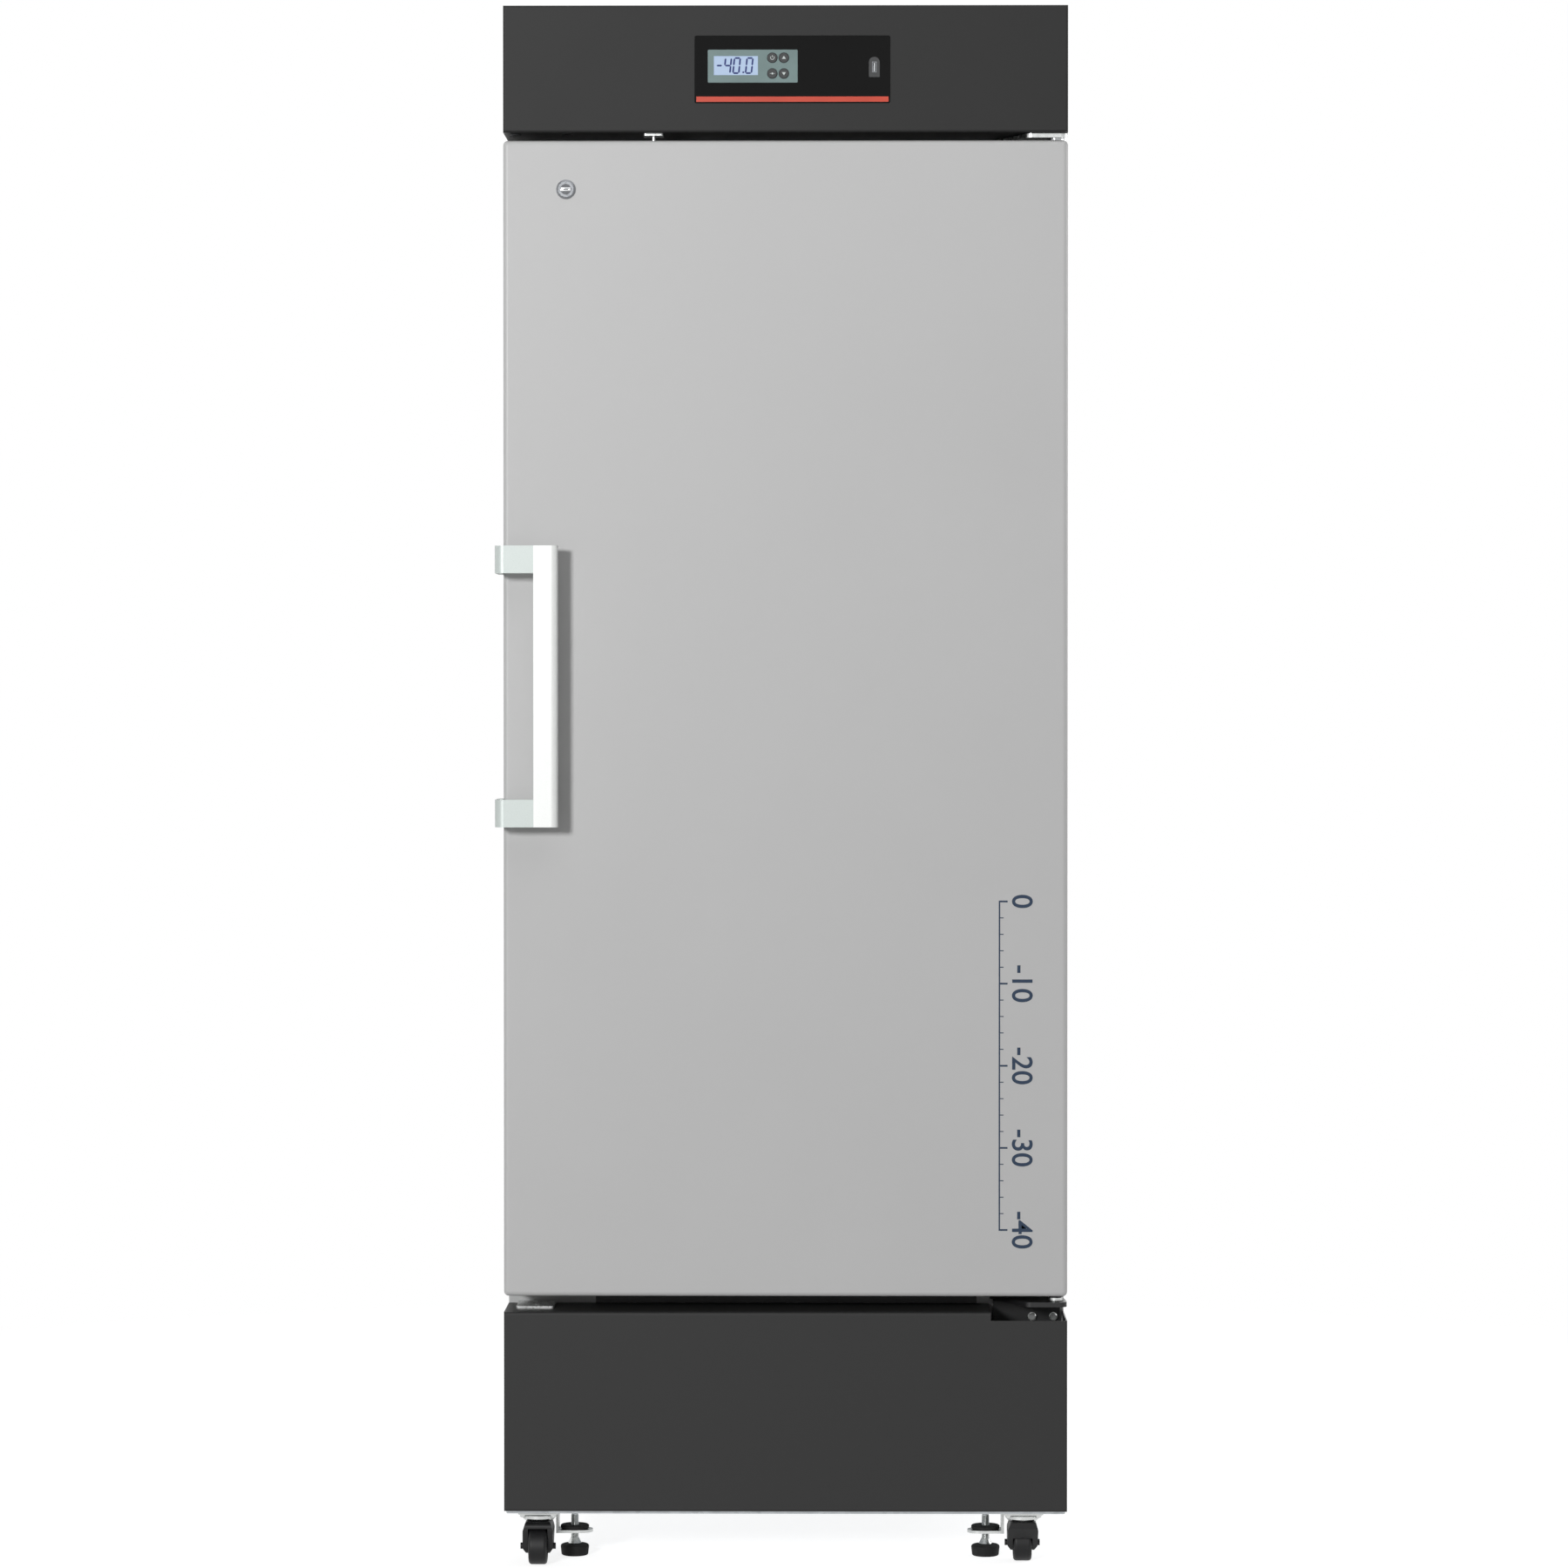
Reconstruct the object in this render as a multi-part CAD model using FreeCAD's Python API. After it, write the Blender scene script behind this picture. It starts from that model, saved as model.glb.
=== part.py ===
"""Upright laboratory freezer on swivel casters, every piece its own solid, in millimetres.

While it is modelled, x = 0 is the middle of the cabinet, y = 0 the plane that the door gasket
closes on, +Y the back and z = 0 the floor. Every piece is then moved so that the origin is the
bottom centre of the whole freezer's bounding box.
"""

import FreeCAD, Part
import math
import os

# Cabinet and its main levels
CABINET_WIDTH = 700.0
CABINET_DEPTH = 670.0
FRONT_REACH = 100.0
TOTAL_HEIGHT = 1942.0
CASTER_HEIGHT = 68.0
BASE_LIFT = 5.0
BASE_HEIGHT = 248.0
LOWER_GAP = 20.0
UPPER_GAP = 10.0
HEADER_HEIGHT = 157.0

# Sheet metal
SHEET = 1.0
COVER_SHEET = 1.5
PAN_SHEET = 2.0
SIDE_RETURN = 2.5
SIDE_BEND = 2.0
HEM = 12.0
ROOF_LIP = 0.8
COVER_EDGE_RADIUS = 3.0
FRAME_DROP = 41.0
FRAME_RISE = 65.0

# Insulated chamber
SIDE_INSULATION = 75.0
FLOOR_INSULATION = 88.0
CEILING_INSULATION = 93.0
BACK_INSULATION = 79.0
LINER_WALL = 2.0
LINER_RIM = 14.0
CHAMBER_CORNER = 24.0
CHAMBER_BACK_CORNER = 18.0
RAIL_LEVELS = 12
RAIL_REACH = 12.0
RAIL_LEDGE = 5.0
RAIL_DEPTH = 14.0
RAIL_NOSE_RADIUS = 2.0
RAIL_BACK_SET = 34.0
SHELF_COUNT = 3
SHELF_SHEET = 1.2
SHELF_SIDE_GAP = 3.0
SHELF_FRONT_SET = 44.0
SHELF_BACK_SET = 40.0
SHELF_HEM = 20.0
SHELF_UPSTAND = 15.0
SHELF_BEND = 3.0
SHELF_SLOTS = 6
SHELF_SLOT_ROWS = 3
SHELF_SLOT_LENGTH = 60.0
SHELF_SLOT_WIDTH = 12.0

# Door
DOOR_BACK_GAP = 14.0
DOOR_SKIN_SHEET = 1.0
DOOR_EDGE_RADIUS = 6.0
DOOR_LINER_WALL = 2.0
DOOR_LINER_MARGIN = 5.0
DAM_REACH = 18.0
DAM_SIDE_GAP = 17.0
DAM_CORNER = 22.0
DAM_EDGE_RADIUS = 6.0
DAM_FOOT_WIDTH = 2.0
GASKET_GAP = 0.3
GASKET_INSET = 20.0
GASKET_WIDTH = 30.0
GASKET_BASE = 4.0
GASKET_NECK = 5.0
GASKET_NECK_INSET = 7.0
GASKET_BULB_INSET = 3.0

# Hinges
PIN_EDGE_DISTANCE = 14.0
PIN_BACK_DISTANCE = 75.0
PIN_RADIUS = 4.0
PIN_CLEARANCE = 0.08
PIN_GRIP = 17.0
BUSH_RADIUS = 8.0
BUSH_DEPTH = 20.0
BUSH_FLANGE_RADIUS = 11.0
BUSH_FLANGE = 1.5
UPPER_ARM_THICKNESS = 5.0
UPPER_ARM_DROP = 1.0
LOWER_ARM_THICKNESS = 6.0
LOWER_ARM_DROP = 8.0
ARM_NOSE_RADIUS = 17.0
ARM_NOSE_WIDTH = 50.0
ARM_ROOT_WIDTH = 90.0
ARM_ROOT_EDGE_SET = 5.0
ARM_CORNER = 3.0
UPPER_FLANGE_RISE = 46.0
LOWER_FLANGE_FALL = 35.0
SHOULDER_RADIUS = 8.0
BRACKET_BOLT_RADIUS = 4.2
LOWER_BOLT_FIRST_SET = 13.0
LOWER_BOLT_SPACING = 27.0
LOWER_BOLT_DROP = 22.0
NOTCH_WIDTH = 95.0
NOTCH_DEPTH = 10.0
SPARE_PLATE_EDGE_SET = 13.0
SPARE_PLATE_WIDTH = 47.0
SPARE_PLATE_DEPTH = 60.0
SPARE_PLATE_THICKNESS = 3.0
SPARE_PLATE_HOLE_RADIUS = 4.2
SPARE_PLATE_HOLE_FRONT = 14.0

# Door handle
HANDLE_SIDE_THICKNESS = 8.0
HANDLE_STAND_OFF = 30.0
HANDLE_BAR_DEPTH = 18.0
HANDLE_BAR_WIDTH = 30.0
HANDLE_BAR_ROUND = 8.0
HANDLE_LOW = 925.0
HANDLE_LENGTH = 347.0
HANDLE_BRACKET_HEIGHT = 34.0
HANDLE_BRACKET_REACH = 48.0
HANDLE_BRACKET_DEPTH = 14.0
HANDLE_BEND_RADIUS = 11.0
HANDLE_INNER_RADIUS = 4.0
HANDLE_SIDE_LENGTH = 92.0
HANDLE_TENON_LENGTH = 8.0
HANDLE_TENON_DEPTH = 8.0
HANDLE_TENON_HEIGHT = 20.0
HANDLE_SCREW_RADIUS = 2.5

# Door lock
LOCK_FROM_SIDE = 78.0
LOCK_BELOW_DOOR_TOP = 60.7
LOCK_FLANGE_RADIUS = 12.0
LOCK_FLANGE_PROUD = 2.0
LOCK_BARREL_RADIUS = 9.5
LOCK_BARREL_LENGTH = 19.0
LOCK_PLUG_RADIUS = 6.5
LOCK_PLUG_CLEARANCE = 0.05
LOCK_PLUG_RECESS = 0.6
KEY_SLOT_LENGTH = 8.0
KEY_SLOT_WIDTH = 1.8
KEY_SLOT_DEPTH = 6.0
CRANK_RADIUS = 12.0
CRANK_REST_ANGLE = 45.0
CRANK_PIN_RADIUS = 2.5
CRANK_PIN_SLACK = 0.5
CRANK_THICKNESS = 2.0
CRANK_GAP = 0.4
BOLT_PLATE_THICKNESS = 3.0
BOLT_PLATE_WALL = 3.0
BOLT_STEM_RADIUS = 4.0
BOLT_STEM_CLEARANCE = 0.06
BOLT_TIP_SET = 0.5
BOLT_HOLE_RADIUS = 6.5
LOCK_PLATE_HALF_WIDTH = 15.0
LOCK_PLATE_THICKNESS = 2.0
GUIDE_RADIUS = 7.0
GUIDE_LENGTH = 30.0
POCKET_MARGIN = 5.0

# Door switch
SWITCH_FROM_SIDE = 186.0
SWITCH_FRONT_SET = 12.0
SWITCH_HEAD_WIDTH = 25.0
SWITCH_HEAD_DEPTH = 26.0
SWITCH_HEAD_THICKNESS = 3.0
SWITCH_NECK_RADIUS = 6.0
SWITCH_BODY_HEIGHT = 24.0
SWITCH_PLUNGER_RADIUS = 2.4
SWITCH_PLUNGER_CLEARANCE = 0.05
SWITCH_TIP_GAP = 0.3
SWITCH_TRAVEL = 3.0

# Control panel in the header
PLATE_LEFT = -112.3
PLATE_WIDTH = 241.9
PLATE_LOW = 36.0
PLATE_HEIGHT = 83.0
PLATE_PROUD = 0.6
PLATE_FLANGE = 4.0
PLATE_FLANGE_THICKNESS = 2.0
PLATE_CORNER = 2.0
FIT_GAP = 0.3
STRIP_ABOVE_PLATE_LOW = 1.3
STRIP_HEIGHT = 6.5
STRIP_SIDE_SET = 2.0
STRIP_GROOVE = 1.0
STRIP_PROUD = 0.3
BEZEL_LEFT_SET = 16.2
BEZEL_WIDTH = 111.2
BEZEL_ABOVE_PLATE_LOW = 25.0
BEZEL_HEIGHT = 40.7
BEZEL_PROUD = 0.6
BEZEL_FLANGE = 3.0
BEZEL_FLANGE_THICKNESS = 1.6
BEZEL_CORNER = 1.5
LCD_LEFT_SET = 7.3
LCD_WIDTH = 54.7
LCD_ABOVE_BEZEL_LOW = 9.3
LCD_HEIGHT = 23.7
LCD_RECESS = 0.7
LCD_THICKNESS = 1.6
LCD_LEDGE = 2.0
KEY_RADIUS = 6.25
KEY_FIRST_SET = 79.9
KEY_SPACING_X = 14.3
KEY_LOW_SET = 11.2
KEY_SPACING_Z = 19.5
KEY_PROUD = 0.8
KEY_DOME = 0.6
KEY_FLANGE = 0.6
KEY_FLANGE_THICKNESS = 1.0
KEY_STEM_RADIUS = 2.0
KEY_TRAVEL = 1.0
BOARD_THICKNESS = 1.6
BOARD_BEHIND_SHEET = 7.0
BOARD_MARGIN = 6.0
BOARD_POST_RADIUS = 3.0
CHIP_HEIGHT = 4.0
RELAY_COUNT = 3
RELAY_SIZE = 16.0
USB_RIGHT_SET = 19.6
USB_ABOVE_PLATE_LOW = 44.2
USB_WIDTH = 13.4
USB_HEIGHT = 25.0
USB_PROUD = 0.5
USB_DEPTH = 14.0
USB_SHELL_WIDTH = 5.6
USB_SHELL_HEIGHT = 13.2
USB_SHELL_WALL = 0.6
USB_TONGUE = 1.4

# Casters
CASTER_LEFT_SET = 40.0
CASTER_RIGHT_SET = 53.0
CASTER_FRONT_SET = 60.0
CASTER_BACK_SET = 60.0
CASTER_PLATE = 50.0
CASTER_PLATE_THICKNESS = 5.0
CASTER_PLATE_CORNER = 5.0
RACEWAY_RADIUS = 21.0
RACEWAY_DEPTH = 9.0
RACEWAY_LIP = 2.5
FORK_TOP_GAP = 0.3
FORK_HALF_WIDTH = 19.0
FORK_LEG = 6.7
FORK_TOP_THICKNESS = 4.7
FORK_TOP_REACH = 20.0
FORK_BOSS_RADIUS = 9.0
HOOD_TOP_HALF = 15.5
HOOD_TOP_ROUND = 3.0
HOOD_SHOULDER_DROP = 11.0
HOOD_SHOULDER_ROUND = 6.0
LEG_TIP_HALF = 14.5
LEG_TIP_RISE = 7.0
LEG_TIP_ROUND = 4.0
WHEEL_RADIUS = 23.0
WHEEL_WIDTH = 23.0
WHEEL_SHOULDER = 4.0
WHEEL_HUB_RADIUS = 9.0
WHEEL_RIM_RADIUS = 17.0
WHEEL_WEB_INSET = 4.0
WHEEL_GAP = 2.0
WHEEL_TRAIL = 16.0
AXLE_RADIUS = 4.0
AXLE_CLEARANCE = 0.08
AXLE_NUB = 3.0
KINGPIN_RADIUS = 5.0
KINGPIN_CLEARANCE = 0.08
KINGPIN_HEAD_RADIUS = 8.0
KINGPIN_HEAD = 2.0
KINGPIN_HEAD_GAP = 0.5

# Levelling feet
FOOT_LEFT_SET = 82.5
FOOT_RIGHT_SET = 98.0
FOOT_FRONT_SET = 114.0
FOOT_RADIUS = 18.3
FOOT_LOW_RADIUS = 16.8
FOOT_RIM = 13.5
FOOT_LOW_ROUND = 2.0
FOOT_RIM_ROUND = 3.0
FOOT_DOME = 1.0
FOOT_NECK_RADIUS = 9.0
FOOT_HEIGHT = 15.0
FOOT_SOCKET_FLOOR = 3.0
FOOT_SOCKET_GAP = 0.3
SCREW_RADIUS = 5.0
SCREW_CLEARANCE = 0.08
SCREW_TOP = 55.0
SCREW_FLARE_RADIUS = 8.5
SCREW_FLARE_HEIGHT = 6.7
BRACKET_TAB_LEVEL = 29.5
BRACKET_TAB_OVERHANG = 8.0
BRACKET_SHEET = 3.5
BRACKET_WEB_OFFSET = 19.5
BRACKET_DEPTH = 30.0
BRACKET_TOP_WIDTH = 28.0

# Machine room
PAN_RISE = 25.0
PAN_SIDE_GAP = 1.0
PAN_FRONT_GAP = 0.5
CONDENSER_HALF_WIDTH = 190.0
CONDENSER_FRONT = 70.0
CONDENSER_DEPTH = 46.0
CONDENSER_FIN_COUNT = 19
CONDENSER_FIN_THICKNESS = 8.0
CONDENSER_FIN_REACH = 9.0
CONDENSER_LOW_GAP = 14.0
CONDENSER_HEIGHT = 206.0
CONDENSER_END_PLATE = 2.0
CONDENSER_END_RISE = 8.0
SHROUD_SHEET = 2.0
SHROUD_BORE_RADIUS = 91.0
SHROUD_RING_WALL = 3.0
SHROUD_RING_DEPTH = 34.0
FAN_RADIUS = 82.0
FAN_HUB_RADIUS = 22.0
FAN_HUB_LENGTH = 22.0
FAN_SET = 8.0
FAN_BLADES = 5
FAN_BLADE_THICKNESS = 2.5
FAN_ROOT_CHORD = 34.0
FAN_TIP_CHORD = 62.0
FAN_ROOT_PITCH = 38.0
FAN_TIP_PITCH = 20.0
MOTOR_RADIUS = 38.0
MOTOR_LENGTH = 58.0
MOTOR_GAP = 8.0
MOTOR_EDGE_RADIUS = 5.0
MOTOR_ARM_WIDTH = 10.0
MOTOR_ARM_THICKNESS = 3.0
MOTOR_ARMS = 3
SHAFT_RADIUS = 4.0
SHAFT_CLEARANCE = 0.05
SHAFT_GRIP = 20.0
COMPRESSOR_SIDE_SET = 240.0
COMPRESSOR_BACK_SET = 200.0
COMPRESSOR_RADIUS = 77.0
COMPRESSOR_HEIGHT = 172.0
COMPRESSOR_DOME = 48.0
COMPRESSOR_SEAM = 5.0
COMPRESSOR_SEAM_REACH = 4.0
COMPRESSOR_PLATE_X = 214.0
COMPRESSOR_PLATE_Y = 130.0
COMPRESSOR_PLATE = 3.0
COMPRESSOR_TERMINAL = 46.0
MOUNT_RADIUS = 13.0
MOUNT_HEIGHT = 16.0
MOUNT_WAIST = 9.0
TUBE_RADIUS = 4.0
TUBE_BEND = 24.0

# Rear louvre cover and mains inlet
LOUVRE_COLUMNS = 2
LOUVRE_ROWS = 7
LOUVRE_LENGTH = 180.0
LOUVRE_PITCH_X = 230.0
LOUVRE_PITCH_Z = 27.0
LOUVRE_HEIGHT = 11.0
LOUVRE_REACH = 6.0
LOUVRE_MOUTH = 5.0
LOUVRE_TOP_SET = 34.0
LOUVRE_CENTRE_X = -60.0
INLET_SIDE_SET = 94.0
INLET_Z = 138.0
INLET_WIDTH = 50.0
INLET_HEIGHT = 36.0
INLET_FLANGE = 2.0
INLET_BODY_WIDTH = 32.0
INLET_BODY_HEIGHT = 26.0
INLET_BODY_DEPTH = 22.0
INLET_HOLE_GAP = 2.5
INLET_WALL = 2.0
INLET_FLOOR = 3.0
INLET_PIN_WIDTH = 4.0
INLET_PIN_THICKNESS = 2.0
INLET_PIN_LENGTH = 15.0
INLET_PIN_PITCH = 7.0
INLET_PIN_DROP = 3.0

# Values worked out from the sizes above
HALF_WIDTH = CABINET_WIDTH / 2
FRONT_Y = -FRONT_REACH
BASE_LOW = CASTER_HEIGHT + BASE_LIFT
BASE_TOP = BASE_LOW + BASE_HEIGHT
DOOR_LOW = BASE_TOP + LOWER_GAP
HEADER_LOW = TOTAL_HEIGHT - HEADER_HEIGHT
DOOR_TOP = HEADER_LOW - UPPER_GAP
PAN_TOP = CASTER_HEIGHT + PAN_SHEET
BASE_LIP = FRONT_Y + COVER_SHEET + HEM
ROOF_LOW = TOTAL_HEIGHT - SHEET
FRAME_HALF = HALF_WIDTH - SIDE_RETURN
INNER_HALF = HALF_WIDTH - SHEET
BACK_INNER = CABINET_DEPTH - SHEET
CHAMBER_HALF = HALF_WIDTH - SIDE_INSULATION
CHAMBER_LOW = BASE_TOP + SHEET + FLOOR_INSULATION + LINER_WALL
CHAMBER_TOP = HEADER_LOW + UPPER_GAP - CEILING_INSULATION
CHAMBER_BACK = CABINET_DEPTH - BACK_INSULATION - SHEET
CHAMBER_HEIGHT = CHAMBER_TOP - CHAMBER_LOW
RAIL_FRONT = SHELF_FRONT_SET + SHELF_BEND + FIT_GAP
FOAM_LOW = BASE_TOP + PAN_SHEET + SHEET
FOAM_TOP = CHAMBER_TOP + CEILING_INSULATION
FRAME_LOW = BASE_TOP - FRAME_DROP
FRAME_TOP = HEADER_LOW + FRAME_RISE
DOOR_BACK = -DOOR_BACK_GAP
DOOR_SKIN_BACK = DOOR_BACK - DOOR_LINER_WALL
PIN_X = HALF_WIDTH - PIN_EDGE_DISTANCE
PIN_Y = -PIN_BACK_DISTANCE
UPPER_ARM_TOP = HEADER_LOW - UPPER_ARM_DROP
UPPER_ARM_LOW = UPPER_ARM_TOP - UPPER_ARM_THICKNESS
LOWER_ARM_TOP = DOOR_LOW - LOWER_ARM_DROP
LOWER_ARM_LOW = LOWER_ARM_TOP - LOWER_ARM_THICKNESS
BUSH_BORE_RADIUS = PIN_RADIUS + PIN_CLEARANCE
HANDLE_OUTER_X = -HALF_WIDTH - HANDLE_SIDE_THICKNESS
HANDLE_FRONT = FRONT_Y - HANDLE_STAND_OFF - HANDLE_BAR_DEPTH
HANDLE_BAR_LEFT = HANDLE_OUTER_X + HANDLE_BRACKET_REACH
HANDLE_TOP = HANDLE_LOW + HANDLE_LENGTH
LOCK_X = LOCK_FROM_SIDE - HALF_WIDTH
LOCK_Z = DOOR_TOP - LOCK_BELOW_DOOR_TOP
CRANK_SIDE = CRANK_RADIUS * math.sin(math.radians(CRANK_REST_ANGLE))
LOCK_BARREL_BACK = FRONT_Y + LOCK_BARREL_LENGTH
CRANK_FRONT = LOCK_BARREL_BACK + CRANK_GAP
CRANK_BACK = CRANK_FRONT + CRANK_THICKNESS
BOLT_FRONT = CRANK_BACK + CRANK_GAP
BOLT_BACK = BOLT_FRONT + BOLT_PLATE_THICKNESS
BOLT_Y = BOLT_FRONT + BOLT_STEM_RADIUS
BOLT_SLOT_HALF = CRANK_PIN_RADIUS + CRANK_PIN_SLACK
SWITCH_X = SWITCH_FROM_SIDE - HALF_WIDTH
SWITCH_HEAD_LOW = HEADER_LOW - SWITCH_HEAD_THICKNESS
SWITCH_Y = FRONT_Y + SWITCH_FRONT_SET + SWITCH_HEAD_DEPTH / 2
PLATE_RIGHT = PLATE_LEFT + PLATE_WIDTH
PLATE_Z = HEADER_LOW + PLATE_LOW
PLATE_TOP = PLATE_Z + PLATE_HEIGHT
COVER_INNER = FRONT_Y + COVER_SHEET
PLATE_FRONT = FRONT_Y - PLATE_PROUD
PLATE_BACK = COVER_INNER + PLATE_FLANGE_THICKNESS
BEZEL_LEFT = PLATE_LEFT + BEZEL_LEFT_SET
BEZEL_RIGHT = BEZEL_LEFT + BEZEL_WIDTH
BEZEL_Z = PLATE_Z + BEZEL_ABOVE_PLATE_LOW
BEZEL_TOP = BEZEL_Z + BEZEL_HEIGHT
BEZEL_FRONT = PLATE_FRONT - BEZEL_PROUD
BEZEL_BACK = PLATE_BACK + BEZEL_FLANGE_THICKNESS
LCD_LEFT = BEZEL_LEFT + LCD_LEFT_SET
LCD_Z = BEZEL_Z + LCD_ABOVE_BEZEL_LOW
BOARD_FRONT = COVER_INNER + BOARD_BEHIND_SHEET
USB_X = PLATE_RIGHT - USB_RIGHT_SET
USB_Z = PLATE_Z + USB_ABOVE_PLATE_LOW
CASTER_LEFT_X = CASTER_LEFT_SET - HALF_WIDTH
CASTER_RIGHT_X = HALF_WIDTH - CASTER_RIGHT_SET
CASTER_FRONT_Y = FRONT_Y + CASTER_FRONT_SET
CASTER_REAR_Y = CABINET_DEPTH - CASTER_BACK_SET
RACEWAY_LOW = CASTER_HEIGHT - CASTER_PLATE_THICKNESS - RACEWAY_DEPTH
FORK_TOP = RACEWAY_LOW - FORK_TOP_GAP
FORK_TOP_LOW = FORK_TOP - FORK_TOP_THICKNESS
SLOT_HALF = FORK_HALF_WIDTH - FORK_LEG
FOOT_LEFT_X = FOOT_LEFT_SET - HALF_WIDTH
FOOT_RIGHT_X = HALF_WIDTH - FOOT_RIGHT_SET
FOOT_Y = FRONT_Y + FOOT_FRONT_SET
FAN_FRONT = CONDENSER_FRONT + CONDENSER_DEPTH + SHROUD_SHEET + FAN_SET
FAN_Z = PAN_TOP + CONDENSER_LOW_GAP + CONDENSER_HEIGHT / 2
MOTOR_FRONT = FAN_FRONT + FAN_HUB_LENGTH + MOTOR_GAP
COMPRESSOR_X = COMPRESSOR_SIDE_SET - HALF_WIDTH
COMPRESSOR_Y = CABINET_DEPTH - COMPRESSOR_BACK_SET
COMPRESSOR_LOW = PAN_TOP + MOUNT_HEIGHT
COMPRESSOR_TOP = COMPRESSOR_LOW + COMPRESSOR_PLATE + COMPRESSOR_HEIGHT
INLET_X = HALF_WIDTH - INLET_SIDE_SET
OVERALL_BACK = CABINET_DEPTH + LOUVRE_REACH
ORIGIN_SHIFT = FreeCAD.Vector(
    -(HANDLE_OUTER_X + HALF_WIDTH) / 2, -(HANDLE_FRONT + OVERALL_BACK) / 2, 0.0
)

X_AXIS = FreeCAD.Vector(1, 0, 0)
Y_AXIS = FreeCAD.Vector(0, 1, 0)
Z_AXIS = FreeCAD.Vector(0, 0, 1)
PLACE_ON_AXIS = {
    "x": lambda a, b, at: FreeCAD.Vector(at, a, b),
    "y": lambda a, b, at: FreeCAD.Vector(a, at, b),
    "z": lambda a, b, at: FreeCAD.Vector(a, b, at),
}
DIRECTION = {"x": X_AXIS, "y": Y_AXIS, "z": Z_AXIS}
NEAR = 0.01


def block(x_range, y_range, z_range):
    """Box between two corners, each range given as (low, high)."""
    size = [high - low for low, high in (x_range, y_range, z_range)]
    corner = FreeCAD.Vector(x_range[0], y_range[0], z_range[0])
    return Part.makeBox(*size, corner)


def cylinder(radius, axis, start, end, first, second):
    """Cylinder along an axis from start to end, centred on the other two coordinates."""
    base = PLACE_ON_AXIS[axis](first, second, start)
    return Part.makeCylinder(radius, end - start, base, DIRECTION[axis])


def corner_cut(before, corner, after, radius):
    """Start, middle and end of the arc that rounds one corner of a flat outline."""
    to_before = FreeCAD.Vector(before[0] - corner[0], before[1] - corner[1], 0).normalize()
    to_after = FreeCAD.Vector(after[0] - corner[0], after[1] - corner[1], 0).normalize()
    half_angle = to_before.getAngle(to_after) / 2
    point = FreeCAD.Vector(corner[0], corner[1], 0)
    reach = radius / math.tan(half_angle)
    inward = (to_before + to_after).normalize()
    middle = point + inward * (radius / math.sin(half_angle) - radius)
    return point + to_before * reach, middle, point + to_after * reach


def outline(points, axis, at):
    """Closed wire square to an axis; a point's third number rounds its corner."""
    place = PLACE_ON_AXIS[axis]
    stops = []
    for index, point in enumerate(points):
        if len(point) == 3:
            before = points[index - 1]
            after = points[(index + 1) % len(points)]
            stops.append(corner_cut(before, point, after, point[2]))
        else:
            stops.append((FreeCAD.Vector(point[0], point[1], 0),))
    edges = []
    for index, stop in enumerate(stops):
        if len(stop) == 3:
            edges.append(Part.Arc(*[place(p.x, p.y, at) for p in stop]).toShape())
        start = stop[-1]
        end = stops[(index + 1) % len(stops)][0]
        if start.distanceToPoint(end) > NEAR:
            ends = (place(start.x, start.y, at), place(end.x, end.y, at))
            edges.append(Part.LineSegment(*ends).toShape())
    return Part.Wire(edges)


def extrude(points, axis, start, end):
    """Flat outline pushed along an axis from start to end."""
    face = Part.Face(outline(points, axis, start))
    return face.extrude(DIRECTION[axis] * (end - start))


def rounded_box(x_range, y_range, z_range, axis, radius):
    """Box whose four edges along one axis are rounded."""
    ranges = {"x": x_range, "y": y_range, "z": z_range}
    along = ranges.pop(axis)
    (a_low, a_high), (b_low, b_high) = ranges.values()
    corners = [(a_low, b_low), (a_high, b_low), (a_high, b_high), (a_low, b_high)]
    return extrude([(a, b, radius) for a, b in corners], axis, *along)


def edges_at(shape, axis, value):
    """Edges that lie wholly in one plane square to an axis."""
    found = []
    for edge in shape.Edges:
        box = edge.BoundBox
        low = {"x": box.XMin, "y": box.YMin, "z": box.ZMin}[axis]
        high = {"x": box.XMax, "y": box.YMax, "z": box.ZMax}[axis]
        if abs(low - value) < NEAR and abs(high - value) < NEAR:
            found.append(edge)
    return found


def slot_cutter(length, width, axis, start, end, first, second):
    """Round-ended slot whose long side lies along the first of its two flat directions."""
    half, radius = length / 2, width / 2
    points = [
        (first - half, second - radius, radius * (1 - NEAR)),
        (first + half, second - radius, radius * (1 - NEAR)),
        (first + half, second + radius, radius * (1 - NEAR)),
        (first - half, second + radius, radius * (1 - NEAR)),
    ]
    return extrude(points, axis, start, end)


def revolve(points, centre, direction):
    """Full turn of an outline given as (radius, height) about an axis through a centre."""
    flat = Part.Face(outline(points, "y", 0.0))
    body = flat.revolve(FreeCAD.Vector(0, 0, 0), Z_AXIS, 360)
    body.Placement = FreeCAD.Placement(centre, FreeCAD.Rotation(Z_AXIS, direction))
    return body


def mirrored(points):
    """The same outline on the other side of x = 0."""
    return [(-point[0], *point[1:]) for point in reversed(points)]


def fuse(first, *others):
    """One solid from pieces that meet."""
    return first.fuse(list(others)).removeSplitter()


# Cabinet shell


def side_panel(side):
    """Tall sheet folded inwards at the front and at the back."""
    inner_bend = SIDE_BEND - SHEET
    points = [
        (FRAME_HALF, 0.0),
        (HALF_WIDTH, 0.0, SIDE_BEND),
        (HALF_WIDTH, CABINET_DEPTH, SIDE_BEND),
        (FRAME_HALF, CABINET_DEPTH),
        (FRAME_HALF, BACK_INNER),
        (INNER_HALF, BACK_INNER, inner_bend),
        (INNER_HALF, SHEET, inner_bend),
        (FRAME_HALF, SHEET),
    ]
    return extrude(points if side > 0 else mirrored(points), "z", BASE_LOW, ROOF_LOW)


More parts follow.
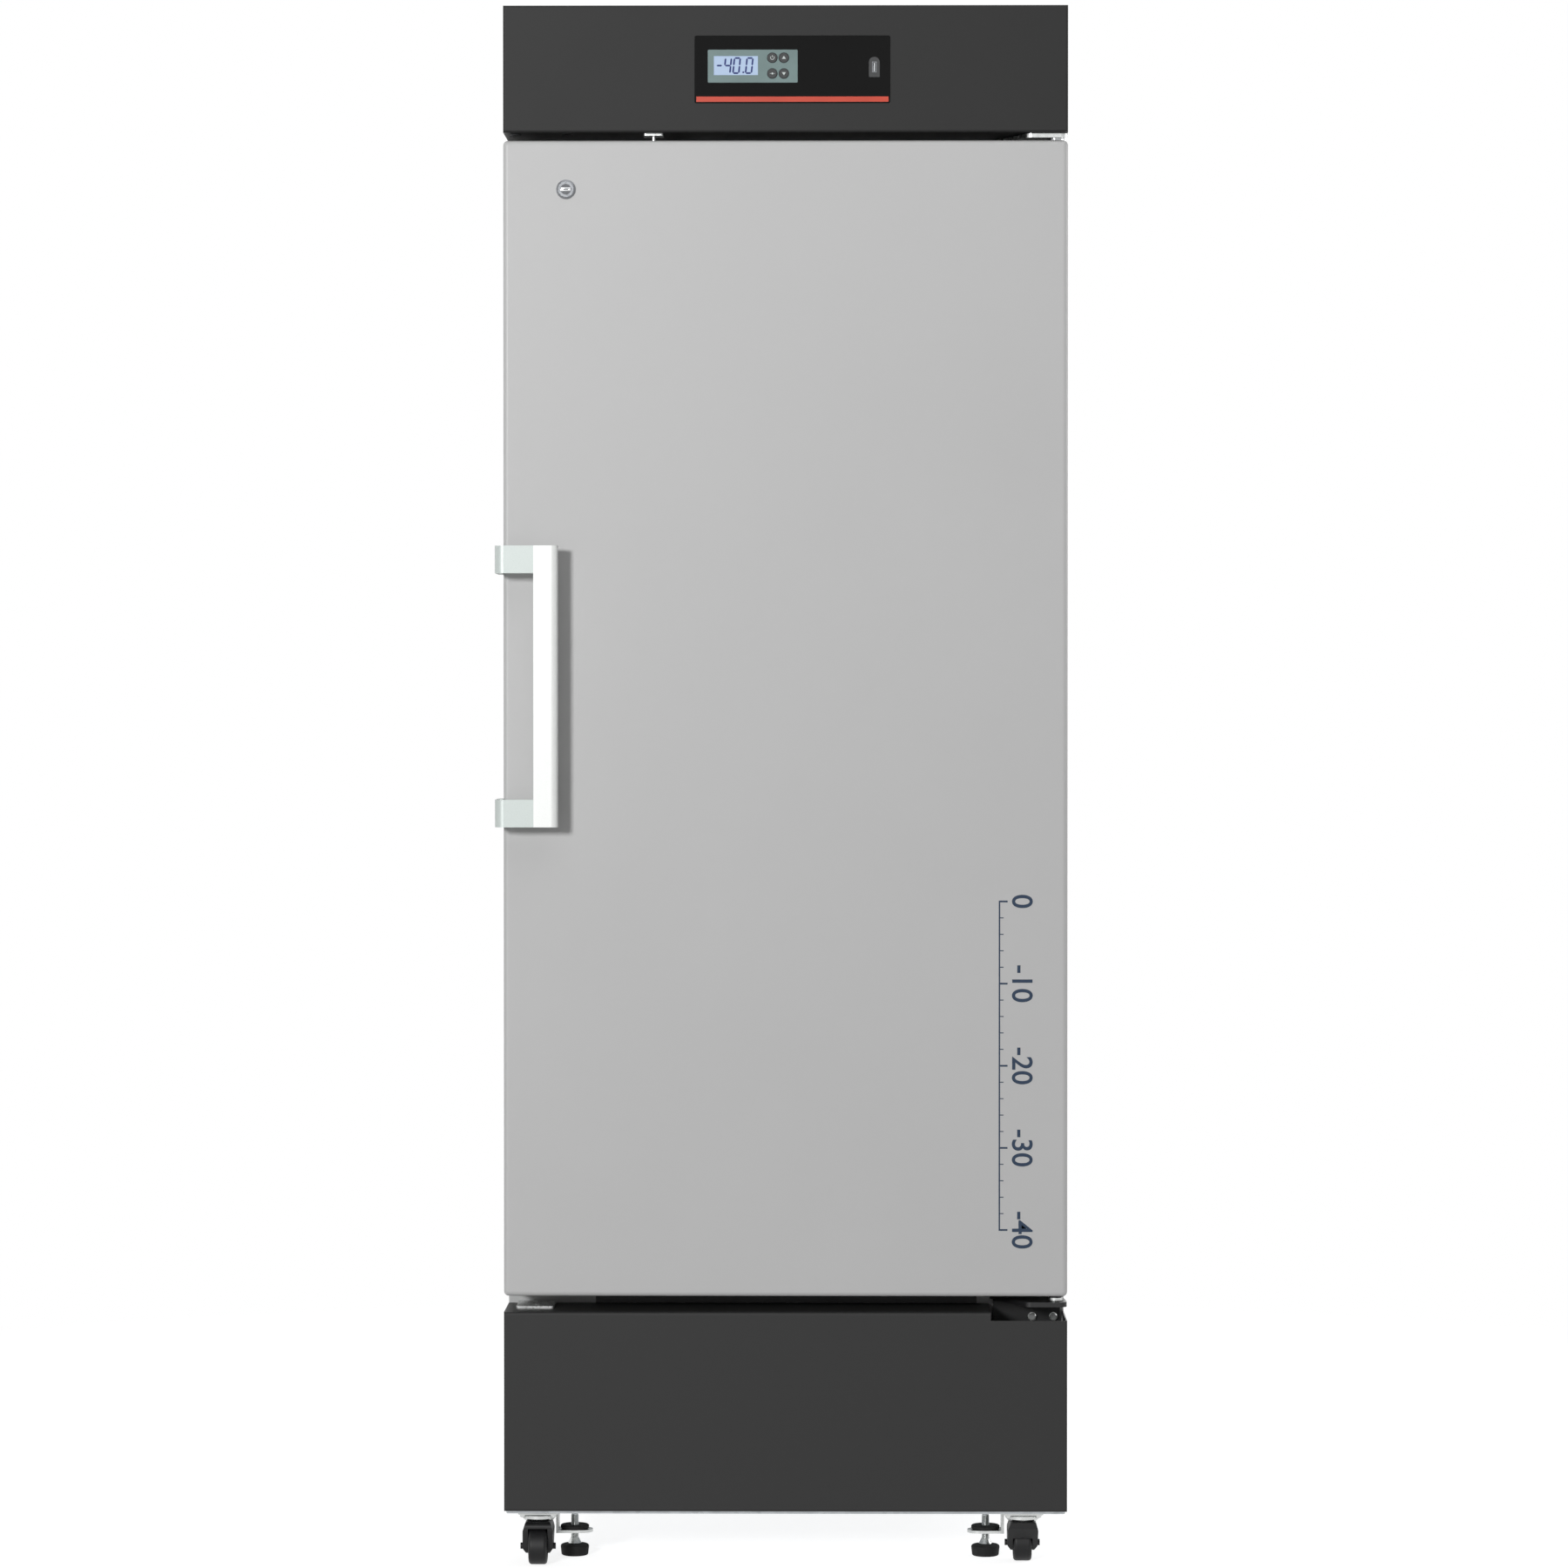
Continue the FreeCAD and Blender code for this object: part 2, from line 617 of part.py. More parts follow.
def top_panel():
    """Roof sheet with short lips that locate it inside the side panels and the back."""
    roof = rounded_box(
        (-HALF_WIDTH, HALF_WIDTH), (0.0, CABINET_DEPTH), (ROOF_LOW, TOTAL_HEIGHT), "z", SIDE_BEND
    )
    lip_low = ROOF_LOW - ROOF_LIP
    lips = []
    for side in (-1, 1):
        edges = sorted((side * INNER_HALF, side * (INNER_HALF - SHEET)))
        lips.append(block(edges, (SIDE_RETURN, BACK_INNER - SIDE_BEND), (lip_low, ROOF_LOW)))
    reach = INNER_HALF - SIDE_RETURN
    lips.append(block((-reach, reach), (BACK_INNER - SHEET, BACK_INNER), (lip_low, ROOF_LOW)))
    return fuse(roof, *lips)


def back_panel():
    """Flat back sheet between the returns of the side panels."""
    x_range = (-FRAME_HALF, FRAME_HALF)
    return block(x_range, (BACK_INNER, CABINET_DEPTH), (BASE_TOP, ROOF_LOW))


def chamber_form(grow, back_grow):
    """Rounded block of the storage chamber, grown on every side but the front."""
    half = CHAMBER_HALF + grow
    body = rounded_box(
        (-half, half),
        (SHEET, CHAMBER_BACK + back_grow),
        (CHAMBER_LOW - grow, CHAMBER_TOP + grow),
        "y",
        CHAMBER_CORNER + grow,
    )
    back_edges = edges_at(body, "y", CHAMBER_BACK + back_grow)
    return body.makeFillet(CHAMBER_BACK_CORNER + back_grow, back_edges)


def front_frame():
    """Face sheet that the gasket closes on, with a round-cornered opening."""
    sheet = block((-FRAME_HALF, FRAME_HALF), (0.0, SHEET), (FRAME_LOW, FRAME_TOP))
    opening = rounded_box(
        (-CHAMBER_HALF, CHAMBER_HALF),
        (0.0, SHEET),
        (CHAMBER_LOW, CHAMBER_TOP),
        "y",
        CHAMBER_CORNER,
    )
    for bolt_x in lower_bolt_places():
        hole = cylinder(
            BRACKET_BOLT_RADIUS, "y", 0.0, SHEET, bolt_x, LOWER_ARM_LOW - LOWER_BOLT_DROP
        )
        sheet = sheet.cut(hole)
    return sheet.cut(opening)


def rail_levels():
    """Heights of the moulded shelf rails."""
    pitch = CHAMBER_HEIGHT / RAIL_LEVELS
    return [CHAMBER_LOW + pitch * step for step in range(1, RAIL_LEVELS)]


def shelf_levels():
    """Rails that carry a shelf, evenly shared out over the chamber."""
    step = RAIL_LEVELS // (SHELF_COUNT + 1)
    return rail_levels()[step - 1 :: step]


def shelf_rail(level, side):
    """Moulded ledge on a side wall, square on top and sloping back to the wall below."""
    wall = CHAMBER_HALF + LINER_WALL / 2
    nose = CHAMBER_HALF - RAIL_REACH
    points = [
        (wall, level - RAIL_DEPTH),
        (wall, level),
        (nose, level, RAIL_NOSE_RADIUS),
        (nose, level - RAIL_LEDGE, RAIL_NOSE_RADIUS),
        (CHAMBER_HALF, level - RAIL_DEPTH),
    ]
    y_range = (RAIL_FRONT, CHAMBER_BACK - RAIL_BACK_SET)
    return extrude(points if side > 0 else mirrored(points), "y", *y_range)


def inner_liner():
    """Vacuum-formed chamber with a rim behind the front frame and ledges for the shelves."""
    shell = chamber_form(LINER_WALL, LINER_WALL)
    rim_half = CHAMBER_HALF + LINER_RIM
    rim = rounded_box(
        (-rim_half, rim_half),
        (SHEET, SHEET + LINER_WALL),
        (CHAMBER_LOW - LINER_RIM, CHAMBER_TOP + LINER_RIM),
        "y",
        CHAMBER_CORNER + LINER_RIM,
    )
    shell = fuse(shell, rim).cut(chamber_form(0.0, 0.0))
    rails = [shelf_rail(level, side) for level in rail_levels() for side in (-1, 1)]
    return fuse(shell, *rails)


def cabinet_foam():
    """Foam between the liner and the outer sheets."""
    foam = rounded_box(
        (-INNER_HALF, INNER_HALF), (SHEET, BACK_INNER), (FOAM_LOW, FOAM_TOP), "z", SIDE_BEND - SHEET
    )
    rim_half = CHAMBER_HALF + LINER_RIM
    rim = rounded_box(
        (-rim_half, rim_half),
        (SHEET, SHEET + LINER_WALL),
        (CHAMBER_LOW - LINER_RIM, CHAMBER_TOP + LINER_RIM),
        "y",
        CHAMBER_CORNER + LINER_RIM,
    )
    return foam.cut(chamber_form(LINER_WALL, LINER_WALL)).cut(rim)


def shelf(level):
    """Folded sheet shelf with a front hem, a rear upstand and rows of slots."""
    front = SHELF_FRONT_SET
    back = CHAMBER_BACK - SHELF_BACK_SET
    top = level + SHELF_SHEET
    inner_bend = SHELF_BEND - SHELF_SHEET
    profile = [
        (front, top, SHELF_BEND),
        (front, top - SHELF_HEM),
        (front + SHELF_SHEET, top - SHELF_HEM),
        (front + SHELF_SHEET, level, inner_bend),
        (back, level, SHELF_BEND),
        (back, level + SHELF_UPSTAND),
        (back - SHELF_SHEET, level + SHELF_UPSTAND),
        (back - SHELF_SHEET, top, inner_bend),
    ]
    half = CHAMBER_HALF - SHELF_SIDE_GAP
    body = extrude(profile, "x", -half, half)
    row_pitch = (back - front) / (SHELF_SLOT_ROWS + 1)
    slot_pitch = 2 * half / (SHELF_SLOTS + 1)
    slots = []
    for row in range(1, SHELF_SLOT_ROWS + 1):
        for column in range(1, SHELF_SLOTS + 1):
            place = (-half + column * slot_pitch, front + row * row_pitch)
            slot = slot_cutter(SHELF_SLOT_LENGTH, SHELF_SLOT_WIDTH, "z", level, top, *place)
            slots.append(slot)
    return body.cut(slots)


# Header and base covers


def open_cover(z_low, z_high):
    """Front cover of folded sheet, open at the back, with its front edges rounded."""
    body = block((-HALF_WIDTH, HALF_WIDTH), (FRONT_Y, 0.0), (z_low, z_high))
    body = body.makeFillet(COVER_EDGE_RADIUS, edges_at(body, "y", FRONT_Y))
    inner = HALF_WIDTH - COVER_SHEET
    y_range = (COVER_INNER, CABINET_DEPTH)
    z_range = (z_low + COVER_SHEET, z_high - COVER_SHEET)
    hollow = block((-inner, inner), y_range, z_range)
    inner_radius = COVER_EDGE_RADIUS - COVER_SHEET
    hollow = hollow.makeFillet(inner_radius, edges_at(hollow, "y", COVER_INNER))
    return body.cut(hollow)


def plate_window(gap):
    """Rounded block of the control plate's cut-out, grown by a gap."""
    return rounded_box(
        (PLATE_LEFT - gap, PLATE_RIGHT + gap),
        (PLATE_FRONT, COVER_INNER),
        (PLATE_Z - gap, PLATE_TOP + gap),
        "y",
        PLATE_CORNER + gap,
    )


def header_cover():
    """Cover above the door, cut for the control plate, the lock bolt and the door switch."""
    cover = open_cover(HEADER_LOW, TOTAL_HEIGHT)
    floor_range = (HEADER_LOW, HEADER_LOW + COVER_SHEET)
    hinge_gap = UPPER_ARM_THICKNESS + COVER_EDGE_RADIUS
    inner = HALF_WIDTH - COVER_SHEET
    rear_strip = block((-inner, inner), (-hinge_gap, 0.0), floor_range)
    bolt_hole = cylinder(BOLT_HOLE_RADIUS, "z", *floor_range, LOCK_X, BOLT_Y)
    neck_hole = cylinder(SWITCH_NECK_RADIUS, "z", *floor_range, SWITCH_X, SWITCH_Y)
    return cover.cut([rear_strip, bolt_hole, neck_hole, plate_window(FIT_GAP)])


def lower_bolt_places():
    """Places across the cabinet of the lower hinge's two bolts."""
    first = HALF_WIDTH - LOWER_BOLT_FIRST_SET
    return (first - LOWER_BOLT_SPACING, first)


def base_front_panel():
    """Cover below the door, open at the back and below, notched for the lower hinge."""
    cover = open_cover(BASE_LOW, BASE_TOP)
    inner = HALF_WIDTH - COVER_SHEET
    mouth = block((-inner, inner), (BASE_LIP, 0.0), (BASE_LOW, BASE_LOW + COVER_SHEET))
    hinge_x = (HALF_WIDTH - NOTCH_WIDTH, HALF_WIDTH)
    notch = block(hinge_x, (FRONT_Y, 0.0), (BASE_TOP - NOTCH_DEPTH, BASE_TOP))
    return cover.cut([mouth, notch])


def base_pan():
    """Floor tray of the machine room with its rims folded up."""
    half = INNER_HALF - PAN_SIDE_GAP
    front = BASE_LIP + PAN_FRONT_GAP
    back = BACK_INNER - PAN_SIDE_GAP
    rim_top = PAN_TOP + PAN_RISE
    tray = block((-half, half), (front, back), (CASTER_HEIGHT, rim_top))
    tray = tray.makeFillet(SIDE_BEND, edges_at(tray, "z", CASTER_HEIGHT))
    hollow_y = (front + PAN_SHEET, back - PAN_SHEET)
    hollow = block((-half + PAN_SHEET, half - PAN_SHEET), hollow_y, (PAN_TOP, rim_top))
    return_y = (-PAN_FRONT_GAP, SHEET + PAN_FRONT_GAP)
    return_notch = block((-half, half), return_y, (PAN_TOP, rim_top))
    return tray.cut([hollow, return_notch])


# Hinges


def hinge_outline(root_y):
    """Tapered arm seen from above, wide at the cabinet and rounded round the pin."""
    right = HALF_WIDTH - ARM_ROOT_EDGE_SET
    nose_left = HALF_WIDTH - ARM_NOSE_WIDTH
    nose_front = PIN_Y - ARM_NOSE_RADIUS
    return [
        (right - ARM_ROOT_WIDTH, root_y, ARM_CORNER),
        (nose_left, nose_front, ARM_NOSE_RADIUS / 2),
        (HALF_WIDTH, nose_front, ARM_NOSE_RADIUS / 2),
        (HALF_WIDTH, PIN_Y),
        (right, root_y),
    ]


def upper_hinge_bracket():
    """Zinc arm under the header with a flange up the frame and a pin down into the door."""
    arm = extrude(hinge_outline(0.0), "z", UPPER_ARM_LOW, UPPER_ARM_TOP)
    right = HALF_WIDTH - ARM_ROOT_EDGE_SET
    flange_x = (right - ARM_ROOT_WIDTH + 2 * ARM_CORNER, right)
    flange_z = (UPPER_ARM_LOW, UPPER_ARM_TOP + UPPER_FLANGE_RISE)
    flange = block(flange_x, (-UPPER_ARM_THICKNESS, 0.0), flange_z)
    pin = cylinder(PIN_RADIUS, "z", DOOR_TOP - PIN_GRIP, UPPER_ARM_TOP, PIN_X, PIN_Y)
    bracket = fuse(arm, flange, pin)
    corner = edges_at_corner(bracket, -UPPER_ARM_THICKNESS, UPPER_ARM_TOP)
    return bracket.makeFillet(ARM_CORNER, corner)


def edges_at_corner(shape, y_value, z_value):
    """Edges along x where a flange meets an arm."""
    found = []
    for edge in edges_at(shape, "y", y_value):
        box = edge.BoundBox
        if abs(box.ZMin - z_value) < NEAR and abs(box.ZMax - z_value) < NEAR:
            found.append(edge)
    return found


def lower_hinge_bracket():
    """Black arm below the door with a bolted flange and a shouldered pin up into the door."""
    arm = extrude(hinge_outline(0.0), "z", LOWER_ARM_LOW, LOWER_ARM_TOP)
    right = HALF_WIDTH - ARM_ROOT_EDGE_SET
    flange_x = (right - ARM_ROOT_WIDTH + 2 * ARM_CORNER, right)
    flange_z = (LOWER_ARM_LOW - LOWER_FLANGE_FALL, LOWER_ARM_TOP)
    flange = block(flange_x, (-LOWER_ARM_THICKNESS, 0.0), flange_z)
    shoulder_top = DOOR_LOW - BUSH_FLANGE - FIT_GAP
    shoulder = cylinder(SHOULDER_RADIUS, "z", LOWER_ARM_TOP, shoulder_top, PIN_X, PIN_Y)
    pin = cylinder(PIN_RADIUS, "z", LOWER_ARM_TOP, DOOR_LOW + PIN_GRIP, PIN_X, PIN_Y)
    bracket = fuse(arm, flange, shoulder, pin)
    corner = edges_at_corner(bracket, -LOWER_ARM_THICKNESS, LOWER_ARM_LOW)
    bracket = bracket.makeFillet(ARM_CORNER, corner)
    holes = []
    for bolt_x in lower_bolt_places():
        bolt_z = LOWER_ARM_LOW - LOWER_BOLT_DROP
        holes.append(cylinder(BRACKET_BOLT_RADIUS, "y", -LOWER_ARM_THICKNESS, 0.0, bolt_x, bolt_z))
    return bracket.cut(holes)


def spare_hinge_plate():
    """Plate on the base for a hinge on the other side."""
    left = -HALF_WIDTH + SPARE_PLATE_EDGE_SET
    x_range = (left, left + SPARE_PLATE_WIDTH)
    y_range = (PIN_Y + SPARE_PLATE_HOLE_FRONT, PIN_Y + SPARE_PLATE_HOLE_FRONT + SPARE_PLATE_DEPTH)
    z_range = (BASE_TOP, BASE_TOP + SPARE_PLATE_THICKNESS)
    plate = rounded_box(x_range, y_range, z_range, "z", ARM_CORNER)
    hole_y = y_range[0] + SPARE_PLATE_HOLE_FRONT
    hole_x = left + SPARE_PLATE_WIDTH / 2
    return plate.cut(cylinder(SPARE_PLATE_HOLE_RADIUS, "z", *z_range, hole_x, hole_y))


# Door


def door_form(shrink):
    """Rounded block of the door between its outer faces, shrunk by a sheet."""
    half = HALF_WIDTH - shrink
    front = FRONT_Y + shrink
    body = rounded_box(
        (-half, half),
        (front, DOOR_SKIN_BACK),
        (DOOR_LOW + shrink, DOOR_TOP - shrink),
        "y",
        DOOR_EDGE_RADIUS - shrink,
    )
    return body.makeFillet(DOOR_EDGE_RADIUS - shrink, edges_at(body, "y", front))


def lock_pocket():
    """Space in the door foam for the lock's crank and bolt."""
    half = LOCK_PLATE_HALF_WIDTH + POCKET_MARGIN
    low = LOCK_Z - CRANK_RADIUS - 2 * POCKET_MARGIN
    top = DOOR_TOP - DOOR_SKIN_SHEET
    y_range = (FRONT_Y + DOOR_SKIN_SHEET, BOLT_BACK + 2 * POCKET_MARGIN)
    return block((LOCK_X - half, LOCK_X + half), y_range, (low, top))


def bush_cutters():
    """Holes for the hinge bushes in the top and the bottom of the door."""
    top = cylinder(BUSH_RADIUS, "z", DOOR_TOP - BUSH_DEPTH, DOOR_TOP, PIN_X, PIN_Y)
    low = cylinder(BUSH_RADIUS, "z", DOOR_LOW, DOOR_LOW + BUSH_DEPTH, PIN_X, PIN_Y)
    return [top, low]


def door_skin():
    """Painted outer pan of the door, open at the back."""
    pan = door_form(0.0).cut(door_form(DOOR_SKIN_SHEET))
    lock_y = (FRONT_Y, FRONT_Y + DOOR_SKIN_SHEET)
    lock_hole = cylinder(LOCK_BARREL_RADIUS, "y", *lock_y, LOCK_X, LOCK_Z)
    stem_z = (DOOR_TOP - DOOR_SKIN_SHEET, DOOR_TOP)
    stem_hole = cylinder(BOLT_STEM_RADIUS + BOLT_TIP_SET, "z", *stem_z, LOCK_X, BOLT_Y)
    return pan.cut([lock_hole, stem_hole, *bush_cutters()])


def dam_form(shrink):
    """Raised middle of the door's inner face, with drafted walls and round corners."""
    foot_half = CHAMBER_HALF - DAM_SIDE_GAP - shrink
    foot_low = CHAMBER_LOW + DAM_SIDE_GAP + shrink
    foot_top = CHAMBER_TOP - DAM_SIDE_GAP - shrink
    wires = []
    for at, draft in ((DOOR_SKIN_BACK, 0.0), (DAM_REACH - shrink, DAM_FOOT_WIDTH)):
        half = foot_half - draft
        low, top = foot_low + draft, foot_top - draft
        corners = [(-half, low), (half, low), (half, top), (-half, top)]
        radius = DAM_CORNER - shrink - draft
        wires.append(outline([(x, z, radius) for x, z in corners], "y", at))
    body = Part.makeLoft(wires, True, True)
    return body.makeFillet(DAM_EDGE_RADIUS - shrink, edges_at(body, "y", DAM_REACH - shrink))


def door_liner():
    """Moulded inner face of the door with a raised dam."""
    half = HALF_WIDTH - DOOR_LINER_MARGIN
    sheet = rounded_box(
        (-half, half),
        (DOOR_SKIN_BACK, DOOR_BACK),
        (DOOR_LOW + DOOR_LINER_MARGIN, DOOR_TOP - DOOR_LINER_MARGIN),
        "y",
        DOOR_EDGE_RADIUS,
    )
    return fuse(sheet, dam_form(0.0)).cut(dam_form(DOOR_LINER_WALL))


def door_foam():
    """Foam filling of the door, with a pocket for the lock."""
    foam = fuse(door_form(DOOR_SKIN_SHEET), dam_form(DOOR_LINER_WALL))
    return foam.cut([lock_pocket(), *bush_cutters()])


def gasket_ring(inset, y_range):
    """One step of the gasket's section, carried round the door."""
    outer = HALF_WIDTH - GASKET_INSET - inset
    low = DOOR_LOW + GASKET_INSET + inset
    top = DOOR_TOP - GASKET_INSET - inset
    width = GASKET_WIDTH - 2 * inset
    ring = block((-outer, outer), y_range, (low, top))
    hole = block((-outer + width, outer - width), y_range, (low + width, top - width))
    return ring.cut(hole)


def door_gasket():
    """Magnetic gasket: a foot, a narrow neck and a wide sealing bulb."""
    foot_top = DOOR_BACK + GASKET_BASE
    neck_top = foot_top + GASKET_NECK
    foot = gasket_ring(0.0, (DOOR_BACK, foot_top))
    neck = gasket_ring(GASKET_NECK_INSET, (foot_top, neck_top))
    bulb = gasket_ring(GASKET_BULB_INSET, (neck_top, -GASKET_GAP))
    return fuse(foot, neck, bulb)


def door_bush(z_inner, z_face, outward):
    """Flanged bush pressed into the door round a hinge pin."""
    sleeve = sorted((z_inner, z_face))
    flange = sorted((z_face, z_face + outward * BUSH_FLANGE))
    body = cylinder(BUSH_RADIUS, "z", *sleeve, PIN_X, PIN_Y)
    body = fuse(body, cylinder(BUSH_FLANGE_RADIUS, "z", *flange, PIN_X, PIN_Y))
    bore = (min(sleeve[0], flange[0]), max(sleeve[1], flange[1]))
    return body.cut(cylinder(BUSH_BORE_RADIUS, "z", *bore, PIN_X, PIN_Y))


def door_bushes():
    """The upper and the lower hinge bush."""
    upper = door_bush(DOOR_TOP - BUSH_DEPTH, DOOR_TOP, 1)
    lower = door_bush(DOOR_LOW + BUSH_DEPTH, DOOR_LOW, -1)
    return Part.makeCompound([upper, lower])


# Door handle


def bracket_levels():
    """Bottom and top of the lower and of the upper handle bracket."""
    low = (HANDLE_LOW, HANDLE_LOW + HANDLE_BRACKET_HEIGHT)
    high = (HANDLE_TOP - HANDLE_BRACKET_HEIGHT, HANDLE_TOP)
    return (low, high)


def tenon(z_range):
    """Short tongue of a bracket that enters the end of the bar."""
    middle_z = sum(z_range) / 2
    half_height = HANDLE_TENON_HEIGHT / 2
    y_middle = HANDLE_FRONT + HANDLE_BRACKET_DEPTH / 2
    y_range = (y_middle - HANDLE_TENON_DEPTH / 2, y_middle + HANDLE_TENON_DEPTH / 2)
    x_range = (HANDLE_BAR_LEFT, HANDLE_BAR_LEFT + HANDLE_TENON_LENGTH)
    return block(x_range, y_range, (middle_z - half_height, middle_z + half_height))


def handle_bracket(z_range):
    """Angle that wraps the door's side and carries one end of the bar."""
    inner_y = HANDLE_FRONT + HANDLE_BRACKET_DEPTH
    points = [
        (HANDLE_OUTER_X, HANDLE_FRONT, HANDLE_BEND_RADIUS),
        (HANDLE_BAR_LEFT, HANDLE_FRONT),
        (HANDLE_BAR_LEFT, inner_y),
        (-HALF_WIDTH, inner_y, HANDLE_INNER_RADIUS),
        (-HALF_WIDTH, HANDLE_FRONT + HANDLE_SIDE_LENGTH),
        (HANDLE_OUTER_X, HANDLE_FRONT + HANDLE_SIDE_LENGTH, HANDLE_INNER_RADIUS),
    ]
    angle = extrude(points, "z", *z_range)
    screw_y = HANDLE_FRONT + HANDLE_SIDE_LENGTH - HANDLE_BEND_RADIUS
    screw_x = (HANDLE_OUTER_X, HANDLE_OUTER_X + HANDLE_SIDE_THICKNESS / 2)
    recess = cylinder(HANDLE_SCREW_RADIUS * 2, "x", *screw_x, screw_y, sum(z_range) / 2)
    return fuse(angle, tenon(z_range)).cut(recess)


def handle_brackets():
    """The two brackets of the door handle."""
    return Part.makeCompound([handle_bracket(z_range) for z_range in bracket_levels()])


def handle_bar():
    """Upright grip with a rounded front, hollowed at its ends for the brackets."""
    back = HANDLE_FRONT + HANDLE_BAR_DEPTH
    right = HANDLE_BAR_LEFT + HANDLE_BAR_WIDTH
    points = [
        (HANDLE_BAR_LEFT, HANDLE_FRONT),
        (right, HANDLE_FRONT, HANDLE_BAR_ROUND),
        (right, back, HANDLE_BAR_ROUND),
        (HANDLE_BAR_LEFT, back, HANDLE_INNER_RADIUS),
    ]
    bar = extrude(points, "z", HANDLE_LOW, HANDLE_TOP)
    return bar.cut([tenon(z_range) for z_range in bracket_levels()])


# Door lock


def lock_barrel():
    """Lock body in the door: rosette, barrel, rear plate and the guide of the bolt."""
    rosette_points = [
        (0.0, 0.0),
        (LOCK_BARREL_RADIUS, 0.0),
        (LOCK_FLANGE_RADIUS, LOCK_FLANGE_PROUD / 2),
        (LOCK_FLANGE_RADIUS, LOCK_FLANGE_PROUD),
        (0.0, LOCK_FLANGE_PROUD),
    ]
    centre = FreeCAD.Vector(LOCK_X, FRONT_Y - LOCK_FLANGE_PROUD, LOCK_Z)
    rosette = revolve(rosette_points, centre, Y_AXIS)
    barrel = cylinder(LOCK_BARREL_RADIUS, "y", FRONT_Y, LOCK_BARREL_BACK, LOCK_X, LOCK_Z)
    plate_y = (LOCK_BARREL_BACK - LOCK_PLATE_THICKNESS, LOCK_BARREL_BACK)
    guide_top = DOOR_TOP - DOOR_SKIN_SHEET
    plate_x = (LOCK_X - LOCK_PLATE_HALF_WIDTH, LOCK_X + LOCK_PLATE_HALF_WIDTH)
    plate = block(plate_x, plate_y, (LOCK_Z - LOCK_PLATE_HALF_WIDTH, guide_top))
    guide_z = (guide_top - GUIDE_LENGTH, guide_top)
    guide = cylinder(GUIDE_RADIUS, "z", *guide_z, LOCK_X, BOLT_Y)
    guide_bore = cylinder(BOLT_STEM_RADIUS + BOLT_STEM_CLEARANCE, "z", *guide_z, LOCK_X, BOLT_Y)
    plug_y = (FRONT_Y - LOCK_FLANGE_PROUD, LOCK_BARREL_BACK)
    plug_bore = cylinder(LOCK_PLUG_RADIUS + LOCK_PLUG_CLEARANCE, "y", *plug_y, LOCK_X, LOCK_Z)
    return fuse(rosette, barrel, plate, guide).cut([guide_bore, plug_bore])


def lock_plug():
    """Turning plug with a key slot in front and a crank pin behind."""
    front = FRONT_Y - LOCK_FLANGE_PROUD + LOCK_PLUG_RECESS
    plug = cylinder(LOCK_PLUG_RADIUS, "y", front, CRANK_FRONT, LOCK_X, LOCK_Z)
    pin_x, pin_z = LOCK_X - CRANK_SIDE, LOCK_Z - CRANK_SIDE
    boss = cylinder(LOCK_PLUG_RADIUS, "y", CRANK_FRONT, CRANK_BACK, LOCK_X, LOCK_Z)
    eye_radius = CRANK_PIN_RADIUS + CRANK_PIN_SLACK
    eye = cylinder(eye_radius, "y", CRANK_FRONT, CRANK_BACK, pin_x, pin_z)
    arm = block((0.0, CRANK_RADIUS), (CRANK_FRONT, CRANK_BACK), (-eye_radius, eye_radius))
    arm.rotate(FreeCAD.Vector(0, 0, 0), Y_AXIS, 180 - CRANK_REST_ANGLE)
    arm.translate(FreeCAD.Vector(LOCK_X, 0, LOCK_Z))
    pin = cylinder(CRANK_PIN_RADIUS, "y", CRANK_BACK, BOLT_BACK, pin_x, pin_z)
    slot = slot_cutter(
        KEY_SLOT_LENGTH, KEY_SLOT_WIDTH, "y", front, front + KEY_SLOT_DEPTH, LOCK_X, LOCK_Z
    )
    return fuse(plug, boss, eye, arm, pin).cut(slot)


def lock_bolt():
    """Sliding bolt: a slotted plate driven by the crank pin and a round stem above it."""
    middle_z = LOCK_Z - CRANK_SIDE
    slot_left = LOCK_X - CRANK_RADIUS - BOLT_SLOT_HALF
    slot_right = LOCK_X - CRANK_SIDE + BOLT_SLOT_HALF + CRANK_PIN_SLACK
    plate_x = (slot_left - BOLT_PLATE_WALL, LOCK_X + BOLT_STEM_RADIUS + BOLT_PLATE_WALL)
    low = middle_z - BOLT_SLOT_HALF - BOLT_PLATE_WALL
    top = middle_z + BOLT_SLOT_HALF + BOLT_PLATE_WALL
    plate = rounded_box(plate_x, (BOLT_FRONT, BOLT_BACK), (low, top), "y", BOLT_PLATE_WALL)
    slot_middle = (slot_left + slot_right) / 2
    slot_size = (slot_right - slot_left, 2 * BOLT_SLOT_HALF)
    slot = slot_cutter(*slot_size, "y", BOLT_FRONT, BOLT_BACK, slot_middle, middle_z)
    stem_z = (top - BOLT_PLATE_WALL, DOOR_TOP - BOLT_TIP_SET)
    stem = cylinder(BOLT_STEM_RADIUS, "z", *stem_z, LOCK_X, BOLT_Y)
    return fuse(plate, stem).cut(slot)


# Door switch


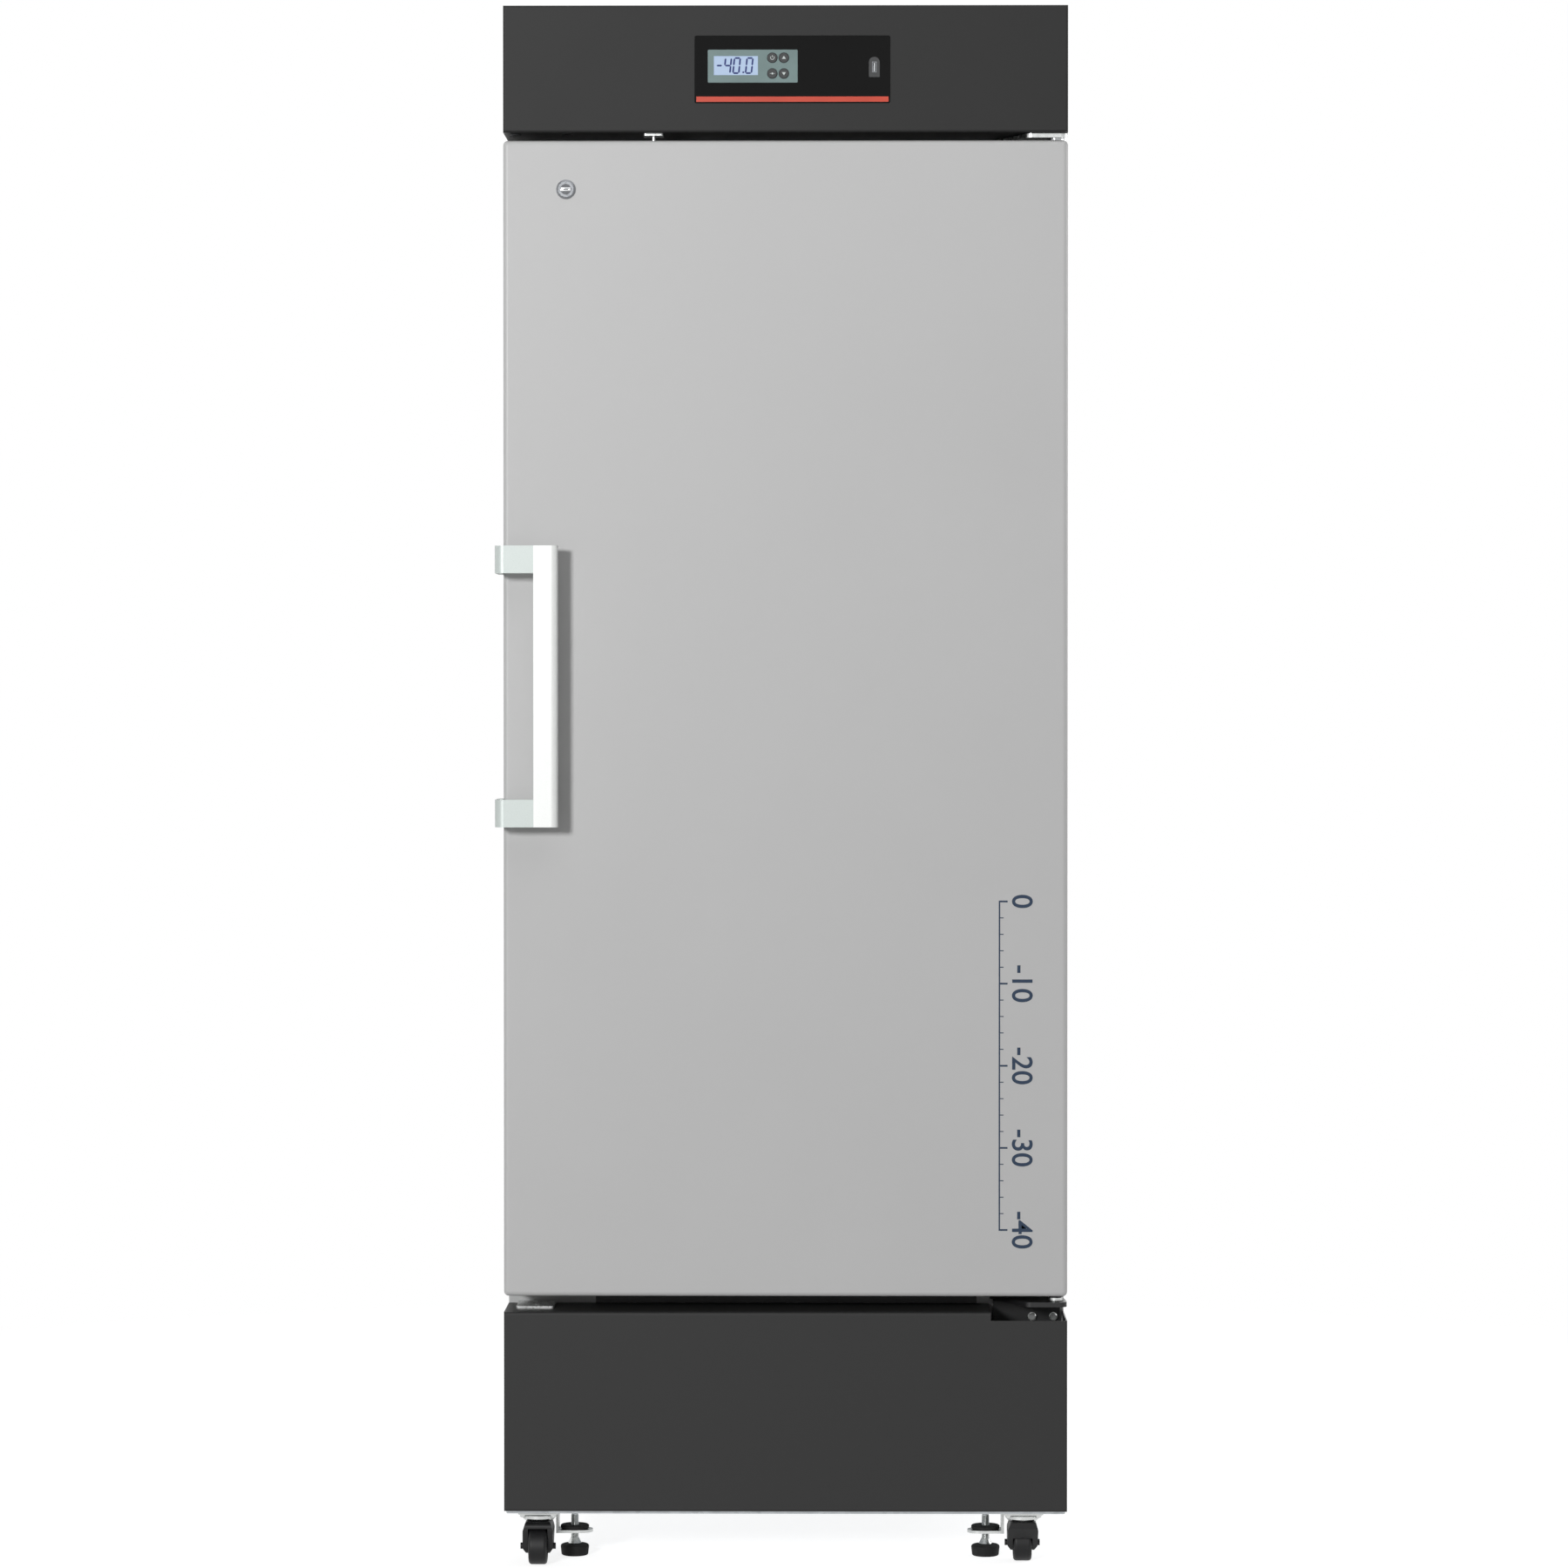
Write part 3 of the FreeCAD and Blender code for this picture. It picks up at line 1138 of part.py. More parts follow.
def door_switch_body():
    """Switch hung in the header floor over the door's top edge."""
    x_range = (SWITCH_X - SWITCH_HEAD_WIDTH / 2, SWITCH_X + SWITCH_HEAD_WIDTH / 2)
    y_range = (SWITCH_Y - SWITCH_HEAD_DEPTH / 2, SWITCH_Y + SWITCH_HEAD_DEPTH / 2)
    head = rounded_box(x_range, y_range, (SWITCH_HEAD_LOW, HEADER_LOW), "z", ARM_CORNER)
    box_low = HEADER_LOW + COVER_SHEET
    neck = cylinder(SWITCH_NECK_RADIUS, "z", HEADER_LOW, box_low, SWITCH_X, SWITCH_Y)
    box_x = (SWITCH_X - SWITCH_NECK_RADIUS - POCKET_MARGIN, SWITCH_X + SWITCH_NECK_RADIUS + POCKET_MARGIN)
    box_y = (SWITCH_Y - SWITCH_NECK_RADIUS - ARM_CORNER, SWITCH_Y + SWITCH_NECK_RADIUS + ARM_CORNER)
    box = block(box_x, box_y, (box_low, box_low + SWITCH_BODY_HEIGHT))
    bore_radius = SWITCH_PLUNGER_RADIUS + SWITCH_PLUNGER_CLEARANCE
    bore_top = box_low + SWITCH_BODY_HEIGHT - SWITCH_HEAD_THICKNESS
    bore = cylinder(bore_radius, "z", SWITCH_HEAD_LOW, bore_top, SWITCH_X, SWITCH_Y)
    return fuse(head, neck, box).cut(bore)


def door_switch_plunger():
    """Round pin that the closed door holds up."""
    length_inside = COVER_SHEET + SWITCH_BODY_HEIGHT - SWITCH_HEAD_THICKNESS - SWITCH_TRAVEL
    top = HEADER_LOW + length_inside - 2 * FIT_GAP
    low = DOOR_TOP + SWITCH_TIP_GAP
    pin = cylinder(SWITCH_PLUNGER_RADIUS, "z", low, top, SWITCH_X, SWITCH_Y)
    return pin.makeFillet(SWITCH_PLUNGER_RADIUS / 3, edges_at(pin, "z", low))


# Control panel


def bezel_window(gap, y_range):
    """Rounded block of the display bezel, grown by a gap."""
    x_range = (BEZEL_LEFT - gap, BEZEL_RIGHT + gap)
    z_range = (BEZEL_Z - gap, BEZEL_TOP + gap)
    return rounded_box(x_range, y_range, z_range, "y", BEZEL_CORNER + gap)


def usb_outline(gap):
    """Arch-topped outline of the data port's surround."""
    half = USB_WIDTH / 2 + gap
    low, top = USB_Z - USB_HEIGHT / 2 - gap, USB_Z + USB_HEIGHT / 2 + gap
    corner = PLATE_CORNER / 2 + gap
    arch = half * (1 - NEAR)
    return [
        (USB_X - half, low, corner),
        (USB_X + half, low, corner),
        (USB_X + half, top, arch),
        (USB_X - half, top, arch),
    ]


def strip_form(gap, front, back):
    """Block of the accent strip, grown by a gap."""
    x_range = (PLATE_LEFT + STRIP_SIDE_SET - gap, PLATE_RIGHT - STRIP_SIDE_SET + gap)
    low = PLATE_Z + STRIP_ABOVE_PLATE_LOW
    return block(x_range, (front, back), (low - gap, low + STRIP_HEIGHT + gap))


def board_posts():
    """Places of the posts that carry the controller board."""
    left, right = PLATE_LEFT + BOARD_MARGIN, PLATE_RIGHT - BOARD_MARGIN
    low, top = PLATE_Z + 2 * BOARD_MARGIN, PLATE_TOP - BOARD_MARGIN
    return [(x, z) for x in (left, right) for z in (low, top)]


def control_plate():
    """Dark plate flush in the header, flanged behind, with posts for its board."""
    flange = rounded_box(
        (PLATE_LEFT - PLATE_FLANGE, PLATE_RIGHT + PLATE_FLANGE),
        (COVER_INNER, PLATE_BACK),
        (PLATE_Z - PLATE_FLANGE, PLATE_TOP + PLATE_FLANGE),
        "y",
        PLATE_CORNER,
    )
    posts = [
        cylinder(BOARD_POST_RADIUS, "y", PLATE_BACK, BOARD_FRONT, x, z) for x, z in board_posts()
    ]
    through = (PLATE_FRONT, PLATE_BACK)
    groove = strip_form(0.0, PLATE_FRONT, PLATE_FRONT + STRIP_GROOVE)
    usb_hole = extrude(usb_outline(0.0), "y", *through)
    plate = fuse(plate_window(0.0), flange, *posts)
    return plate.cut([bezel_window(0.0, through), groove, usb_hole])


def accent_strip():
    """Coloured strip let into the plate's lower edge."""
    return strip_form(0.0, PLATE_FRONT - STRIP_PROUD, PLATE_FRONT + STRIP_GROOVE)


def key_places():
    """Centres of the four round keys."""
    left = BEZEL_LEFT + KEY_FIRST_SET
    low = BEZEL_Z + KEY_LOW_SET
    return [
        (left + column * KEY_SPACING_X, low + row * KEY_SPACING_Z) for row in (1, 0) for column in (0, 1)
    ]


def display_bezel():
    """Surround of the display and the keys, stepped behind the plate."""
    front = bezel_window(0.0, (BEZEL_FRONT, PLATE_BACK))
    flange = rounded_box(
        (BEZEL_LEFT - BEZEL_FLANGE, BEZEL_RIGHT + BEZEL_FLANGE),
        (PLATE_BACK, BEZEL_BACK),
        (BEZEL_Z - BEZEL_FLANGE, BEZEL_TOP + BEZEL_FLANGE),
        "y",
        BEZEL_CORNER,
    )
    window_x = (LCD_LEFT, LCD_LEFT + LCD_WIDTH)
    window_z = (LCD_Z, LCD_Z + LCD_HEIGHT)
    window = block(window_x, (BEZEL_FRONT, BEZEL_BACK), window_z)
    ledge_x = (LCD_LEFT - LCD_LEDGE, LCD_LEFT + LCD_WIDTH + LCD_LEDGE)
    ledge_z = (LCD_Z - LCD_LEDGE, LCD_Z + LCD_HEIGHT + LCD_LEDGE)
    ledge = block(ledge_x, (BEZEL_FRONT + LCD_RECESS, BEZEL_BACK), ledge_z)
    holes = []
    for key_x, key_z in key_places():
        hole_radius = KEY_RADIUS + FIT_GAP
        holes.append(cylinder(hole_radius, "y", BEZEL_FRONT, BEZEL_BACK, key_x, key_z))
    return fuse(front, flange).cut([window, ledge, *holes])


def display_glass():
    """Display module: its glass seats on the ledge behind the window."""
    x_range = (LCD_LEFT - LCD_LEDGE, LCD_LEFT + LCD_WIDTH + LCD_LEDGE)
    z_range = (LCD_Z - LCD_LEDGE, LCD_Z + LCD_HEIGHT + LCD_LEDGE)
    front = BEZEL_FRONT + LCD_RECESS
    return block(x_range, (front, front + LCD_THICKNESS), z_range)


def panel_key(key_x, key_z):
    """Domed round key with a retaining flange and a stem behind."""
    shoulder = KEY_RADIUS
    flange = KEY_RADIUS + KEY_FLANGE
    front = BEZEL_FRONT - KEY_PROUD
    flange_front = BEZEL_BACK + FIT_GAP - front
    stem_end = BOARD_FRONT - KEY_TRAVEL - FIT_GAP - front
    points = [
        (0.0, 0.0),
        (shoulder - KEY_DOME, 0.0, KEY_DOME),
        (shoulder, KEY_DOME),
        (shoulder, flange_front),
        (flange, flange_front),
        (flange, flange_front + KEY_FLANGE_THICKNESS),
        (KEY_STEM_RADIUS, flange_front + KEY_FLANGE_THICKNESS),
        (KEY_STEM_RADIUS, stem_end),
        (0.0, stem_end),
    ]
    return revolve(points, FreeCAD.Vector(key_x, front, key_z), Y_AXIS)


def controller_board():
    """Circuit board on the plate's posts, with a power block and chips behind."""
    left, right = PLATE_LEFT, PLATE_RIGHT
    low, top = PLATE_Z + BOARD_MARGIN, PLATE_TOP
    back = BOARD_FRONT + BOARD_THICKNESS
    board = block((left, right), (BOARD_FRONT, back), (low, top))
    middle = (low + top) / 2
    parts = [board]
    for step in range(RELAY_COUNT):
        x_low = left + BOARD_MARGIN + step * 2 * RELAY_SIZE
        x_range = (x_low, x_low + RELAY_SIZE)
        parts.append(block(x_range, (back, back + RELAY_SIZE), (middle, middle + RELAY_SIZE)))
    chip_x = (right - 3 * RELAY_SIZE, right - RELAY_SIZE)
    chip_z = (low + BOARD_MARGIN, low + BOARD_MARGIN + RELAY_SIZE)
    parts.append(block(chip_x, (back, back + CHIP_HEIGHT), chip_z))
    port_half = USB_WIDTH / 2 + FIT_GAP
    port_z = (USB_Z - USB_SHELL_HEIGHT / 2 - FIT_GAP, USB_Z + USB_SHELL_HEIGHT / 2 + FIT_GAP)
    notch = block((USB_X - port_half, USB_X + port_half), (BOARD_FRONT, back), port_z)
    return fuse(*parts).cut(notch)


def usb_port():
    """Upright data port: a surround in the plate and a metal shell with its tongue."""
    front = PLATE_FRONT - USB_PROUD
    surround = extrude(usb_outline(0.0), "y", front, PLATE_BACK)
    half_x, half_z = USB_SHELL_WIDTH / 2, USB_SHELL_HEIGHT / 2
    shell_x = (USB_X - half_x, USB_X + half_x)
    shell_z = (USB_Z - half_z, USB_Z + half_z)
    shell = block(shell_x, (front, front + USB_DEPTH), shell_z)
    surround = surround.cut(shell)
    wall = USB_SHELL_WALL
    hollow_x = (shell_x[0] + wall, shell_x[1] - wall)
    hollow_z = (shell_z[0] + wall, shell_z[1] - wall)
    hollow = block(hollow_x, (front, front + USB_DEPTH - wall), hollow_z)
    tongue_x = (USB_X - USB_TONGUE / 2, USB_X + USB_TONGUE / 2)
    tongue_z = (shell_z[0] + 2 * wall, shell_z[1] - 2 * wall)
    tongue = block(tongue_x, (front + 2 * wall, front + USB_DEPTH - wall / 2), tongue_z)
    return Part.makeCompound([surround, fuse(shell.cut(hollow), tongue)])


# Casters


def caster_places():
    """Name, centre and the way the wheel trails, for each caster."""
    return [
        ("front_left", CASTER_LEFT_X, CASTER_FRONT_Y, -1),
        ("front_right", CASTER_RIGHT_X, CASTER_FRONT_Y, 1),
        ("rear_left", CASTER_LEFT_X, CASTER_REAR_Y, 1),
        ("rear_right", CASTER_RIGHT_X, CASTER_REAR_Y, -1),
    ]


def caster_plate(centre_x, centre_y):
    """Mounting plate with the pressed raceway and the riveted kingpin below it."""
    half = CASTER_PLATE / 2
    plate_low = CASTER_HEIGHT - CASTER_PLATE_THICKNESS
    plate = rounded_box(
        (centre_x - half, centre_x + half),
        (centre_y - half, centre_y + half),
        (plate_low, CASTER_HEIGHT),
        "z",
        CASTER_PLATE_CORNER,
    )
    head_top = FORK_TOP_LOW - KINGPIN_HEAD_GAP
    points = [
        (0.0, head_top - KINGPIN_HEAD),
        (KINGPIN_HEAD_RADIUS, head_top - KINGPIN_HEAD),
        (KINGPIN_HEAD_RADIUS, head_top),
        (KINGPIN_RADIUS, head_top),
        (KINGPIN_RADIUS, RACEWAY_LOW),
        (RACEWAY_RADIUS - RACEWAY_LIP, RACEWAY_LOW),
        (RACEWAY_RADIUS, RACEWAY_LOW + RACEWAY_LIP),
        (RACEWAY_RADIUS, plate_low - RACEWAY_LIP),
        (RACEWAY_RADIUS - RACEWAY_LIP, plate_low),
        (0.0, plate_low),
    ]
    return fuse(plate, revolve(points, FreeCAD.Vector(centre_x, centre_y, 0), Z_AXIS))


def caster_plates():
    """The four mounting plates."""
    return Part.makeCompound([caster_plate(x, y) for _, x, y, _ in caster_places()])


def hood_front(centre_x, low, y_range):
    """Outline of a fork seen from the front, with sloping shoulders and narrow leg tips."""
    right = [
        (centre_x + LEG_TIP_HALF, low),
        (centre_x + FORK_HALF_WIDTH, low + LEG_TIP_RISE, LEG_TIP_ROUND),
        (centre_x + FORK_HALF_WIDTH, FORK_TOP - HOOD_SHOULDER_DROP, HOOD_SHOULDER_ROUND),
        (centre_x + HOOD_TOP_HALF, FORK_TOP, HOOD_TOP_ROUND),
    ]
    left = [(2 * centre_x - point[0], *point[1:]) for point in reversed(right)]
    return extrude(right + left, "y", *y_range)


def caster_fork(centre_x, centre_y, trail_side):
    """Hood with sloping shoulders and narrow leg tips, the axle across it, turning on the kingpin."""
    axle_y = centre_y + trail_side * WHEEL_TRAIL
    top_front = centre_y - trail_side * FORK_TOP_REACH
    top_back = centre_y + trail_side * (FORK_TOP_REACH + FORK_LEG)
    boss_front = axle_y - trail_side * FORK_BOSS_RADIUS
    boss_back = axle_y + trail_side * FORK_BOSS_RADIUS
    boss_low = WHEEL_RADIUS - FORK_BOSS_RADIUS
    profile = [
        (boss_front, boss_low, FORK_BOSS_RADIUS * (1 - NEAR)),
        (boss_back, boss_low, FORK_BOSS_RADIUS * (1 - NEAR)),
        (top_back, FORK_TOP_LOW - FORK_LEG),
        (top_back, FORK_TOP, FORK_LEG),
        (top_front, FORK_TOP, AXLE_RADIUS / 2),
        (top_front, FORK_TOP_LOW - FORK_LEG / 2),
    ]
    hood = extrude(profile, "x", centre_x - FORK_HALF_WIDTH, centre_x + FORK_HALF_WIDTH)
    hood = hood.common(hood_front(centre_x, boss_low, sorted((top_front, top_back))))
    slot_x = (centre_x - SLOT_HALF, centre_x + SLOT_HALF)
    wheel_room = cylinder(WHEEL_RADIUS + WHEEL_GAP, "x", *slot_x, axle_y, WHEEL_RADIUS)
    head_z = (WHEEL_RADIUS, FORK_TOP_LOW)
    head_room = cylinder(KINGPIN_HEAD_RADIUS + KINGPIN_HEAD_GAP, "z", *head_z, centre_x, centre_y)
    bore_radius = KINGPIN_RADIUS + KINGPIN_CLEARANCE
    bore = cylinder(bore_radius, "z", FORK_TOP_LOW, FORK_TOP, centre_x, centre_y)
    axle_x = (centre_x - FORK_HALF_WIDTH - AXLE_NUB, centre_x + FORK_HALF_WIDTH + AXLE_NUB)
    axle = cylinder(AXLE_RADIUS, "x", *axle_x, axle_y, WHEEL_RADIUS)
    return fuse(hood.cut([wheel_room, head_room, bore]), axle)


def caster_wheel(centre_x, centre_y, trail_side):
    """Moulded wheel with rounded shoulders, a sunk web and a hub on the axle."""
    axle_y = centre_y + trail_side * WHEEL_TRAIL
    half = WHEEL_WIDTH / 2
    bore = AXLE_RADIUS + AXLE_CLEARANCE
    web = half - WHEEL_WEB_INSET
    points = [
        (bore, -half),
        (WHEEL_HUB_RADIUS, -half),
        (WHEEL_HUB_RADIUS, -web),
        (WHEEL_RIM_RADIUS, -web),
        (WHEEL_RIM_RADIUS, -half),
        (WHEEL_RADIUS, -half, WHEEL_SHOULDER),
        (WHEEL_RADIUS, half, WHEEL_SHOULDER),
        (WHEEL_RIM_RADIUS, half),
        (WHEEL_RIM_RADIUS, web),
        (WHEEL_HUB_RADIUS, web),
        (WHEEL_HUB_RADIUS, half),
        (bore, half),
    ]
    return revolve(points, FreeCAD.Vector(centre_x, axle_y, WHEEL_RADIUS), X_AXIS)


# Levelling feet


def levelling_bracket(foot_x):
    """Folded strap under the pan: top flange, web beside the caster and a round-ended tab."""
    side = math.copysign(1, foot_x)
    web_inner = foot_x + side * BRACKET_WEB_OFFSET
    web_outer = web_inner + side * BRACKET_SHEET
    tab_low, tab_top = BRACKET_TAB_LEVEL, BRACKET_TAB_LEVEL + BRACKET_SHEET
    flange_low = CASTER_HEIGHT - BRACKET_SHEET
    half = BRACKET_DEPTH / 2
    y_range = (FOOT_Y - half, FOOT_Y + half)
    web = block(sorted((web_inner, web_outer)), y_range, (tab_low, CASTER_HEIGHT))
    flange_end = web_outer - side * BRACKET_TOP_WIDTH
    flange = block(sorted((web_outer, flange_end)), y_range, (flange_low, CASTER_HEIGHT))
    end_x = foot_x - side * BRACKET_TAB_OVERHANG
    tab = block(sorted((web_outer, end_x)), y_range, (tab_low, tab_top))
    tab_end = cylinder(half, "z", tab_low, tab_top, end_x, FOOT_Y)
    hole = cylinder(SCREW_RADIUS + SCREW_CLEARANCE, "z", tab_low, CASTER_HEIGHT, foot_x, FOOT_Y)
    return fuse(web, flange, tab, tab_end).cut(hole)


def levelling_brackets():
    """The straps of the two feet."""
    return Part.makeCompound([levelling_bracket(x) for x in (FOOT_LEFT_X, FOOT_RIGHT_X)])


def foot_pad(foot_x):
    """Round rubber foot, a little wider at its rim, with a socket for the screw."""
    socket = SCREW_RADIUS + SCREW_CLEARANCE
    points = [
        (0.0, 0.0),
        (FOOT_LOW_RADIUS, 0.0, FOOT_LOW_ROUND),
        (FOOT_RADIUS, FOOT_RIM, FOOT_RIM_ROUND),
        (FOOT_NECK_RADIUS, FOOT_RIM + FOOT_DOME),
        (FOOT_NECK_RADIUS, FOOT_HEIGHT),
        (socket, FOOT_HEIGHT),
        (socket, FOOT_SOCKET_FLOOR),
        (0.0, FOOT_SOCKET_FLOOR),
    ]
    return revolve(points, FreeCAD.Vector(foot_x, FOOT_Y, 0), Z_AXIS)


def foot_screw(foot_x):
    """Rod from the pad's socket up through the strap, flared where it stands on the pad."""
    low = FOOT_SOCKET_FLOOR + FOOT_SOCKET_GAP
    flare_low = FOOT_HEIGHT + FOOT_SOCKET_GAP
    flare_top = flare_low + SCREW_FLARE_HEIGHT
    chamfer = SCREW_RADIUS / 5
    points = [
        (0.0, low),
        (SCREW_RADIUS, low),
        (SCREW_RADIUS, flare_low),
        (SCREW_FLARE_RADIUS, flare_low),
        (SCREW_RADIUS, flare_top),
        (SCREW_RADIUS, SCREW_TOP - chamfer),
        (SCREW_RADIUS - chamfer, SCREW_TOP),
        (0.0, SCREW_TOP),
    ]
    return revolve(points, FreeCAD.Vector(foot_x, FOOT_Y, 0), Z_AXIS)


# Machine room


def condenser():
    """Finned block between end plates, with the fan's shroud behind it."""
    half, reach = CONDENSER_HALF_WIDTH, CONDENSER_FIN_REACH
    front, back = CONDENSER_FRONT, CONDENSER_FRONT + CONDENSER_DEPTH
    pitch = (2 * half - CONDENSER_FIN_THICKNESS) / (CONDENSER_FIN_COUNT - 1)
    front_edge, back_edge = [], []
    for fin in range(CONDENSER_FIN_COUNT):
        left = -half + fin * pitch
        right = left + CONDENSER_FIN_THICKNESS
        next_left = left + pitch
        front_edge += [(left, front), (right, front)]
        back_edge += [(left, back), (right, back)]
        if fin < CONDENSER_FIN_COUNT - 1:
            front_edge += [(right, front + reach), (next_left, front + reach)]
            back_edge += [(right, back - reach), (next_left, back - reach)]
    low = PAN_TOP + CONDENSER_LOW_GAP
    core = extrude(front_edge + list(reversed(back_edge)), "z", low, low + CONDENSER_HEIGHT)
    end_top = low + CONDENSER_HEIGHT + CONDENSER_END_RISE
    ends = []
    for side in (-1, 1):
        x_range = sorted((side * half, side * (half + CONDENSER_END_PLATE)))
        ends.append(block(x_range, (front, back), (PAN_TOP, end_top)))
    shroud_half = half + CONDENSER_END_PLATE
    shroud = block((-shroud_half, shroud_half), (back, back + SHROUD_SHEET), (PAN_TOP, end_top))
    ring_outer = SHROUD_BORE_RADIUS + SHROUD_RING_WALL
    ring_y = (back, back + SHROUD_RING_DEPTH)
    ring = cylinder(ring_outer, "y", *ring_y, 0.0, FAN_Z)
    bore = cylinder(SHROUD_BORE_RADIUS, "y", *ring_y, 0.0, FAN_Z)
    return fuse(core, *ends, fuse(shroud, ring).cut(bore))


def fan_blade(turn):
    """One twisted, cambered blade lofted from the hub to the tip."""
    wires = []
    stations = (
        (FAN_HUB_RADIUS - FAN_BLADE_THICKNESS, FAN_ROOT_CHORD, FAN_ROOT_PITCH),
        (FAN_RADIUS, FAN_TIP_CHORD, FAN_TIP_PITCH),
    )
    for radius, chord, pitch in stations:
        camber = chord / 8
        thickness = FAN_BLADE_THICKNESS
        edge = [
            FreeCAD.Vector(-chord / 2, 0, radius),
            FreeCAD.Vector(0, camber, radius),
            FreeCAD.Vector(chord / 2, 0, radius),
            FreeCAD.Vector(chord / 2, thickness, radius),
            FreeCAD.Vector(0, camber + thickness, radius),
            FreeCAD.Vector(-chord / 2, thickness, radius),
        ]
        wire = Part.Wire(
            [
                Part.Arc(edge[0], edge[1], edge[2]).toShape(),
                Part.LineSegment(edge[2], edge[3]).toShape(),
                Part.Arc(edge[3], edge[4], edge[5]).toShape(),
                Part.LineSegment(edge[5], edge[0]).toShape(),
            ]
        )
        wire.rotate(FreeCAD.Vector(0, 0, 0), Z_AXIS, pitch)
        wires.append(wire)
    blade = Part.makeLoft(wires, True, True)
    blade.translate(FreeCAD.Vector(0, FAN_FRONT + FAN_HUB_LENGTH / 2 - FAN_BLADE_THICKNESS, 0))
    blade.rotate(FreeCAD.Vector(0, 0, 0), Y_AXIS, turn)
    return blade


def fan_blades():
    """Condenser fan: domed hub, twisted blades and the shaft into its motor."""
    hub_points = [
        (0.0, 0.0),
        (FAN_HUB_RADIUS, 0.0, FAN_HUB_RADIUS / 4),
        (FAN_HUB_RADIUS, FAN_HUB_LENGTH),
        (0.0, FAN_HUB_LENGTH),
    ]
    hub = revolve(hub_points, FreeCAD.Vector(0, FAN_FRONT, 0), Y_AXIS)
    blades = [fan_blade(360 / FAN_BLADES * step) for step in range(FAN_BLADES)]
    shaft_y = (FAN_FRONT + FAN_HUB_LENGTH, MOTOR_FRONT + SHAFT_GRIP - FIT_GAP)
    shaft = cylinder(SHAFT_RADIUS, "y", *shaft_y, 0.0, 0.0)
    fan = fuse(hub, shaft, *blades)
    fan.translate(FreeCAD.Vector(0, 0, FAN_Z))
    return fan


def fan_motor():
    """Motor on three arms that reach back to the shroud ring."""
    points = [
        (SHAFT_RADIUS + SHAFT_CLEARANCE, 0.0),
        (MOTOR_RADIUS, 0.0, MOTOR_EDGE_RADIUS),
        (MOTOR_RADIUS, MOTOR_LENGTH, MOTOR_EDGE_RADIUS),
        (0.0, MOTOR_LENGTH),
        (0.0, SHAFT_GRIP),
        (SHAFT_RADIUS + SHAFT_CLEARANCE, SHAFT_GRIP),
    ]
    motor = revolve(points, FreeCAD.Vector(0, MOTOR_FRONT, FAN_Z), Y_AXIS)
    ring_back = CONDENSER_FRONT + CONDENSER_DEPTH + SHROUD_RING_DEPTH
    arm_y = (ring_back, max(ring_back, MOTOR_FRONT + MOTOR_EDGE_RADIUS) + MOTOR_ARM_THICKNESS)
    arms = []
    for step in range(MOTOR_ARMS):
        reach = (MOTOR_RADIUS - MOTOR_ARM_THICKNESS, SHROUD_BORE_RADIUS + SHROUD_RING_WALL)
        arm = block((-MOTOR_ARM_WIDTH / 2, MOTOR_ARM_WIDTH / 2), arm_y, reach)
        arm.rotate(FreeCAD.Vector(0, 0, 0), Y_AXIS, 360 / MOTOR_ARMS * step)
        arm.translate(FreeCAD.Vector(0, 0, FAN_Z))
        arms.append(arm)
    return fuse(motor, *arms)


def compressor():
    """Hermetic compressor: domed shell with a welded seam, a foot plate and a terminal box."""
    low = COMPRESSOR_LOW + COMPRESSOR_PLATE
    radius, height = COMPRESSOR_RADIUS, COMPRESSOR_HEIGHT
    seam = height / 2
    points = [
        (0.0, 0.0),
        (radius, 0.0, COMPRESSOR_DOME / 2),
        (radius, seam - COMPRESSOR_SEAM),
        (radius + COMPRESSOR_SEAM_REACH, seam - COMPRESSOR_SEAM),
        (radius + COMPRESSOR_SEAM_REACH, seam),
        (radius, seam),
        (radius, height, COMPRESSOR_DOME),
        (0.0, height),
    ]
    shell = revolve(points, FreeCAD.Vector(COMPRESSOR_X, COMPRESSOR_Y, low), Z_AXIS)
    half_x, half_y = COMPRESSOR_PLATE_X / 2, COMPRESSOR_PLATE_Y / 2
    plate = rounded_box(
        (COMPRESSOR_X - half_x, COMPRESSOR_X + half_x),
        (COMPRESSOR_Y - half_y, COMPRESSOR_Y + half_y),
        (COMPRESSOR_LOW, low),
        "z",
        MOUNT_RADIUS,
    )
    half = COMPRESSOR_TERMINAL / 2
    box_x = (COMPRESSOR_X + radius - half, COMPRESSOR_X + radius + half)
    box_z = (low + seam - 2 * half, low + seam + half / 2)
    terminal = rounded_box(box_x, (COMPRESSOR_Y - half, COMPRESSOR_Y + half), box_z, "x", PLATE_CORNER)
    return fuse(shell, plate, terminal)


def compressor_mounts():
    """Four waisted rubber mounts under the compressor's foot plate."""
    mounts = []
    for side_x in (-1, 1):
        for side_y in (-1, 1):
            mount_x = COMPRESSOR_X + side_x * (COMPRESSOR_PLATE_X / 2 - MOUNT_RADIUS)
            mount_y = COMPRESSOR_Y + side_y * (COMPRESSOR_PLATE_Y / 2 - MOUNT_RADIUS)
            points = [
                (0.0, PAN_TOP),
                (MOUNT_RADIUS, PAN_TOP),
                (MOUNT_WAIST, PAN_TOP + MOUNT_HEIGHT / 2),
                (MOUNT_RADIUS, COMPRESSOR_LOW),
                (0.0, COMPRESSOR_LOW),
            ]
            mounts.append(revolve(points, FreeCAD.Vector(mount_x, mount_y, 0), Z_AXIS))
    return Part.makeCompound(mounts)


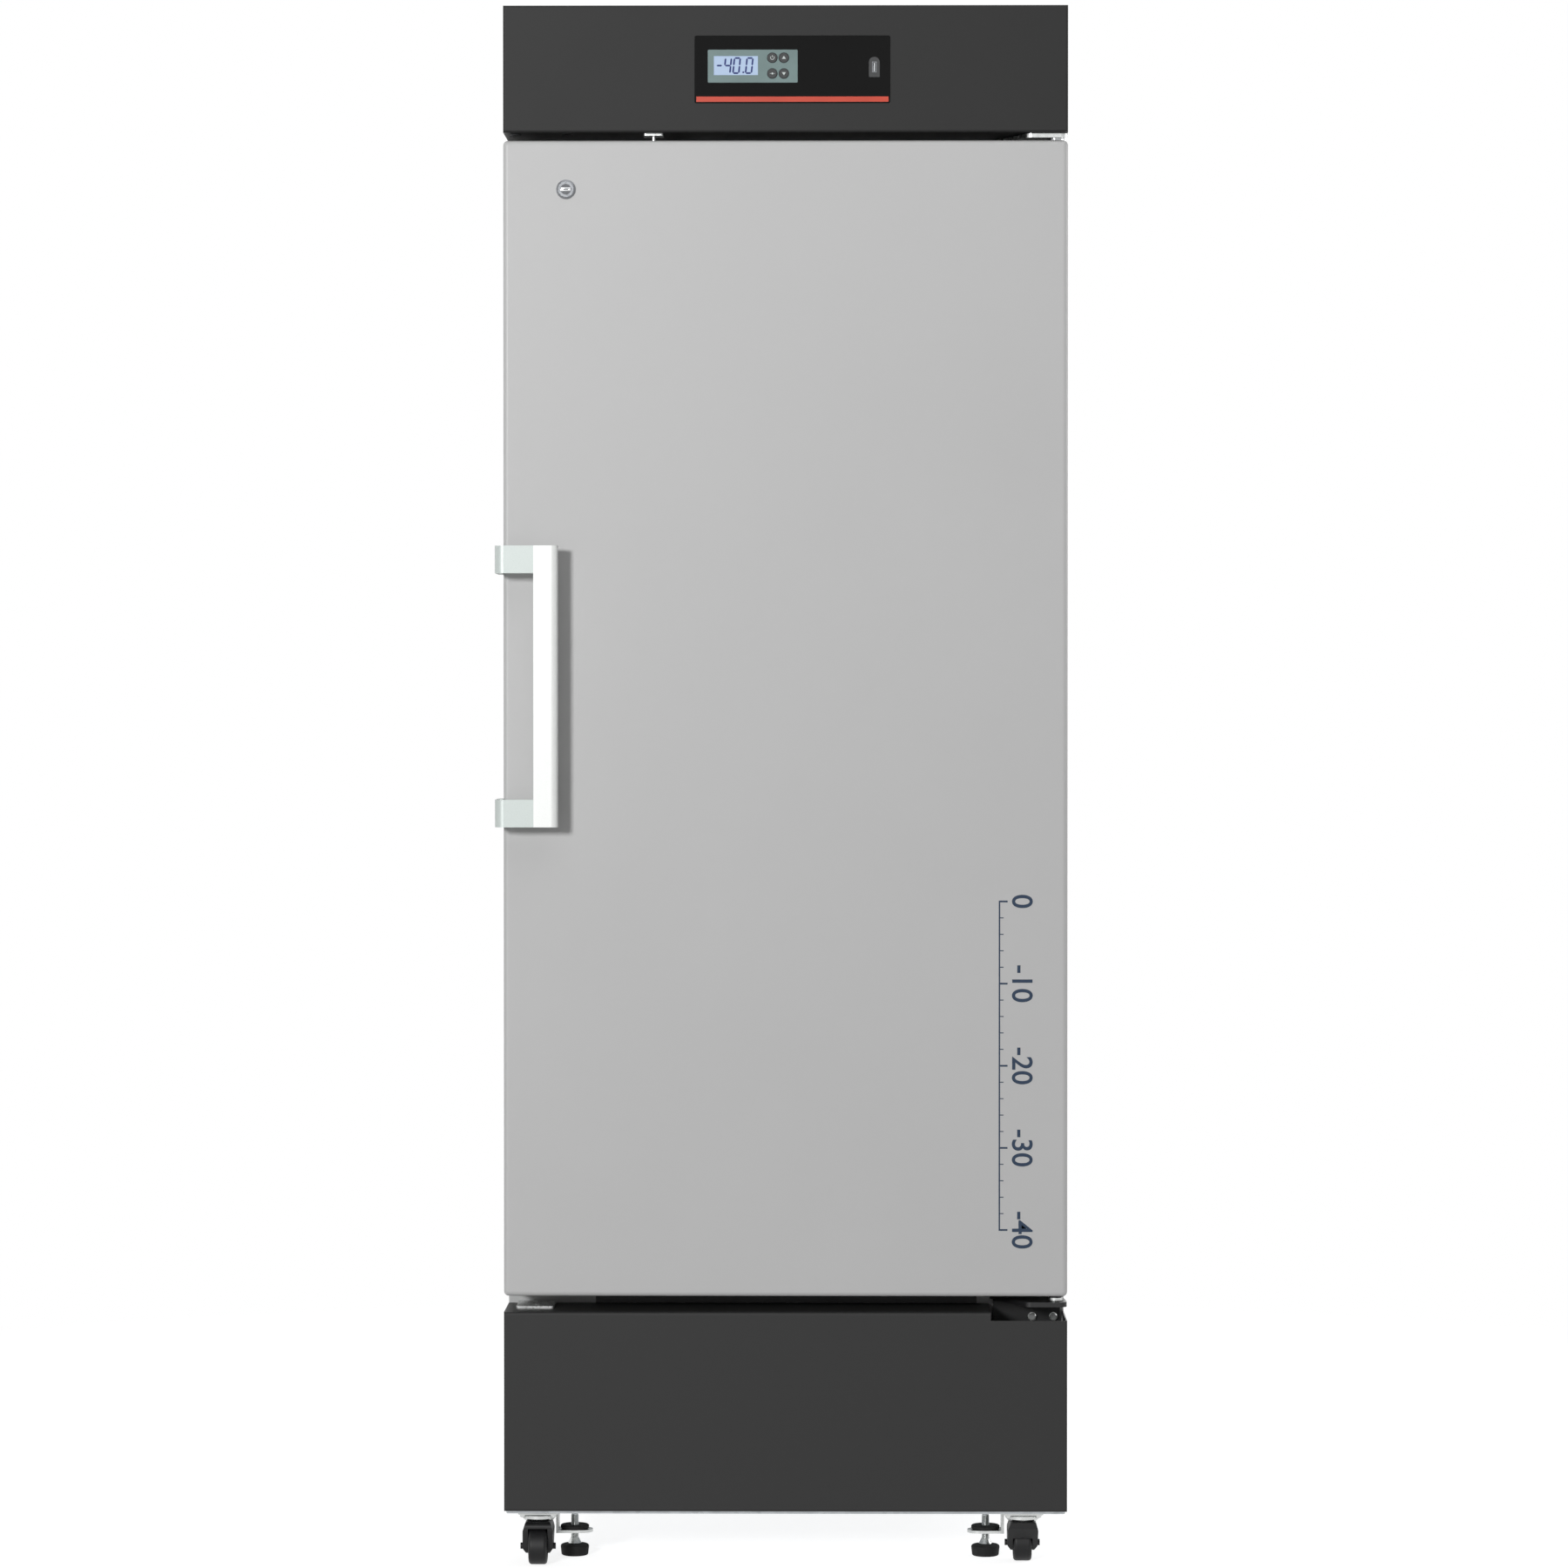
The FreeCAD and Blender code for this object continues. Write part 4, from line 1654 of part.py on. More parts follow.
def bent_tube(route):
    """Tube along straight runs joined by tangent arcs."""
    edges = []
    start = route[0]
    for before, corner, after in zip(route, route[1:], route[2:]):
        back = (before - corner).normalize()
        on = (after - corner).normalize()
        half_angle = back.getAngle(on) / 2
        reach = TUBE_BEND / math.tan(half_angle)
        inward = (back + on).normalize()
        bend_start, bend_end = corner + back * reach, corner + on * reach
        middle = corner + inward * (TUBE_BEND / math.sin(half_angle) - TUBE_BEND)
        edges.append(Part.LineSegment(start, bend_start).toShape())
        edges.append(Part.Arc(bend_start, middle, bend_end).toShape())
        start = bend_end
    edges.append(Part.LineSegment(start, route[-1]).toShape())
    spine = Part.Wire(edges)
    direction = (route[1] - route[0]).normalize()
    section = Part.Wire(Part.makeCircle(TUBE_RADIUS, route[0], direction))
    return spine.makePipeShell([section], True, False)


def refrigerant_tubing():
    """Discharge line to the condenser and suction line up into the foam."""
    shell_top = COMPRESSOR_TOP - COMPRESSOR_DOME
    stub_z = COMPRESSOR_LOW + COMPRESSOR_HEIGHT / 3
    side_x = COMPRESSOR_X - COMPRESSOR_RADIUS
    run_x = -CONDENSER_HALF_WIDTH - CONDENSER_END_PLATE - TUBE_BEND * 2
    inlet_y = CONDENSER_FRONT + CONDENSER_DEPTH / 2
    inlet_z = PAN_TOP + CONDENSER_HEIGHT
    discharge = bent_tube(
        [
            FreeCAD.Vector(side_x, COMPRESSOR_Y, stub_z),
            FreeCAD.Vector(run_x, COMPRESSOR_Y, stub_z),
            FreeCAD.Vector(run_x, inlet_y, stub_z + TUBE_BEND),
            FreeCAD.Vector(run_x, inlet_y, inlet_z),
            FreeCAD.Vector(-CONDENSER_HALF_WIDTH - CONDENSER_END_PLATE, inlet_y, inlet_z),
        ]
    )
    suction_y = COMPRESSOR_Y + COMPRESSOR_RADIUS
    wall_y = suction_y + TUBE_BEND * 2
    suction = bent_tube(
        [
            FreeCAD.Vector(COMPRESSOR_X, suction_y, shell_top - TUBE_BEND),
            FreeCAD.Vector(COMPRESSOR_X, wall_y, shell_top - TUBE_BEND),
            FreeCAD.Vector(COMPRESSOR_X, wall_y, FOAM_LOW),
        ]
    )
    return Part.makeCompound([discharge, suction])


# Rear cover


def louvre_places():
    """Middle of each louvre's mouth on the rear cover."""
    places = []
    for column in range(LOUVRE_COLUMNS):
        x = LOUVRE_CENTRE_X + (column - (LOUVRE_COLUMNS - 1) / 2) * LOUVRE_PITCH_X
        for row in range(LOUVRE_ROWS):
            places.append((x, BASE_TOP - LOUVRE_TOP_SET - row * LOUVRE_PITCH_Z))
    return places


def louvre(x, z, sheet_inset):
    """Pressed hood, closed at its ends and open below."""
    shrink = sheet_inset
    half = LOUVRE_LENGTH / 2 - shrink
    back = CABINET_DEPTH
    points = [
        (back - SHEET, z - LOUVRE_HEIGHT / 2),
        (back + LOUVRE_REACH - shrink, z - LOUVRE_HEIGHT / 2),
        (back + LOUVRE_REACH - shrink, z - LOUVRE_HEIGHT / 2 + LOUVRE_MOUTH - shrink),
        (back - SHEET / 2, z + LOUVRE_HEIGHT / 2 - shrink),
        (back - SHEET, z + LOUVRE_HEIGHT / 2 - shrink),
    ]
    return extrude(points, "x", x - half, x + half)


def rear_louvre_cover():
    """Removable cover of the machine room with pressed louvres and the inlet's cut-out."""
    x_range = (-FRAME_HALF, FRAME_HALF)
    sheet = block(x_range, (BACK_INNER, CABINET_DEPTH), (BASE_LOW + ARM_CORNER, BASE_TOP))
    hoods = [louvre(x, z, 0.0) for x, z in louvre_places()]
    hollows = [louvre(x, z, SHEET) for x, z in louvre_places()]
    half_x = INLET_BODY_WIDTH / 2 + INLET_HOLE_GAP
    half_z = INLET_BODY_HEIGHT / 2 + INLET_HOLE_GAP
    inlet_x = (INLET_X - half_x, INLET_X + half_x)
    inlet_z = (INLET_Z - half_z, INLET_Z + half_z)
    inlet_hole = block(inlet_x, (BACK_INNER, CABINET_DEPTH), inlet_z)
    return fuse(sheet, *hoods).cut([*hollows, inlet_hole])


def mains_inlet():
    """Appliance inlet: a flanged socket body with three blades inside."""
    half_x, half_z = INLET_WIDTH / 2, INLET_HEIGHT / 2
    flange_y = (CABINET_DEPTH, CABINET_DEPTH + INLET_FLANGE)
    flange_x = (INLET_X - half_x, INLET_X + half_x)
    flange_z = (INLET_Z - half_z, INLET_Z + half_z)
    flange = rounded_box(flange_x, flange_y, flange_z, "y", ARM_CORNER)
    body_x, body_z = INLET_BODY_WIDTH / 2, INLET_BODY_HEIGHT / 2
    body_y = (CABINET_DEPTH - INLET_BODY_DEPTH, CABINET_DEPTH)
    body = block((INLET_X - body_x, INLET_X + body_x), body_y, (INLET_Z - body_z, INLET_Z + body_z))
    wall = INLET_WALL
    corner = (body_x - wall) / 3
    hollow_points = [
        (INLET_X - body_x + wall, INLET_Z - body_z + wall),
        (INLET_X + body_x - wall, INLET_Z - body_z + wall),
        (INLET_X + body_x - wall, INLET_Z + body_z - wall - corner),
        (INLET_X + body_x - wall - corner, INLET_Z + body_z - wall),
        (INLET_X - body_x + wall + corner, INLET_Z + body_z - wall),
        (INLET_X - body_x + wall, INLET_Z + body_z - wall - corner),
    ]
    floor_y = body_y[0] + INLET_FLOOR
    hollow = extrude(hollow_points, "y", floor_y, flange_y[1])
    socket = fuse(flange, body).cut(hollow)
    pins = []
    for step, rise in ((-1, -INLET_PIN_DROP), (0, INLET_PIN_DROP), (1, -INLET_PIN_DROP)):
        pin_x, pin_z = INLET_X + step * INLET_PIN_PITCH, INLET_Z + rise
        half_width, half_thick = INLET_PIN_THICKNESS / 2, INLET_PIN_WIDTH / 2
        x_range = (pin_x - half_width, pin_x + half_width)
        z_range = (pin_z - half_thick, pin_z + half_thick)
        pins.append(block(x_range, (floor_y, floor_y + INLET_PIN_LENGTH), z_range))
    return fuse(socket, *pins)


def sub_parts():
    """Every sub-part's name and shape, in cabinet coordinates."""
    parts = {
        "side_panel_left": side_panel(-1),
        "side_panel_right": side_panel(1),
        "top_panel": top_panel(),
        "back_panel": back_panel(),
        "front_frame": front_frame(),
        "inner_liner": inner_liner(),
        "cabinet_foam": cabinet_foam(),
        "header_cover": header_cover(),
        "base_front_panel": base_front_panel(),
        "base_pan": base_pan(),
        "rear_louvre_cover": rear_louvre_cover(),
        "mains_inlet": mains_inlet(),
        "upper_hinge_bracket": upper_hinge_bracket(),
        "lower_hinge_bracket": lower_hinge_bracket(),
        "spare_hinge_plate": spare_hinge_plate(),
        "door_skin": door_skin(),
        "door_foam": door_foam(),
        "door_liner": door_liner(),
        "door_gasket": door_gasket(),
        "door_bushes": door_bushes(),
        "handle_bar": handle_bar(),
        "handle_brackets": handle_brackets(),
        "lock_barrel": lock_barrel(),
        "lock_plug": lock_plug(),
        "lock_bolt": lock_bolt(),
        "door_switch_body": door_switch_body(),
        "door_switch_plunger": door_switch_plunger(),
        "control_plate": control_plate(),
        "accent_strip": accent_strip(),
        "display_bezel": display_bezel(),
        "display_glass": display_glass(),
        "controller_board": controller_board(),
        "usb_port": usb_port(),
        "caster_plates": caster_plates(),
        "levelling_brackets": levelling_brackets(),
        "condenser": condenser(),
        "fan_blades": fan_blades(),
        "fan_motor": fan_motor(),
        "compressor": compressor(),
        "compressor_mounts": compressor_mounts(),
        "refrigerant_tubing": refrigerant_tubing(),
    }
    for number, level in enumerate(shelf_levels(), start=1):
        parts[f"shelf_{number}"] = shelf(level)
    for number, (key_x, key_z) in enumerate(key_places(), start=1):
        parts[f"panel_key_{number}"] = panel_key(key_x, key_z)
    for name, centre_x, centre_y, trail_side in caster_places():
        parts[f"caster_fork_{name}"] = caster_fork(centre_x, centre_y, trail_side)
        parts[f"caster_wheel_{name}"] = caster_wheel(centre_x, centre_y, trail_side)
    for name, foot_x in (("left", FOOT_LEFT_X), ("right", FOOT_RIGHT_X)):
        parts[f"foot_pad_{name}"] = foot_pad(foot_x)
        parts[f"foot_screw_{name}"] = foot_screw(foot_x)
    return parts


def main():
    """Write every sub-part in the frame of the finished freezer."""
    os.makedirs("parts", exist_ok=True)
    for name, shape in sub_parts().items():
        shape.translate(ORIGIN_SHIFT)
        shape.exportStep(f"parts/{name}.step")


main()
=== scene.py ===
"""Studio view of an upright laboratory freezer.

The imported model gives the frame: panels, door, hinges, casters and machine room. This script gives each
of them the finish of the real material, adds the small fittings and marks, and sets up floor, lights and
camera. Sizes are in cabinet millimetres, as in the part's source, and are turned to the frame's metres
in one place.
"""

import logging
import math
from dataclasses import dataclass, field
from enum import Enum

import bmesh
import bpy
from mathutils import Matrix, Vector


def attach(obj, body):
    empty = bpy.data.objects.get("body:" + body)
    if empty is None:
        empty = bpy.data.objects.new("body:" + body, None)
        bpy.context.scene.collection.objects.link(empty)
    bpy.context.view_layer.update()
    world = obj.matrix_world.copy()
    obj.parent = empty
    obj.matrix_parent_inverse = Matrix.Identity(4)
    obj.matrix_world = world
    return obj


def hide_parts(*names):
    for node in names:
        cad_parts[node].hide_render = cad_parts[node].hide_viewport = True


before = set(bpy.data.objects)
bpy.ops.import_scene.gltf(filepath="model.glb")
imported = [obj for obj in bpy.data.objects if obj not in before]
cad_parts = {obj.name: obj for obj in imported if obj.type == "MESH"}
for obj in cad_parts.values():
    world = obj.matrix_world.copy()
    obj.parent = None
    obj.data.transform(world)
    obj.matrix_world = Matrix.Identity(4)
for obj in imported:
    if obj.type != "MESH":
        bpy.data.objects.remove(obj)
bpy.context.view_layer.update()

LOG = logging.getLogger("freezer")
MM = 0.001
CABINET_SHIFT = Vector((4.0, -264.0, 0.0))
SMOOTH_ANGLE = math.radians(35.0)
ROUND_STEPS = 48
BEVEL_STEPS = 2

Colour = tuple[float, float, float, float]
Pair = tuple[float, float]
Place = tuple[float, float, float]


class Axis(Enum):
    """Direction along which a form is extruded or turned, as the index of its coordinate."""

    X = 0
    Y = 1
    Z = 2


class Side(Enum):
    """Left or right of someone facing the door, as the sign of x."""

    LEFT = -1
    RIGHT = 1


def linear(code: str) -> Colour:
    """Turns an sRGB hex colour into linear values.

    Args:
        code: colour written as "#rrggbb".

    Returns:
        Linear red, green, blue and an alpha of one.
    """
    levels = [int(code[place : place + 2], 16) / 255.0 for place in (1, 3, 5)]
    red, green, blue = [
        level / 12.92 if level <= 0.04045 else ((level + 0.055) / 1.055) ** 2.4 for level in levels
    ]
    return red, green, blue, 1.0


def per_metre(size_mm: float) -> float:
    """Gives the texture scale whose grains are size_mm wide in the frame's metres."""
    return 1.0 / (size_mm * MM)


def add_node(
    tree: bpy.types.NodeTree,
    kind: str,
    inputs: dict[str | int, object] | None = None,
    **settings: object,
) -> bpy.types.Node:
    """Adds one shader node with its settings, values and links.

    Args:
        tree: node tree that gets the node.
        kind: Blender's name of the node's type.
        inputs: input name or index to a value, a socket, or a node whose first output is linked.
        **settings: properties of the node itself.

    Returns:
        The new node.
    """
    node = tree.nodes.new(kind)
    for name, value in settings.items():
        setattr(node, name, value)
    for name, value in (inputs or {}).items():
        if isinstance(value, bpy.types.Node):
            tree.links.new(value.outputs[0], node.inputs[name])
        elif isinstance(value, bpy.types.NodeSocket):
            tree.links.new(value, node.inputs[name])
        else:
            node.inputs[name].default_value = value
    return node


@dataclass(frozen=True)
class Finish:
    """A real material with the surface its making gives it.

    Args:
        name: common name of the material, which the Blender material carries too.
        colour: main colour as sRGB hex.
    """

    name: str
    colour: str

    def material(self) -> bpy.types.Material:
        """Returns the Blender material of this finish, made once."""
        known = bpy.data.materials.get(self.name)
        if known is not None:
            return known
        made = bpy.data.materials.new(self.name)
        made.use_nodes = True
        made.node_tree.nodes.clear()
        place = add_node(made.node_tree, "ShaderNodeTexCoord").outputs["Object"]
        shader = self.shade(made.node_tree, place)
        add_node(made.node_tree, "ShaderNodeOutputMaterial", {"Surface": shader})
        return made

    def shade(self, tree: bpy.types.NodeTree, place: bpy.types.NodeSocket) -> bpy.types.Node:
        """Builds the surface.

        Args:
            tree: node tree of the material.
            place: position on the object, in the frame's metres.

        Returns:
            The shader node that goes to the output.
        """
        raise NotImplementedError

    def tones(
        self, tree: bpy.types.NodeTree, amount: object, low: float, high: float
    ) -> bpy.types.NodeSocket:
        """Spreads the main colour between two brightnesses.

        Args:
            tree: node tree of the material.
            amount: socket or node from 0 to 1 that chooses between the two.
            low: brightness at 0, as a share of the main colour.
            high: brightness at 1.

        Returns:
            The colour socket.
        """
        red, green, blue, _ = linear(self.colour)
        dark = (red * low, green * low, blue * low, 1.0)
        light = (min(red * high, 1.0), min(green * high, 1.0), min(blue * high, 1.0), 1.0)
        blend = add_node(tree, "ShaderNodeMix", {0: amount, 6: dark, 7: light}, data_type="RGBA")
        return blend.outputs[2]


@dataclass(frozen=True)
class PowderCoat(Finish):
    """Steel sheet under baked powder paint: even colour, faint orange peel, soft broken highlights."""

    gloss_roughness: float = 0.42
    peel_mm: float = 2.2
    peel_depth_mm: float = 0.012
    sheet_wave_mm: float = 240.0
    specular: float = 0.45

    def shade(self, tree: bpy.types.NodeTree, place: bpy.types.NodeSocket) -> bpy.types.Node:
        """Peel as bump, and slow clouds of tone and roughness from the oven."""
        peel = add_node(
            tree, "ShaderNodeTexNoise", {"Vector": place, "Scale": per_metre(self.peel_mm), "Detail": 1.0}
        )
        cloud = add_node(
            tree,
            "ShaderNodeTexNoise",
            {"Vector": place, "Scale": per_metre(self.sheet_wave_mm), "Detail": 3.0},
        )
        roughness = add_node(
            tree,
            "ShaderNodeMapRange",
            {"Value": cloud, "To Min": self.gloss_roughness - 0.06, "To Max": self.gloss_roughness + 0.06},
        )
        relief = add_node(
            tree, "ShaderNodeBump", {"Height": peel, "Strength": 1.0, "Distance": self.peel_depth_mm * MM}
        )
        return add_node(
            tree,
            "ShaderNodeBsdfPrincipled",
            {
                "Base Color": self.tones(tree, cloud, 0.975, 1.02),
                "Roughness": roughness,
                "Specular IOR Level": self.specular,
                "Normal": relief,
            },
        )


@dataclass(frozen=True)
class HotDipZinc(Finish):
    """Galvanised sheet: leaf-like crystals that each throw light their own way, dulled by handling."""

    spangle_mm: float = 9.0
    warp_mm: float = 14.0
    warp_reach: float = 0.006
    film_mm: float = 160.0
    film: str = "#a9adb0"

    def shade(self, tree: bpy.types.NodeTree, place: bpy.types.NodeSocket) -> bpy.types.Node:
        """Crystals as cells of their own tone and roughness, with a faint grey film over them."""
        bent = add_node(
            tree, "ShaderNodeTexNoise", {"Vector": place, "Scale": per_metre(self.warp_mm), "Detail": 2.0}
        )
        warp = add_node(
            tree,
            "ShaderNodeVectorMath",
            {0: bent.outputs["Color"], 1: (self.warp_reach, self.warp_reach, self.warp_reach)},
            operation="MULTIPLY",
        )
        moved = add_node(tree, "ShaderNodeVectorMath", {0: place, 1: warp}, operation="ADD")
        crystal = add_node(
            tree, "ShaderNodeTexVoronoi", {"Vector": moved, "Scale": per_metre(self.spangle_mm)}, feature="F1"
        )
        tone = add_node(tree, "ShaderNodeSeparateColor", {"Color": crystal.outputs["Color"]})
        film = add_node(
            tree, "ShaderNodeTexNoise", {"Vector": place, "Scale": per_metre(self.film_mm), "Detail": 4.0}
        )
        roughness = add_node(
            tree, "ShaderNodeMapRange", {"Value": tone.outputs[1], "To Min": 0.34, "To Max": 0.52}
        )
        relief = add_node(
            tree,
            "ShaderNodeBump",
            {"Height": crystal.outputs["Distance"], "Strength": 0.25, "Distance": 0.02 * MM},
        )
        crystals = self.tones(tree, tone.outputs[0], 0.86, 1.12)
        dulled = add_node(
            tree,
            "ShaderNodeMix",
            {0: film, 6: crystals, 7: linear(self.film)},
            data_type="RGBA",
        )
        return add_node(
            tree,
            "ShaderNodeBsdfPrincipled",
            {"Base Color": dulled.outputs[2], "Metallic": 0.9, "Roughness": roughness, "Normal": relief},
        )


@dataclass(frozen=True)
class BrightZincPlate(Finish):
    """Stamped steel with a bright zinc plating: clear reflections, slightly milky and blue."""

    roughness: float = 0.27
    milk_mm: float = 6.0
    mark_mm: float = 0.8

    def shade(self, tree: bpy.types.NodeTree, place: bpy.types.NodeSocket) -> bpy.types.Node:
        """Milky clouds in the plating and the fine rolling marks of the sheet below."""
        milk = add_node(
            tree, "ShaderNodeTexNoise", {"Vector": place, "Scale": per_metre(self.milk_mm), "Detail": 4.0}
        )
        marks = add_node(
            tree, "ShaderNodeTexNoise", {"Vector": place, "Scale": per_metre(self.mark_mm), "Detail": 2.0}
        )
        roughness = add_node(
            tree,
            "ShaderNodeMapRange",
            {"Value": milk, "To Min": self.roughness - 0.07, "To Max": self.roughness + 0.1},
        )
        relief = add_node(tree, "ShaderNodeBump", {"Height": marks, "Strength": 0.5, "Distance": 0.01 * MM})
        return add_node(
            tree,
            "ShaderNodeBsdfPrincipled",
            {
                "Base Color": self.tones(tree, milk, 0.9, 1.08),
                "Metallic": 1.0,
                "Roughness": roughness,
                "Normal": relief,
            },
        )


@dataclass(frozen=True)
class BrushedStainless(Finish):
    """Cold rolled stainless sheet with a belt-ground face: long fine lines that stretch highlights."""

    line_mm: float = 0.9
    run_mm: float = 60.0

    def shade(self, tree: bpy.types.NodeTree, place: bpy.types.NodeSocket) -> bpy.types.Node:
        """Grinding lines from noise stretched along x; real lines of 0.1 mm are drawn coarser to show."""
        stretch = add_node(
            tree,
            "ShaderNodeVectorMath",
            {0: place, 1: (per_metre(self.run_mm), per_metre(self.line_mm), per_metre(self.line_mm))},
            operation="MULTIPLY",
        )
        lines = add_node(tree, "ShaderNodeTexNoise", {"Vector": stretch, "Scale": 1.0, "Detail": 3.0})
        roughness = add_node(tree, "ShaderNodeMapRange", {"Value": lines, "To Min": 0.26, "To Max": 0.44})
        relief = add_node(tree, "ShaderNodeBump", {"Height": lines, "Strength": 0.35, "Distance": 0.015 * MM})
        return add_node(
            tree,
            "ShaderNodeBsdfPrincipled",
            {
                "Base Color": self.tones(tree, lines, 0.88, 1.06),
                "Metallic": 1.0,
                "Roughness": roughness,
                "Anisotropic": 0.45,
                "Normal": relief,
            },
        )


@dataclass(frozen=True)
class SilverLacquer(Finish):
    """Moulded or extruded part under a fine metallic lacquer: pale satin with a tiny sparkle of flakes."""

    roughness: float = 0.36
    metallic: float = 0.15
    flake_mm: float = 0.5
    flow_mm: float = 5.0

    def shade(self, tree: bpy.types.NodeTree, place: bpy.types.NodeSocket) -> bpy.types.Node:
        """Flakes as small cells; real flakes of 0.03 mm are drawn coarser so that they still show."""
        flakes = add_node(tree, "ShaderNodeTexVoronoi", {"Vector": place, "Scale": per_metre(self.flake_mm)})
        tone = add_node(tree, "ShaderNodeSeparateColor", {"Color": flakes.outputs["Color"]})
        flow = add_node(
            tree, "ShaderNodeTexNoise", {"Vector": place, "Scale": per_metre(self.flow_mm), "Detail": 2.0}
        )
        roughness = add_node(
            tree,
            "ShaderNodeMapRange",
            {"Value": tone.outputs[1], "To Min": self.roughness - 0.05, "To Max": self.roughness + 0.05},
        )
        relief = add_node(tree, "ShaderNodeBump", {"Height": flow, "Strength": 0.4, "Distance": 0.02 * MM})
        return add_node(
            tree,
            "ShaderNodeBsdfPrincipled",
            {
                "Base Color": self.tones(tree, tone.outputs[0], 0.97, 1.03),
                "Metallic": self.metallic,
                "Roughness": roughness,
                "Normal": relief,
            },
        )


@dataclass(frozen=True)
class ChromePlate(Finish):
    """Polished brass or steel under chrome: near-mirror, with fine wiping marks from keys and cloths."""

    roughness: float = 0.1
    mark_mm: float = 2.5

    def shade(self, tree: bpy.types.NodeTree, place: bpy.types.NodeSocket) -> bpy.types.Node:
        """Wiping marks as a slow change of roughness."""
        marks = add_node(
            tree, "ShaderNodeTexNoise", {"Vector": place, "Scale": per_metre(self.mark_mm), "Detail": 5.0}
        )
        roughness = add_node(
            tree,
            "ShaderNodeMapRange",
            {"Value": marks, "To Min": self.roughness * 0.6, "To Max": self.roughness * 1.8},
        )
        relief = add_node(tree, "ShaderNodeBump", {"Height": marks, "Strength": 0.2, "Distance": 0.01 * MM})
        return add_node(
            tree,
            "ShaderNodeBsdfPrincipled",
            {
                "Base Color": self.tones(tree, marks, 0.94, 1.04),
                "Metallic": 1.0,
                "Roughness": roughness,
                "Normal": relief,
            },
        )


@dataclass(frozen=True)
class MouldedPlastic(Finish):
    """Injection moulded plastic with an eroded mould face: fine even grain that kills hard highlights."""

    roughness: float = 0.45
    grain_mm: float = 0.7
    grain_depth_mm: float = 0.03
    flow_mm: float = 35.0
    specular: float = 0.4

    def shade(self, tree: bpy.types.NodeTree, place: bpy.types.NodeSocket) -> bpy.types.Node:
        """Grain as bump, and faint flow clouds from the mould."""
        grain = add_node(
            tree, "ShaderNodeTexNoise", {"Vector": place, "Scale": per_metre(self.grain_mm), "Detail": 2.0}
        )
        flow = add_node(
            tree, "ShaderNodeTexNoise", {"Vector": place, "Scale": per_metre(self.flow_mm), "Detail": 2.0}
        )
        roughness = add_node(
            tree,
            "ShaderNodeMapRange",
            {"Value": flow, "To Min": self.roughness - 0.07, "To Max": self.roughness + 0.07},
        )
        relief = add_node(
            tree, "ShaderNodeBump", {"Height": grain, "Strength": 0.6, "Distance": self.grain_depth_mm * MM}
        )
        return add_node(
            tree,
            "ShaderNodeBsdfPrincipled",
            {
                "Base Color": self.tones(tree, flow, 0.85, 1.15),
                "Roughness": roughness,
                "Specular IOR Level": self.specular,
                "Normal": relief,
            },
        )


@dataclass(frozen=True)
class GlossAcrylic(Finish):
    """Cast acrylic face plate, printed from behind: deep colour under a clear, slightly wavy gloss."""

    roughness: float = 0.12
    specular: float = 0.12
    wave_mm: float = 70.0
    wipe_mm: float = 9.0

    def shade(self, tree: bpy.types.NodeTree, place: bpy.types.NodeSocket) -> bpy.types.Node:
        """Wipe marks in the gloss and the slow wave of a cast sheet."""
        wave = add_node(
            tree, "ShaderNodeTexNoise", {"Vector": place, "Scale": per_metre(self.wave_mm), "Detail": 1.0}
        )
        wipes = add_node(
            tree, "ShaderNodeTexNoise", {"Vector": place, "Scale": per_metre(self.wipe_mm), "Detail": 5.0}
        )
        roughness = add_node(
            tree,
            "ShaderNodeMapRange",
            {"Value": wipes, "To Min": self.roughness * 0.7, "To Max": self.roughness * 1.5},
        )
        relief = add_node(tree, "ShaderNodeBump", {"Height": wave, "Strength": 0.3, "Distance": 0.1 * MM})
        return add_node(
            tree,
            "ShaderNodeBsdfPrincipled",
            {
                "Base Color": self.tones(tree, wave, 0.92, 1.08),
                "Roughness": roughness,
                "Specular IOR Level": self.specular,
                "Normal": relief,
            },
        )


@dataclass(frozen=True)
class LitPane(Finish):
    """Display pane with a light guide behind it: an even pale glow with a fine dot mesh."""

    dot_mm: float = 0.8
    fall_mm: float = 30.0
    glow: float = 0.18

    def shade(self, tree: bpy.types.NodeTree, place: bpy.types.NodeSocket) -> bpy.types.Node:
        """Dot mesh of the light guide as faint tone, under a glossy face."""
        dots = add_node(
            tree,
            "ShaderNodeTexVoronoi",
            {"Vector": place, "Scale": per_metre(self.dot_mm), "Randomness": 0.0},
            feature="F1",
        )
        fall = add_node(
            tree, "ShaderNodeTexNoise", {"Vector": place, "Scale": per_metre(self.fall_mm), "Detail": 1.0}
        )
        roughness = add_node(tree, "ShaderNodeMapRange", {"Value": fall, "To Min": 0.12, "To Max": 0.2})
        return add_node(
            tree,
            "ShaderNodeBsdfPrincipled",
            {
                "Base Color": self.tones(tree, dots.outputs["Distance"], 0.95, 1.03),
                "Roughness": roughness,
                "Specular IOR Level": 0.35,
                "Emission Color": linear(self.colour),
                "Emission Strength": self.glow,
            },
        )


